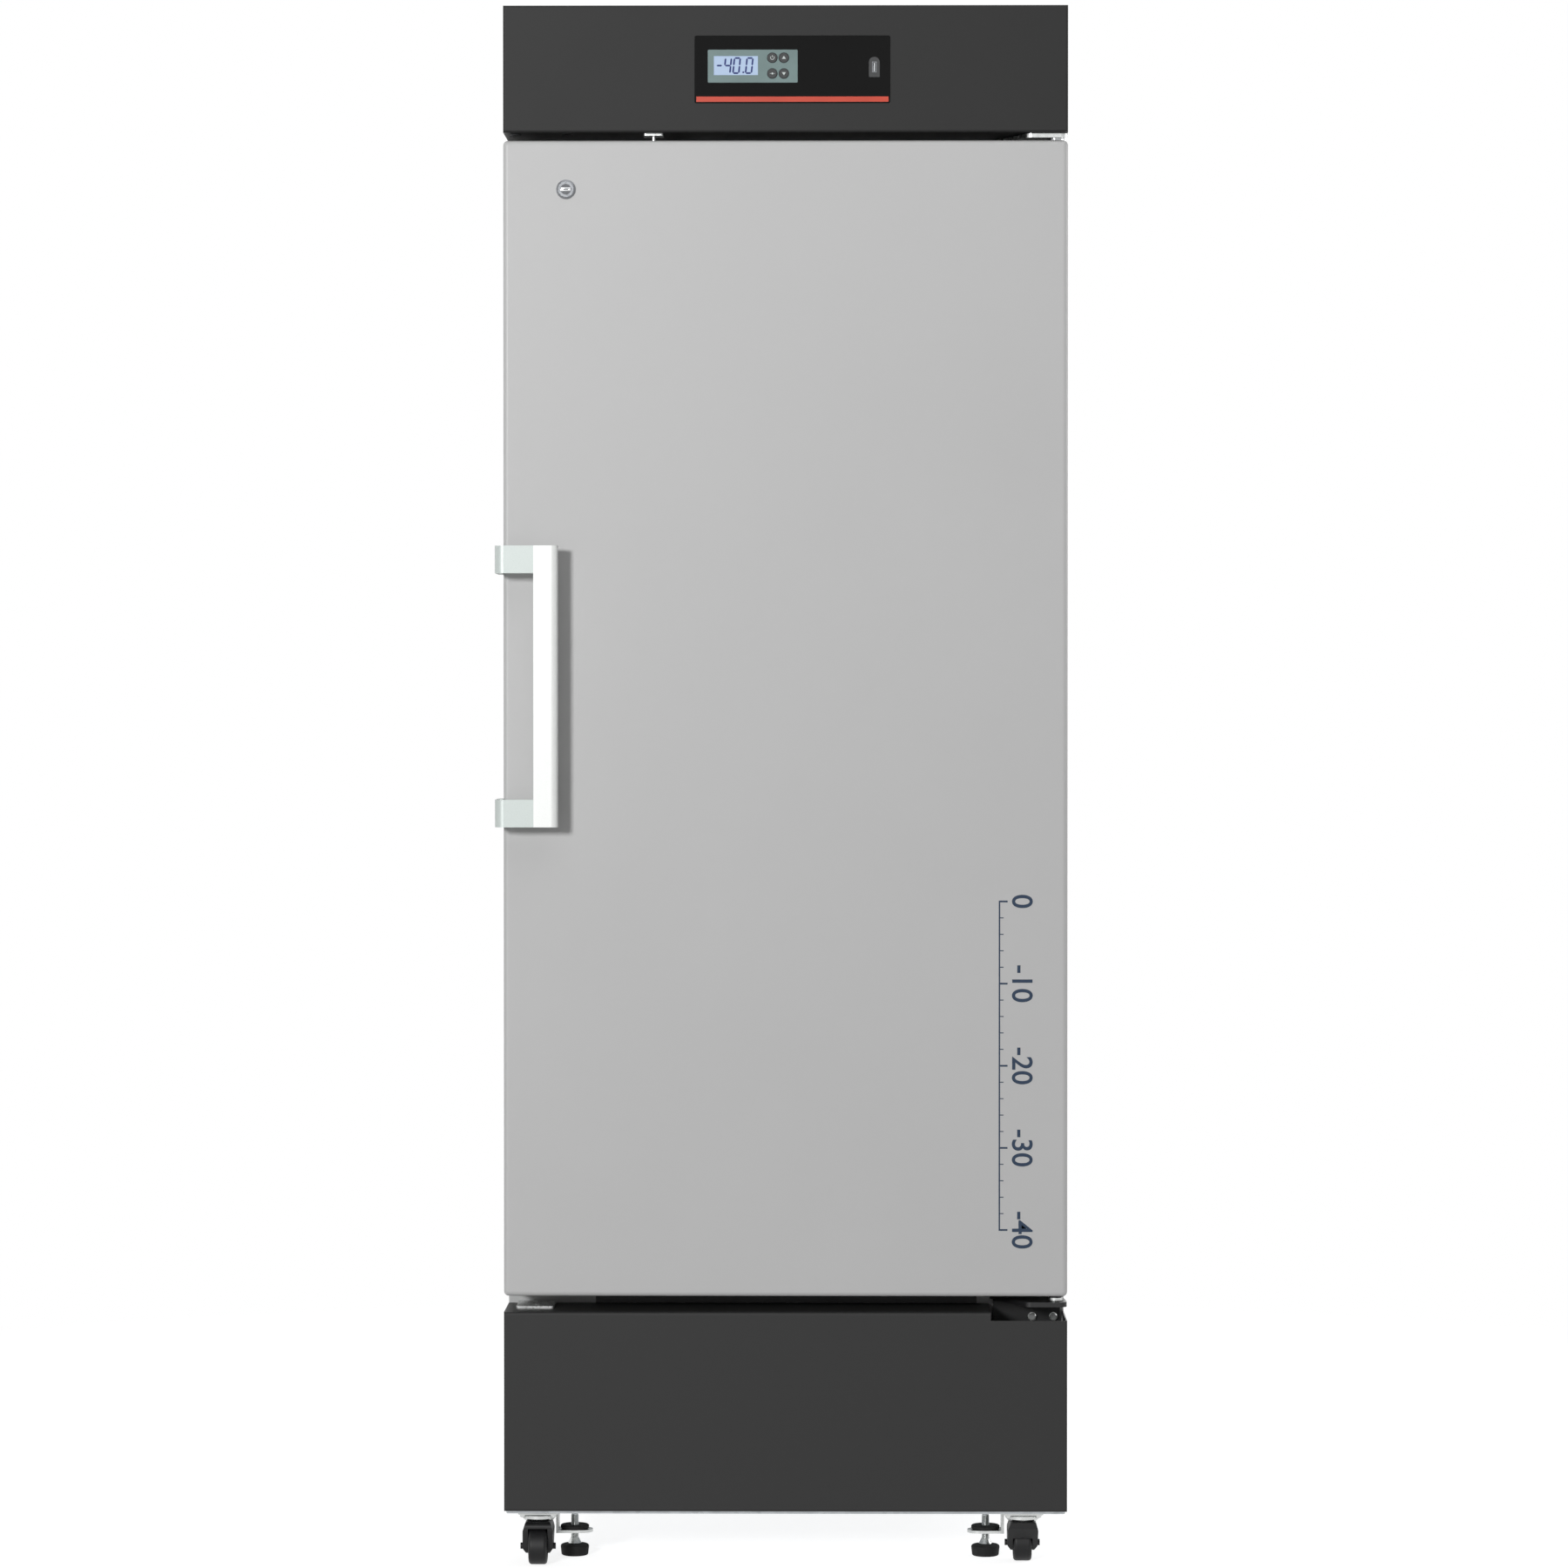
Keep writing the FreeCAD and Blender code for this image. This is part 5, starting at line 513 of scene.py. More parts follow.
@dataclass(frozen=True)
class Rubber(Finish):
    """Moulded rubber: dull, slightly dusty, with the fine pits of the mould."""

    dust: str = "#5b5a57"
    pit_mm: float = 0.9
    patch_mm: float = 18.0

    def shade(self, tree: bpy.types.NodeTree, place: bpy.types.NodeSocket) -> bpy.types.Node:
        """Pits as bump and dust that gathers in patches."""
        pits = add_node(
            tree, "ShaderNodeTexNoise", {"Vector": place, "Scale": per_metre(self.pit_mm), "Detail": 3.0}
        )
        patches = add_node(
            tree, "ShaderNodeTexNoise", {"Vector": place, "Scale": per_metre(self.patch_mm), "Detail": 5.0}
        )
        dusty = add_node(
            tree, "ShaderNodeMapRange", {"Value": patches, "From Min": 0.5, "From Max": 1.0, "To Max": 0.35}
        )
        colour = add_node(
            tree,
            "ShaderNodeMix",
            {0: dusty, 6: linear(self.colour), 7: linear(self.dust)},
            data_type="RGBA",
        )
        relief = add_node(tree, "ShaderNodeBump", {"Height": pits, "Strength": 0.6, "Distance": 0.05 * MM})
        return add_node(
            tree,
            "ShaderNodeBsdfPrincipled",
            {
                "Base Color": colour.outputs[2],
                "Roughness": 0.78,
                "Specular IOR Level": 0.3,
                "Normal": relief,
            },
        )


@dataclass(frozen=True)
class BlownFoam(Finish):
    """Blown polyurethane foam: honey yellow, matt, full of small closed cells."""

    cell_mm: float = 1.6
    streak_mm: float = 60.0

    def shade(self, tree: bpy.types.NodeTree, place: bpy.types.NodeSocket) -> bpy.types.Node:
        """Cells as bump, with darker streaks where the foam rose past a corner."""
        cells = add_node(tree, "ShaderNodeTexVoronoi", {"Vector": place, "Scale": per_metre(self.cell_mm)})
        streaks = add_node(
            tree, "ShaderNodeTexNoise", {"Vector": place, "Scale": per_metre(self.streak_mm), "Detail": 3.0}
        )
        relief = add_node(
            tree,
            "ShaderNodeBump",
            {"Height": cells.outputs["Distance"], "Strength": 0.7, "Distance": 0.3 * MM},
        )
        return add_node(
            tree,
            "ShaderNodeBsdfPrincipled",
            {"Base Color": self.tones(tree, streaks, 0.8, 1.1), "Roughness": 0.9, "Normal": relief},
        )


@dataclass(frozen=True)
class FormedLiner(Finish):
    """Polystyrene sheet drawn over a mould: clean cool white, satin, thinner and shinier in parts."""

    ripple_mm: float = 4.0
    draw_mm: float = 120.0

    def shade(self, tree: bpy.types.NodeTree, place: bpy.types.NodeSocket) -> bpy.types.Node:
        """Extrusion ripple of the sheet as bump, and slow change of gloss."""
        ripple = add_node(
            tree, "ShaderNodeTexNoise", {"Vector": place, "Scale": per_metre(self.ripple_mm), "Detail": 1.0}
        )
        draw = add_node(
            tree, "ShaderNodeTexNoise", {"Vector": place, "Scale": per_metre(self.draw_mm), "Detail": 2.0}
        )
        roughness = add_node(tree, "ShaderNodeMapRange", {"Value": draw, "To Min": 0.3, "To Max": 0.48})
        relief = add_node(tree, "ShaderNodeBump", {"Height": ripple, "Strength": 0.4, "Distance": 0.04 * MM})
        return add_node(
            tree,
            "ShaderNodeBsdfPrincipled",
            {
                "Base Color": self.tones(tree, draw, 0.97, 1.01),
                "Roughness": roughness,
                "Specular IOR Level": 0.45,
                "Normal": relief,
            },
        )


@dataclass(frozen=True)
class GasketVinyl(Finish):
    """Extruded soft vinyl over a magnet strip: matt, with faint lines along the profile."""

    line_mm: float = 1.2

    def shade(self, tree: bpy.types.NodeTree, place: bpy.types.NodeSocket) -> bpy.types.Node:
        """Soft cloth-like sheen broken by die lines."""
        lines = add_node(
            tree, "ShaderNodeTexNoise", {"Vector": place, "Scale": per_metre(self.line_mm), "Detail": 2.0}
        )
        relief = add_node(tree, "ShaderNodeBump", {"Height": lines, "Strength": 0.4, "Distance": 0.06 * MM})
        return add_node(
            tree,
            "ShaderNodeBsdfPrincipled",
            {
                "Base Color": self.tones(tree, lines, 0.92, 1.06),
                "Roughness": 0.6,
                "Specular IOR Level": 0.4,
                "Normal": relief,
            },
        )


@dataclass(frozen=True)
class CopperTube(Finish):
    """Drawn copper tube, browned by heat and handling."""

    tarnish: str = "#6b3f2a"
    cloud_mm: float = 12.0

    def shade(self, tree: bpy.types.NodeTree, place: bpy.types.NodeSocket) -> bpy.types.Node:
        """Bright metal that tarnishes in clouds."""
        clouds = add_node(
            tree, "ShaderNodeTexNoise", {"Vector": place, "Scale": per_metre(self.cloud_mm), "Detail": 5.0}
        )
        colour = add_node(
            tree,
            "ShaderNodeMix",
            {0: clouds, 6: linear(self.colour), 7: linear(self.tarnish)},
            data_type="RGBA",
        )
        roughness = add_node(tree, "ShaderNodeMapRange", {"Value": clouds, "To Min": 0.2, "To Max": 0.5})
        return add_node(
            tree,
            "ShaderNodeBsdfPrincipled",
            {"Base Color": colour.outputs[2], "Metallic": 1.0, "Roughness": roughness},
        )


@dataclass(frozen=True)
class CircuitBoard(Finish):
    """Glass-fibre board under green solder resist, with copper runs showing as raised paler lines."""

    run_mm: float = 2.5

    def shade(self, tree: bpy.types.NodeTree, place: bpy.types.NodeSocket) -> bpy.types.Node:
        """Copper runs as square cells of a slightly paler green."""
        runs = add_node(
            tree,
            "ShaderNodeTexVoronoi",
            {"Vector": place, "Scale": per_metre(self.run_mm)},
            distance="MANHATTAN",
        )
        relief = add_node(
            tree,
            "ShaderNodeBump",
            {"Height": runs.outputs["Distance"], "Strength": 0.4, "Distance": 0.04 * MM},
        )
        return add_node(
            tree,
            "ShaderNodeBsdfPrincipled",
            {
                "Base Color": self.tones(tree, runs.outputs["Distance"], 0.8, 1.4),
                "Roughness": 0.3,
                "Normal": relief,
            },
        )


@dataclass(frozen=True)
class ScreenInk(Finish):
    """Screen-printed ink: matt and thick enough to show the mesh, slightly thinner in places."""

    mesh_mm: float = 0.6

    def shade(self, tree: bpy.types.NodeTree, place: bpy.types.NodeSocket) -> bpy.types.Node:
        """Mesh marks of the screen as faint tone and bump."""
        mesh = add_node(tree, "ShaderNodeTexNoise", {"Vector": place, "Scale": per_metre(self.mesh_mm)})
        relief = add_node(tree, "ShaderNodeBump", {"Height": mesh, "Strength": 0.3, "Distance": 0.02 * MM})
        return add_node(
            tree,
            "ShaderNodeBsdfPrincipled",
            {
                "Base Color": self.tones(tree, mesh, 0.88, 1.12),
                "Roughness": 0.55,
                "Specular IOR Level": 0.3,
                "Normal": relief,
            },
        )


CABINET_PAINT = PowderCoat("powder coated steel, cabinet grey", "#babbbb")
DOOR_PAINT = PowderCoat("powder coated steel, door grey", "#bebebe")
# Darker than the base's charcoal so that the header, under more light from above, renders as dark as the
# base: painted shade.
HEADER_SHADED_PAINT = PowderCoat(
    "powder coated steel, header charcoal", "#252525", gloss_roughness=0.5, peel_depth_mm=0.02, specular=0.2
)
BASE_PAINT = PowderCoat(
    "powder coated steel, base charcoal", "#2a2a2a", gloss_roughness=0.5, peel_depth_mm=0.02, specular=0.25
)
BLACK_PAINT = PowderCoat(
    "powder coated steel, black", "#1c1c1d", gloss_roughness=0.45, peel_depth_mm=0.02, specular=0.35
)
GALVANISED = HotDipZinc("hot-dip galvanised sheet", "#c3c7ca")
ZINC_PLATE = BrightZincPlate("bright zinc plate", "#c6c8c7")
STAINLESS = BrushedStainless("brushed stainless sheet", "#c9cac9")
HANDLE_SILVER = SilverLacquer("silver lacquered bar", "#f0f2f0")
BRACKET_SILVER = SilverLacquer("silver lacquered bracket", "#c6cecb", roughness=0.42)
CHROME = ChromePlate("chrome plated brass", "#dcdee0")
DARK_METAL = ChromePlate("blackened lock metal", "#4a4b4d", roughness=0.3)
SATIN_NICKEL = ChromePlate("satin nickel lock ring", "#77797c", roughness=0.26)
BLACK_ACRYLIC = GlossAcrylic("black acrylic plate", "#0f0f0f")
ACCENT_RED = MouldedPlastic(
    "orange red moulded strip", "#c4412a", roughness=0.4, grain_depth_mm=0.01, specular=0.4
)
BEZEL_GREY = MouldedPlastic("grey green moulded bezel", "#6c8180", roughness=0.4, grain_depth_mm=0.012)
DISPLAY_PANE = LitPane("lit display pane", "#acbfd9")
KEY_PLASTIC = MouldedPlastic("dark key plastic", "#2a2d2e", roughness=0.5)
PORT_GREY = MouldedPlastic("dark grey port surround", "#2c2d2e", roughness=0.45)
BLACK_PLASTIC = MouldedPlastic("black moulded plastic", "#0f0f10", roughness=0.42, specular=0.3)
WHEEL_PLASTIC = MouldedPlastic("black wheel plastic", "#101011", roughness=0.5, specular=0.3)
BUSH_PLASTIC = MouldedPlastic("dark grey bush plastic", "#4b4c4e", roughness=0.5)
BLACK_RUBBER = Rubber("black rubber", "#1b1b1b")
GASKET = GasketVinyl("grey gasket vinyl", "#7d8083")
LINER_WHITE = FormedLiner("white formed liner", "#e6e9ea")
FOAM = BlownFoam("blown insulation foam", "#dcc79a")
COPPER = CopperTube("drawn copper tube", "#c98a6a")
BOARD_GREEN = CircuitBoard("green circuit board", "#1c5c35")
NAVY_INK = ScreenInk("navy screen ink", "#26374d")
DIGIT_INK = ScreenInk("dark blue display segments", "#22306e")
MARK_INK = ScreenInk("pale key marks", "#c9d0cf")


def dress(names: list[str], finish: Finish) -> None:
    """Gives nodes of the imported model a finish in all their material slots.

    Args:
        names: node names.
        finish: the finish that they get.
    """
    for name in names:
        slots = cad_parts[name].material_slots
        for slot in slots:
            slot.material = finish.material()


class Form:
    """Closed solids gathered for one piece, given in cabinet millimetres."""

    def __init__(self) -> None:
        """Starts with no solid."""
        self.mesh = bmesh.new()

    @staticmethod
    def placed(axis: Axis, along: float, first: float, second: float) -> Vector:
        """Puts a value along the axis and two across it in x, y, z order."""
        values = [first, second]
        values.insert(axis.value, along)
        return Vector(values)

    def prism(self, outline: list[Pair], low: float, high: float, axis: Axis = Axis.Z) -> None:
        """Adds an outline extruded along an axis.

        Args:
            outline: corners in the two coordinates across the axis, in x, y, z order.
            low: start along the axis.
            high: end along the axis.
            axis: direction of the extrusion.
        """
        bottom = [self.mesh.verts.new(self.placed(axis, low, *corner)) for corner in outline]
        top = [self.mesh.verts.new(self.placed(axis, high, *corner)) for corner in outline]
        count = len(outline)
        self.mesh.faces.new(bottom)
        self.mesh.faces.new(top)
        for place in range(count):
            following = (place + 1) % count
            self.mesh.faces.new((bottom[place], bottom[following], top[following], top[place]))

    def flat(self, x: Pair, z: Pair, y: Pair) -> None:
        """Adds a square-edged flat, such as a printed line, facing the front."""
        self.prism([(x[0], z[0]), (x[1], z[0]), (x[1], z[1]), (x[0], z[1])], *y, Axis.Y)

    def box(self, x: Pair, y: Pair, z: Pair, bevel: float) -> None:
        """Adds a box whose edges are all rounded over the width of the bevel."""
        known = set(self.mesh.edges)
        self.prism([(x[0], y[0]), (x[1], y[0]), (x[1], y[1]), (x[0], y[1])], z[0], z[1])
        bmesh.ops.bevel(
            self.mesh,
            geom=[edge for edge in self.mesh.edges if edge not in known],
            offset=bevel,
            segments=BEVEL_STEPS,
            profile=0.5,
            affect="EDGES",
            clamp_overlap=True,
        )

    def turned(
        self,
        profile: list[Pair],
        centre: Pair,
        axis: Axis = Axis.Z,
        steps: int = ROUND_STEPS,
    ) -> None:
        """Adds a profile turned round an axis.

        Args:
            profile: (place along the axis, radius) from one end to the other, closed by a point at radius 0
                or by joining the last ring to the first.
            centre: the axis' place in the two other coordinates.
            axis: direction of the axis.
            steps: corners of each ring.
        """
        rings = []
        for along, radius in profile:
            if radius == 0.0:
                rings.append([self.mesh.verts.new(self.placed(axis, along, *centre))])
                continue
            ring = []
            for step in range(steps):
                angle = 2.0 * math.pi * step / steps
                first = centre[0] + radius * math.cos(angle)
                second = centre[1] + radius * math.sin(angle)
                ring.append(self.mesh.verts.new(self.placed(axis, along, first, second)))
            rings.append(ring)
        pairs = list(zip(rings, rings[1:]))
        if profile[0][1] and profile[-1][1]:
            pairs.append((rings[-1], rings[0]))
        for lower, upper in pairs:
            for step in range(steps):
                following = (step + 1) % steps
                corners = [lower[step % len(lower)], lower[following % len(lower)]]
                corners += [upper[following % len(upper)], upper[step % len(upper)]]
                self.mesh.faces.new(list(dict.fromkeys(corners)))

    def hex_head(
        self,
        centre: Pair,
        seat: float,
        top: float,
        across_flats: float,
        axis: Axis = Axis.Z,
        turn: float = 0.0,
    ) -> None:
        """Adds a hexagon bolt head on its washer, with the chamfered crown of a forged head.

        Args:
            centre: the bolt's place in the two coordinates across its axis.
            seat: face that the washer rests on, along the axis.
            top: crown of the head, along the axis.
            across_flats: width over two flats.
            axis: direction of the bolt.
            turn: turn of the hexagon about its axis, in radians.
        """
        way = 1.0 if top > seat else -1.0
        washer_thickness = 0.8
        crown_height = 0.6
        washer_top = seat + way * washer_thickness
        reach = across_flats * 0.58
        self.turned([(seat, 0.0), (seat, reach), (washer_top, reach), (washer_top, 0.0)], centre, axis)
        corner = across_flats / math.sqrt(3.0)
        outline = []
        for step in range(6):
            angle = math.pi * step / 3.0 + turn
            outline.append((centre[0] + corner * math.cos(angle), centre[1] + corner * math.sin(angle)))
        shoulder = top - way * crown_height
        self.prism(outline, washer_top, shoulder, axis)
        crown = [(shoulder, 0.0), (shoulder, across_flats * 0.5), (top, across_flats * 0.44), (top, 0.0)]
        self.turned(crown, centre, axis)

    def piece(self, name: str, body: str, finish: Finish) -> bpy.types.Object:
        """Turns the gathered solids into a finished piece that moves with a body.

        Args:
            name: name of the piece.
            body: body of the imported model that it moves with.
            finish: its material.

        Returns:
            The object.
        """
        bmesh.ops.recalc_face_normals(self.mesh, faces=self.mesh.faces)
        for vertex in self.mesh.verts:
            vertex.co = (vertex.co + CABINET_SHIFT) * MM
        data = bpy.data.meshes.new(name)
        self.mesh.to_mesh(data)
        self.mesh.free()
        return finished(data, name, body, finish)


def finished(data: bpy.types.Mesh, name: str, body: str, finish: Finish) -> bpy.types.Object:
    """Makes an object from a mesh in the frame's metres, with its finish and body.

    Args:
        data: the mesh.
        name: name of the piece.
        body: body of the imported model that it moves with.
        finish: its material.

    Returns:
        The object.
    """
    data.materials.clear()
    data.materials.append(finish.material())
    data.shade_smooth()
    data.set_sharp_from_angle(angle=SMOOTH_ANGLE)
    made = bpy.data.objects.new(name, data)
    bpy.context.scene.collection.objects.link(made)
    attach(made, body)
    LOG.info("%s rides on %s", name, body)
    return made


def circle(centre: Pair, radius: float, steps: int = ROUND_STEPS) -> list[Pair]:
    """Gives the corners of a regular polygon round a centre."""
    angles = [2.0 * math.pi * step / steps for step in range(steps)]
    return [(centre[0] + radius * math.cos(angle), centre[1] + radius * math.sin(angle)) for angle in angles]


@dataclass(frozen=True)
class Softbox:
    """Square studio lamp behind a diffuser, which gives shadows a soft edge.

    Args:
        name: name of the lamp.
        place: its middle, in metres.
        target: what it faces, in metres.
        size: its side, in metres.
        watts: its power.
    """

    name: str
    place: Place
    target: Place
    size: float
    watts: float

    def build(self) -> None:
        """Adds the lamp, unseen by the camera itself."""
        data = bpy.data.lights.new(self.name, "AREA")
        data.shape = "SQUARE"
        data.size = self.size
        data.energy = self.watts
        lamp = bpy.data.objects.new(self.name, data)
        lamp.location = self.place
        lamp.visible_camera = False
        way = Vector(self.target) - Vector(self.place)
        lamp.rotation_euler = way.to_track_quat("-Z", "Y").to_euler()
        bpy.context.scene.collection.objects.link(lamp)


@dataclass
class Studio:
    """Pale floor, soft lights and the camera that took the picture."""

    lens_mm: float = 114.79
    camera_place: Place = (0.056, -6.564, 1.0902)
    tilt_deg: float = 0.756
    pan_deg: float = 0.497
    shift_y: float = -0.0158
    floor_half: float = 14.0
    floor_clear: Pair = (1.1, 2.4)
    world_fill: float = 0.1
    floor_glow: float = 0.8
    paper_tone: Colour = (0.55, 0.55, 0.55, 1.0)
    paper_fibre_mm: float = 3.0
    white: Colour = (1.0, 1.0, 1.0, 1.0)
    softboxes: tuple[Softbox, ...] = (
        Softbox("key lamp", (-2.89, -7.59, 2.34), (-0.25, -0.36, 1.15), 0.98, 375.0),
        Softbox("overhead softbox", (0.0, -1.9, 3.3), (0.0, -0.2, 1.2), 2.2, 15.0),
        Softbox("right softbox", (3.3, 0.5, 1.9), (0.3, 0.1, 1.0), 1.6, 45.0),
        Softbox("left softbox", (-3.3, 0.9, 1.9), (-0.3, 0.1, 1.0), 1.6, 8.0),
        Softbox("rear softbox", (0.4, 3.9, 2.1), (0.0, 0.4, 1.0), 1.8, 60.0),
    )

    def build(self) -> None:
        """Makes the camera, the world, the floor and the lamps."""
        self.camera()
        self.world()
        self.floor()
        for softbox in self.softboxes:
            softbox.build()
        bpy.context.scene.view_settings.view_transform = "Standard"

    def camera(self) -> None:
        """Puts the camera at eye level in front of the door."""
        data = bpy.data.cameras.new("camera")
        data.lens = self.lens_mm
        data.shift_y = self.shift_y
        camera = bpy.data.objects.new("camera", data)
        camera.location = self.camera_place
        camera.rotation_euler = (math.radians(90.0 - self.tilt_deg), 0.0, math.radians(self.pan_deg))
        bpy.context.scene.collection.objects.link(camera)
        bpy.context.scene.camera = camera

    def seen_ray(self, tree: bpy.types.NodeTree) -> bpy.types.Node:
        """Returns a node that is 1 for rays from the camera and those seen in metal and glass."""
        path = add_node(tree, "ShaderNodeLightPath")
        direct = add_node(
            tree,
            "ShaderNodeMath",
            {0: path.outputs["Is Camera Ray"], 1: path.outputs["Is Glossy Ray"]},
            operation="ADD",
            use_clamp=True,
        )
        return add_node(
            tree,
            "ShaderNodeMath",
            {0: direct, 1: path.outputs["Is Transmission Ray"]},
            operation="ADD",
            use_clamp=True,
        )

    def world(self) -> None:
        """White where it is seen, and a softer fill where it lights the object."""
        world = bpy.data.worlds.new("white studio")
        world.use_nodes = True
        tree = world.node_tree
        tree.nodes.clear()
        strength = add_node(
            tree,
            "ShaderNodeMapRange",
            {"Value": self.seen_ray(tree), "To Min": self.world_fill, "To Max": 1.0},
        )
        light = add_node(tree, "ShaderNodeBackground", {"Color": self.white, "Strength": strength})
        add_node(tree, "ShaderNodeOutputWorld", {"Surface": light})
        bpy.context.scene.world = world

    def floor(self) -> None:
        """A seamless pale floor that keeps the contact shadow and fades into the white behind it."""
        form = bmesh.new()
        half = self.floor_half
        corners = [form.verts.new((x * half, y * half, 0.0)) for x, y in ((-1, -1), (1, -1), (1, 1), (-1, 1))]
        form.faces.new(corners)
        data = bpy.data.meshes.new("studio_floor")
        form.to_mesh(data)
        form.free()
        floor = bpy.data.objects.new("studio_floor", data)
        bpy.context.scene.collection.objects.link(floor)
        paper = bpy.data.materials.new("white studio paper")
        paper.use_nodes = True
        tree = paper.node_tree
        tree.nodes.clear()
        place = add_node(tree, "ShaderNodeTexCoord").outputs["Object"]
        fibre = add_node(
            tree,
            "ShaderNodeTexNoise",
            {"Vector": place, "Scale": per_metre(self.paper_fibre_mm), "Detail": 3.0},
        )
        relief = add_node(tree, "ShaderNodeBump", {"Height": fibre, "Strength": 0.3, "Distance": 0.05 * MM})
        lit = add_node(tree, "ShaderNodeBsdfDiffuse", {"Color": self.paper_tone, "Normal": relief})
        seen = self.seen_ray(tree)
        glow_level = add_node(tree, "ShaderNodeMath", {0: seen, 1: self.floor_glow}, operation="MULTIPLY")
        glow = add_node(tree, "ShaderNodeEmission", {"Color": self.white, "Strength": glow_level})
        near = add_node(tree, "ShaderNodeAddShader", {0: lit, 1: glow})
        white = add_node(tree, "ShaderNodeEmission", {"Color": self.white, "Strength": 1.0})
        distance = add_node(tree, "ShaderNodeVectorMath", {0: place}, operation="LENGTH")
        far = add_node(
            tree,
            "ShaderNodeMapRange",
            {
                "Value": distance.outputs["Value"],
                "From Min": self.floor_clear[0],
                "From Max": self.floor_clear[1],
            },
        )
        far_seen = add_node(tree, "ShaderNodeMath", {0: far, 1: seen}, operation="MULTIPLY")
        both = add_node(tree, "ShaderNodeMixShader", {0: far_seen, 1: near, 2: white})
        add_node(tree, "ShaderNodeOutputMaterial", {"Surface": both})
        data.materials.append(paper)


@dataclass
class Cabinet:
    """Sheet steel shell, liner, header and base, with the screws that hold the back on."""

    screw_radius: float = 4.2
    screw_steps: int = 32
    screw_dome: tuple[Pair, ...] = ((0.0, 1.0), (1.0, 0.98), (1.75, 0.8), (2.0, 0.45), (1.2, 0.4))
    back_y: float = 670.0
    screw_x: float = 338.0
    screw_levels: tuple[float, ...] = (360.0, 660.0, 960.0, 1260.0, 1560.0, 1860.0)
    strip_half: float = 240.0
    strip_z: Pair = (321.5, 350.0)
    strip_depth: Pair = (3.0, 1.5)

    def build(self) -> None:
        """Dresses the shell and adds the screws of the back."""
        dress(["side_panel_left", "side_panel_right", "top_panel", "front_frame"], CABINET_PAINT)
        dress(["header_cover"], HEADER_SHADED_PAINT)
        dress(["base_front_panel"], BASE_PAINT)
        dress(["back_panel", "base_pan", "rear_louvre_cover"], GALVANISED)
        dress(["inner_liner"], LINER_WHITE)
        dress(["cabinet_foam"], FOAM)
        dress(["mains_inlet"], BLACK_PLASTIC)
        form = Form()
        for level in self.screw_levels:
            for side in Side:
                self.pan_head(form, (side.value * self.screw_x, level), self.back_y)
        form.piece("back_panel_screws", "cabinet", ZINC_PLATE)
        # The black strip in the lower gap stands in for the gap's shadow: painted shade.
        self.gap_shade_strip()

    def gap_shade_strip(self) -> None:
        """Adds a black strip between door and base panel, with a lip along its top: painted shade, a dark
        sheet put where the gap is only in shadow.
        """
        low, high = self.strip_z
        face, lip = self.strip_depth
        outline = [(0.0, low), (-face, low), (-face, high - 2 * lip)]
        outline += [(-lip, high - lip), (-lip, high), (0.0, high)]
        form = Form()
        form.prism(outline, -self.strip_half, self.strip_half, Axis.X)
        form.piece("lower_gap_shade_strip", "cabinet", BLACK_PLASTIC)

    def pan_head(self, form: Form, centre: Pair, seat: float) -> None:
        """Adds a pan-head screw with a round drive recess, standing back from a face.

        The dome is given by heights over the face and shares of the screw's radius.

        Args:
            form: form that gets the screw.
            centre: x and z of the screw.
            seat: y of the face.
        """
        dome = [(seat + rise, self.screw_radius * share) for rise, share in self.screw_dome]
        form.turned([(seat, 0.0), *dome, (dome[-1][0], 0.0)], centre, Axis.Y, self.screw_steps)


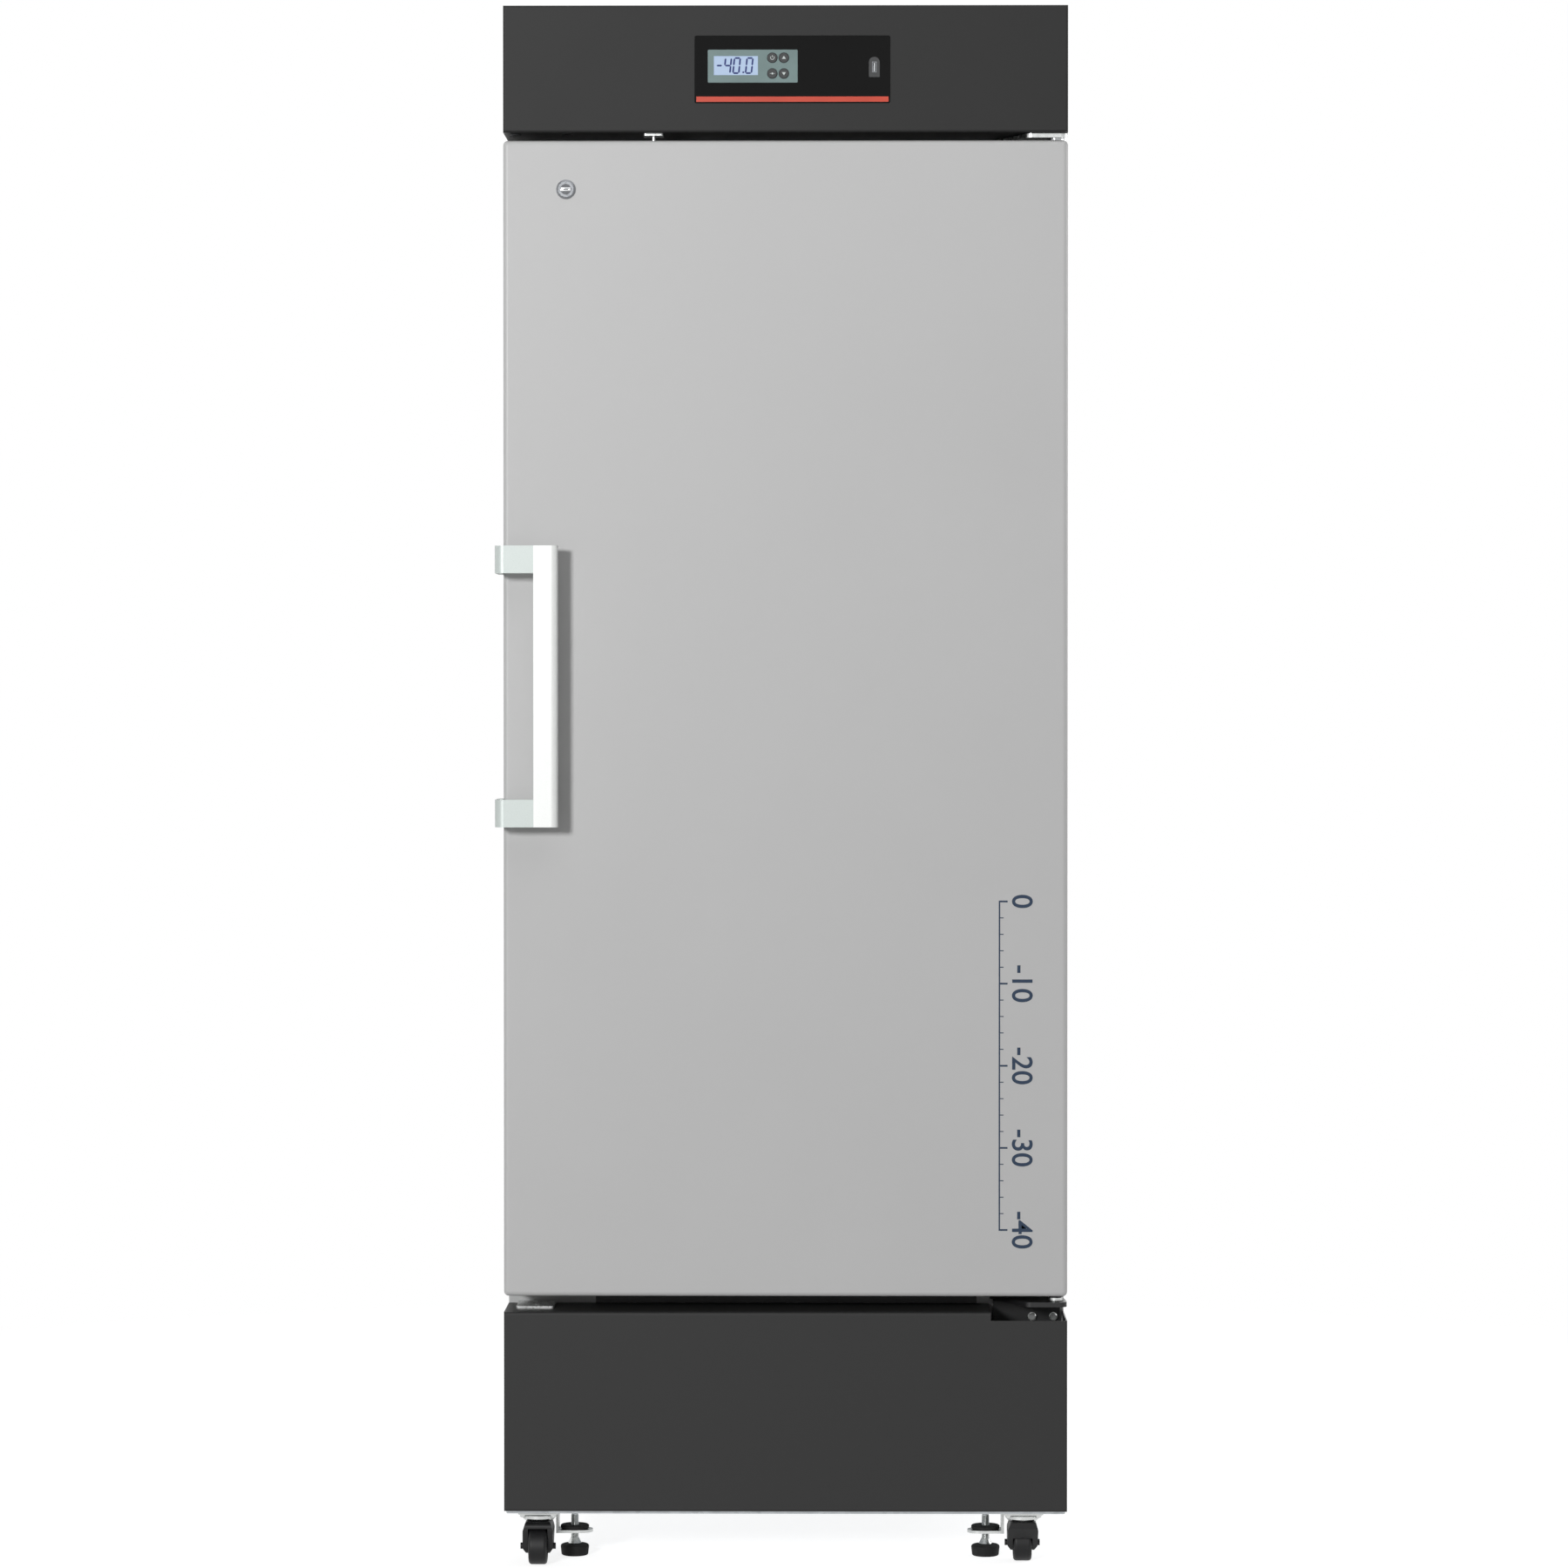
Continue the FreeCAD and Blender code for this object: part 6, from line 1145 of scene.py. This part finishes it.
@dataclass
class ControlPanel:
    """Black face plate with display, four keys, data port and the accent strip."""

    pane_front: float = -100.5
    digit_low: float = 1857.8
    digit_height: float = 18.6
    digit_width: float = 7.2
    stroke: float = 2.1
    slant: float = 0.105
    segment_gap: float = 0.25
    ink: float = 0.15
    key_front: float = -102.0
    ring_radii: Pair = (2.6, 1.9)
    ring_bar_half: float = 0.35
    ring_bar_z: Pair = (0.4, 3.0)
    dot_radius: float = 1.2
    dot_steps: int = 24
    dash_set: float = 2.45
    dash_half: Pair = (0.45, 0.35)
    arrow_half: float = 2.5
    arrow_z: Pair = (1.5, 2.3)
    key_places: tuple[Pair, ...] = ((-16.2, 1876.7), (-1.9, 1876.7), (-16.2, 1857.2), (-1.9, 1857.2))
    digits: tuple[tuple[str, float], ...] = (
        ("g", -86.4),
        ("fgbc", -76.0),
        ("abcdef", -65.0),
        ("abcdef", -49.4),
    )
    dot_x: float = -53.2
    port_place: Pair = (110.0, 1865.2)
    port_half: Pair = (2.8, 6.6)
    port_wall: float = 0.9
    port_front: float = -101.1
    tongue_half: Pair = (0.75, 5.2)
    tongue_back: float = 1.2
    tongue_bevel: float = 0.05

    def build(self) -> None:
        """Dresses the panel's nodes and adds the digits and the key marks."""
        dress(["control_plate"], BLACK_ACRYLIC)
        dress(["accent_strip"], ACCENT_RED)
        dress(["display_bezel"], BEZEL_GREY)
        dress(["display_glass"], DISPLAY_PANE)
        dress(["controller_board"], BOARD_GREEN)
        dress(["usb_port"], PORT_GREY)
        dress([f"panel_key_{number}" for number in (1, 2, 3, 4)], KEY_PLASTIC)
        self.display()
        self.port_mouth()
        for number, centre in enumerate(self.key_places, start=1):
            self.key_mark(number, centre)

    def display(self) -> None:
        """Adds the slanted seven-segment temperature."""
        form = Form()
        for segments, left in self.digits:
            for segment in segments:
                self.segment(form, segment, left)
        dot_x = (self.dot_x, self.dot_x + self.stroke)
        dot_z = (self.digit_low, self.digit_low + self.stroke)
        form.flat(dot_x, dot_z, (self.pane_front - self.ink, self.pane_front))
        form.piece("display_digits", "cabinet", DIGIT_INK)

    def port_mouth(self) -> None:
        """Adds the bright shell of the data port with the pale tongue inside it."""
        x, z = self.port_place
        half_x, half_z = self.port_half
        wall = self.port_wall
        lip = self.port_front - self.ink
        shell = Form()
        for side in Side:
            edge_x = x + side.value * (half_x - wall / 2.0)
            edge_z = z + side.value * (half_z - wall / 2.0)
            outer_x = (edge_x - wall / 2.0, edge_x + wall / 2.0)
            shell.flat(outer_x, (z - half_z, z + half_z), (lip, self.port_front))
            inner_x = (x - half_x + wall, x + half_x - wall)
            shell.flat(inner_x, (edge_z - wall / 2.0, edge_z + wall / 2.0), (lip, self.port_front))
        shell.piece("usb_shell_lip", "cabinet", SATIN_NICKEL)
        tongue = Form()
        half_x, half_z = self.tongue_half
        seat = self.port_front + self.tongue_back
        depth = (seat - self.ink, seat + self.ink)
        tongue.box((x - half_x, x + half_x), depth, (z - half_z, z + half_z), self.tongue_bevel)
        tongue.piece("usb_tongue_face", "cabinet", LINER_WHITE)

    def segment(self, form: Form, name: str, left: float) -> None:
        """Adds one segment of a digit, a bar with pointed ends.

        Args:
            form: form that gets the segment.
            name: letter of the segment, "a" at the top and on clockwise, "g" in the middle.
            left: x of the digit's lower left corner.
        """
        half = self.stroke / 2.0
        right = left + self.digit_width
        top = self.digit_height
        middle = top / 2.0
        ends = {
            "a": ((left, top), (right, top)),
            "b": ((right, middle), (right, top)),
            "c": ((right, 0.0), (right, middle)),
            "d": ((left, 0.0), (right, 0.0)),
            "e": ((left, 0.0), (left, middle)),
            "f": ((left, middle), (left, top)),
            "g": ((left, middle), (right, middle)),
        }
        (x_start, z_start), (x_end, z_end) = ends[name]
        gap = self.segment_gap
        inset = half + gap
        if z_start == z_end:
            outline = [
                (x_start + gap, z_start),
                (x_start + inset, z_start - half),
                (x_end - inset, z_start - half),
                (x_end - gap, z_start),
                (x_end - inset, z_start + half),
                (x_start + inset, z_start + half),
            ]
        else:
            outline = [
                (x_start, z_start + gap),
                (x_start + half, z_start + inset),
                (x_start + half, z_end - inset),
                (x_start, z_end - gap),
                (x_start - half, z_end - inset),
                (x_start - half, z_start + inset),
            ]
        leaned = [(x + z * self.slant, self.digit_low + z) for x, z in outline]
        form.prism(leaned, self.pane_front - self.ink, self.pane_front, Axis.Y)

    def key_mark(self, number: int, centre: Pair) -> None:
        """Adds the printed mark of a key: on-off ring, up arrow, set square or down arrow.

        Args:
            number: number of the key.
            centre: x and z of the key.
        """
        form = Form()
        x, z = centre
        front = self.key_front - self.ink
        back = self.key_front
        if number == 1:
            outer, inner = (circle((x, z), radius) for radius in self.ring_radii)
            steps = len(outer)
            eighth = steps // 8
            for step in range(3 * eighth, steps + eighth):
                here = step % steps
                following = (step + 1) % steps
                quad = [outer[here], outer[following], inner[following], inner[here]]
                form.prism(quad, front, back, Axis.Y)
            bar_x = (x - self.ring_bar_half, x + self.ring_bar_half)
            form.flat(bar_x, (z + self.ring_bar_z[0], z + self.ring_bar_z[1]), (front, back))
        elif number == 3:
            form.prism(circle((x, z), self.dot_radius, self.dot_steps), front, back, Axis.Y)
            half_x, half_z = self.dash_half
            for side in Side:
                middle = x + side.value * self.dash_set
                form.flat((middle - half_x, middle + half_x), (z - half_z, z + half_z), (front, back))
        else:
            way = 1.0 if number == 2 else -1.0
            foot, tip = self.arrow_z
            half = self.arrow_half
            arrow = [(x - half, z - way * foot), (x + half, z - way * foot), (x, z + way * tip)]
            form.prism(arrow, front, back, Axis.Y)
        form.piece(f"key_mark_{number}", f"panel_key_{number}", MARK_INK)


@dataclass
class Door:
    """Insulated door: painted skin, foam, formed inner panel, gasket and bushes, with a printed scale."""

    front_y: float = -100.0
    scale_left: float = 264.6
    scale_z: Pair = (424.0, 832.0)
    numbers: tuple[str, ...] = ("-40", "-30", "-20", "-10", "0")
    minor_per_major: int = 5
    line_width: float = 1.8
    line_over: float = 1.0
    major_tick: Pair = (11.0, 1.1)
    minor_tick: Pair = (6.0, 0.6)
    figure_size: float = 36.0
    figure_weight: float = 0.35
    figure_set: float = 17.0
    print_thickness: float = 0.15

    def build(self) -> None:
        """Dresses the door's nodes and prints the scale."""
        dress(["door_skin"], DOOR_PAINT)
        dress(["door_foam"], FOAM)
        dress(["door_liner"], LINER_WHITE)
        dress(["door_gasket"], GASKET)
        dress(["door_bushes"], BUSH_PLASTIC)
        self.ticks()
        self.figures()

    def level(self, place: float) -> float:
        """Gives the height of a place on the scale, from 0 at its lower end to 1 at its top."""
        low, high = self.scale_z
        return low + (high - low) * place

    def ticks(self) -> None:
        """Adds the scale's line and its ticks."""
        form = Form()
        front = self.front_y - self.print_thickness
        left = self.scale_left
        steps = (len(self.numbers) - 1) * self.minor_per_major
        low, high = self.scale_z
        depth = (front, self.front_y)
        right = left + self.line_width
        form.flat((left, right), (low - self.line_over, high + self.line_over), depth)
        for step in range(steps + 1):
            major = step % self.minor_per_major == 0
            reach, half = self.major_tick if major else self.minor_tick
            z = self.level(step / steps)
            form.flat((right, left + reach), (z - half, z + half), depth)
        form.piece("scale_ticks", "door", NAVY_INK)

    def figures(self) -> None:
        """Adds the scale's numbers, turned a quarter clockwise so that they read downwards."""
        last = len(self.numbers) - 1
        for place, word in enumerate(self.numbers):
            curve = bpy.data.curves.new(f"scale_word_{place}", "FONT")
            curve.body = word
            curve.size = self.figure_size * MM
            curve.align_x = "CENTER"
            curve.offset = self.figure_weight * MM
            curve.extrude = self.print_thickness * MM / 2.0
            holder = bpy.data.objects.new(f"scale_word_{place}", curve)
            bpy.context.scene.collection.objects.link(holder)
            bpy.context.view_layer.update()
            shaped = holder.evaluated_get(bpy.context.evaluated_depsgraph_get())
            data = bpy.data.meshes.new_from_object(shaped)
            bpy.data.objects.remove(holder)
            upright = Matrix.Rotation(math.radians(90.0), 4, "X")
            quarter = Matrix.Rotation(math.radians(90.0), 4, "Y")
            level = self.level(place / last)
            figure_x = self.scale_left + self.figure_set
            spot = Vector((figure_x, self.front_y - self.print_thickness / 2.0, level))
            data.transform(Matrix.Translation((spot + CABINET_SHIFT) * MM) @ quarter @ upright)
            finished(data, f"scale_number_{place + 1}", "door", NAVY_INK)


@dataclass
class Handle:
    """Upright bar on two brackets that wrap the door's side, held by socket screws."""

    side_recess_x: float = -354.0
    recess_y: float = -67.0
    recess_levels: Pair = (942.0, 1255.0)
    dot_place: Place = (-354.0, -137.0, 959.0)
    dot_radius: float = 2.5
    dot_rise: Pair = (0.25, 0.4)
    dot_edge: float = 0.3
    screw_radius: float = 3.9
    screw_height: float = 2.4
    screw_edge: float = 0.4
    hole_radius: float = 1.8
    hole_floor: float = 0.8

    def build(self) -> None:
        """Dresses bar and brackets and adds their screws."""
        dress(["handle_bar"], HANDLE_SILVER)
        dress(["handle_brackets"], BRACKET_SILVER)
        form = Form()
        for level in self.recess_levels:
            self.socket_screw(form, level)
        form.piece("handle_screws", "door", DARK_METAL)
        dot = Form()
        x, y, z = self.dot_place
        radius = self.dot_radius
        shoulder, top = (z + rise for rise in self.dot_rise)
        rim = [(z, radius), (shoulder, radius), (top, radius - self.dot_edge)]
        dot.turned([(z, 0.0), *rim, (top, 0.0)], (x, y))
        dot.piece("handle_cap_dot", "door", BLACK_PLASTIC)

    def socket_screw(self, form: Form, level: float) -> None:
        """Adds a socket screw at the floor of a side recess, with its hexagon hole.

        Args:
            form: form that gets the screw.
            level: height of the recess.
        """
        seat = self.side_recess_x
        top = seat - self.screw_height
        hole = seat - self.hole_floor
        radius = self.screw_radius
        edge = self.screw_edge
        profile = [(seat, 0.0), (seat, radius), (top + edge, radius), (top, radius - edge)]
        profile += [(top, self.hole_radius), (hole, self.hole_radius), (hole, 0.0)]
        form.turned(profile, (self.recess_y, level), Axis.X)


@dataclass
class Lock:
    """Key lock in the door's upper left corner, with the bright key face."""

    x: float = -272.0
    z: float = 1714.3
    plug_front: float = -101.4
    bar_half: Pair = (5.9, 2.1)
    bar_reach: float = 0.9
    slot_half: Pair = (3.4, 0.45)
    band_bevel: float = 0.15
    end_bevel: float = 0.05

    def build(self) -> None:
        """Dresses the lock's nodes and adds the key face with its slot."""
        dress(["lock_barrel"], SATIN_NICKEL)
        dress(["lock_plug"], DARK_METAL)
        dress(["lock_bolt"], ZINC_PLATE)
        half_x, half_z = self.bar_half
        slot_x, slot_z = self.slot_half
        front = self.plug_front - self.bar_reach
        form = Form()
        for side in Side:
            band = (self.z + side.value * slot_z, self.z + side.value * half_z)
            across = (self.x - half_x, self.x + half_x)
            form.box(across, (front, self.plug_front), (min(band), max(band)), self.band_bevel)
            end = (self.x + side.value * slot_x, self.x + side.value * half_x)
            middle = (self.z - slot_z, self.z + slot_z)
            form.box((min(end), max(end)), (front, self.plug_front), middle, self.end_bevel)
        form.piece("lock_key_face", "lock_plug", CHROME)


@dataclass
class Hinges:
    """Upper and lower hinge with bolts, washers and the spare plate for a door hung the other way."""

    pin: Pair = (336.0, -75.0)
    washer: Pair = (1776.6, 1778.9)
    washer_radii: Pair = (6.2, 10.0)
    washer_edge: float = 0.4
    collar: Pair = (334.0, 338.0)
    collar_radii: Pair = (8.05, 9.0)
    collar_edge: float = 0.5
    bolt_places: tuple[Pair, ...] = ((310.0, 305.0), (337.0, 305.0))
    flange_front: float = -6.0
    bolt_reach: float = 5.2
    bolt_turns: Pair = (0.3, 0.8)
    across_flats: float = 9.2
    plug_place: Pair = (-336.0, -75.0)
    plug_level: Pair = (1783.5, 1785.0)
    plug_radius: float = 7.0
    plug_edge: Pair = (0.6, 0.8)

    def build(self) -> None:
        """Dresses the hinge parts and the switch, and adds bolts, washer, collar and hole plug."""
        dress(["upper_hinge_bracket", "spare_hinge_plate"], ZINC_PLATE)
        dress(["lower_hinge_bracket"], BLACK_PAINT)
        dress(["door_switch_body", "door_switch_plunger"], ZINC_PLATE)
        bolts = Form()
        top = self.flange_front - self.bolt_reach
        for place, turn in zip(self.bolt_places, self.bolt_turns):
            bolts.hex_head(place, self.flange_front, top, self.across_flats, Axis.Y, turn)
        bolts.piece("lower_hinge_bolts", "cabinet", ZINC_PLATE)
        washer = Form()
        low, high = self.washer
        hole, radius = self.washer_radii
        edge = self.washer_edge
        rim = [(low, radius - edge), (low + edge, radius), (high - edge, radius), (high, radius - edge)]
        washer.turned([(low, hole), *rim, (high, hole)], self.pin)
        washer.piece("upper_pin_washer", "cabinet", CHROME)
        collar = Form()
        low, high = self.collar
        hole, radius = self.collar_radii
        edge = self.collar_edge
        rim = [(low, radius), (high - edge, radius), (high, radius - edge)]
        collar.turned([(low, hole), *rim, (high, hole)], self.pin)
        collar.piece("lower_pin_collar", "cabinet", ZINC_PLATE)
        plug = Form()
        low, high = self.plug_level
        radius = self.plug_radius
        rise, reach = self.plug_edge
        rim = [(low, radius - reach), (low + rise, radius), (high, radius)]
        plug.turned([(low, 0.0), *rim, (high, 0.0)], self.plug_place)
        plug.piece("hinge_hole_plug", "cabinet", BUSH_PLASTIC)


@dataclass
class Casters:
    """Four swivel casters under zinc plates, each plate held by four bolts."""

    bolt_offset: float = 18.5
    plate_low: float = 63.0
    head_low: float = 59.4
    across_flats: float = 7.4
    places: dict[str, Pair] = field(
        default_factory=lambda: {
            "front_left": (-310.0, -40.0),
            "front_right": (297.0, -40.0),
            "rear_left": (-310.0, 610.0),
            "rear_right": (297.0, 610.0),
        }
    )

    def build(self) -> None:
        """Dresses forks, wheels and plates and adds the plates' bolts."""
        dress(["caster_plates"], ZINC_PLATE)
        form = Form()
        for corner, (x, y) in self.places.items():
            dress([f"caster_fork_{corner}"], BLACK_PLASTIC)
            dress([f"caster_wheel_{corner}"], WHEEL_PLASTIC)
            for across in Side:
                for along in Side:
                    centre = (x + across.value * self.bolt_offset, y + along.value * self.bolt_offset)
                    form.hex_head(centre, self.plate_low, self.head_low, self.across_flats)
        form.piece("caster_bolts", "cabinet", ZINC_PLATE)


@dataclass
class Feet:
    """Two levelling feet: threaded rod, rubber pad and the folded strap that carries them."""

    places: dict[str, Pair] = field(default_factory=lambda: {"left": (-267.5, 14.0), "right": (252.0, 14.0)})
    rod_low: float = 3.3
    flare_low: float = 15.3
    thread_low: float = 22.0
    rod_top: float = 51.5
    flare_radius: float = 8.5
    radius: float = 5.0
    pitch: float = 1.5
    thread_depth: float = 0.8
    steps_round: int = 32
    steps_per_pitch: int = 6
    tab_top: float = 33.0
    pad_radius: float = 18.0
    pad_thickness: float = 5.5
    pad_clear: float = 1.0
    pad_lower_edge: Pair = (1.5, 2.0)
    pad_upper_edge: float = 1.0

    def build(self) -> None:
        """Dresses pads and straps and puts a cut thread in place of each plain screw."""
        dress(["levelling_brackets"], ZINC_PLATE)
        for side, centre in self.places.items():
            dress([f"foot_pad_{side}"], BLACK_RUBBER)
            rod = self.threaded_rod(side, centre)
            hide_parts(f"foot_screw_{side}")
            # The black disc on each strap is painted shade for the strap's shadowed top.
            self.tab_shade_pad(side, centre)

    def tab_shade_pad(self, side: str, centre: Pair) -> None:
        """Adds a black rubber disc round the rod on top of the strap: painted shade, standing in for the
        strap's top in the shadow of the base.

        Args:
            side: "left" or "right".
            centre: x and y of the rod's axis.
        """
        low = self.tab_top
        high = low + self.pad_thickness
        hole = self.radius + self.pad_clear
        form = Form()
        radius = self.pad_radius
        rise, reach = self.pad_lower_edge
        edge = self.pad_upper_edge
        rim = [(low, radius - reach), (low + rise, radius), (high - edge, radius), (high, radius - edge)]
        form.turned([(low, hole), *rim, (high, hole)], centre)
        form.piece(f"strap_shade_pad_{side}", "cabinet", BLACK_RUBBER)

    def threaded_rod(self, side: str, centre: Pair) -> bpy.types.Object:
        """Makes a rod with a helical thread above the flare that stands on the pad.

        Args:
            side: "left" or "right".
            centre: x and y of the rod's axis.

        Returns:
            The rod.
        """
        length = self.rod_top - self.thread_low
        rings = round(length / self.pitch * self.steps_per_pitch)
        form = Form()
        foot = [(self.rod_low, 0.0), (self.rod_low, self.radius), (self.flare_low, self.radius)]
        flare = [(self.flare_low, self.flare_radius), (self.thread_low, self.radius), (self.thread_low, 0.0)]
        form.turned(foot + flare, centre)
        loops = []
        for ring in range(rings + 1):
            z = length * ring / rings
            end_fade = min(1.0, z / self.pitch, (length - z) / self.pitch)
            loop = []
            for step in range(self.steps_round):
                turn = step / self.steps_round
                phase = (z / self.pitch - turn) % 1.0
                flank = abs(2.0 * phase - 1.0)
                root = self.radius - self.thread_depth
                radius = root + self.thread_depth * flank * end_fade
                angle = 2.0 * math.pi * turn
                x = centre[0] + radius * math.cos(angle)
                y = centre[1] + radius * math.sin(angle)
                loop.append(form.mesh.verts.new((x, y, self.thread_low + z)))
            loops.append(loop)
        for lower, upper in zip(loops, loops[1:]):
            for step in range(self.steps_round):
                following = (step + 1) % self.steps_round
                form.mesh.faces.new((lower[step], lower[following], upper[following], upper[step]))
        form.mesh.faces.new(loops[0])
        form.mesh.faces.new(loops[-1])
        return form.piece(f"foot_rod_{side}", f"foot_screw_{side}", ZINC_PLATE)


@dataclass
class MachineRoom:
    """Cooling machinery behind the base panel."""

    def build(self) -> None:
        """Dresses the machinery."""
        dress(["condenser", "fan_motor", "compressor"], BLACK_PAINT)
        dress(["fan_blades"], BLACK_PLASTIC)
        dress(["compressor_mounts"], BLACK_RUBBER)
        dress(["refrigerant_tubing"], COPPER)


@dataclass
class Chamber:
    """Stainless shelves in the white chamber."""

    shelf_count: int = 3

    def build(self) -> None:
        """Dresses the shelves."""
        dress([f"shelf_{number}" for number in range(1, self.shelf_count + 1)], STAINLESS)


def main() -> None:
    """Builds the studio and every sub-assembly in order and reports them."""
    logging.basicConfig(level=logging.INFO, format="%(name)s: %(message)s")
    for part in (
        Studio(),
        Cabinet(),
        ControlPanel(),
        Door(),
        Handle(),
        Lock(),
        Hinges(),
        Casters(),
        Feet(),
        MachineRoom(),
        Chamber(),
    ):
        part.build()
        LOG.info("%s done", type(part).__name__)


if __name__ == "__main__":
    main()
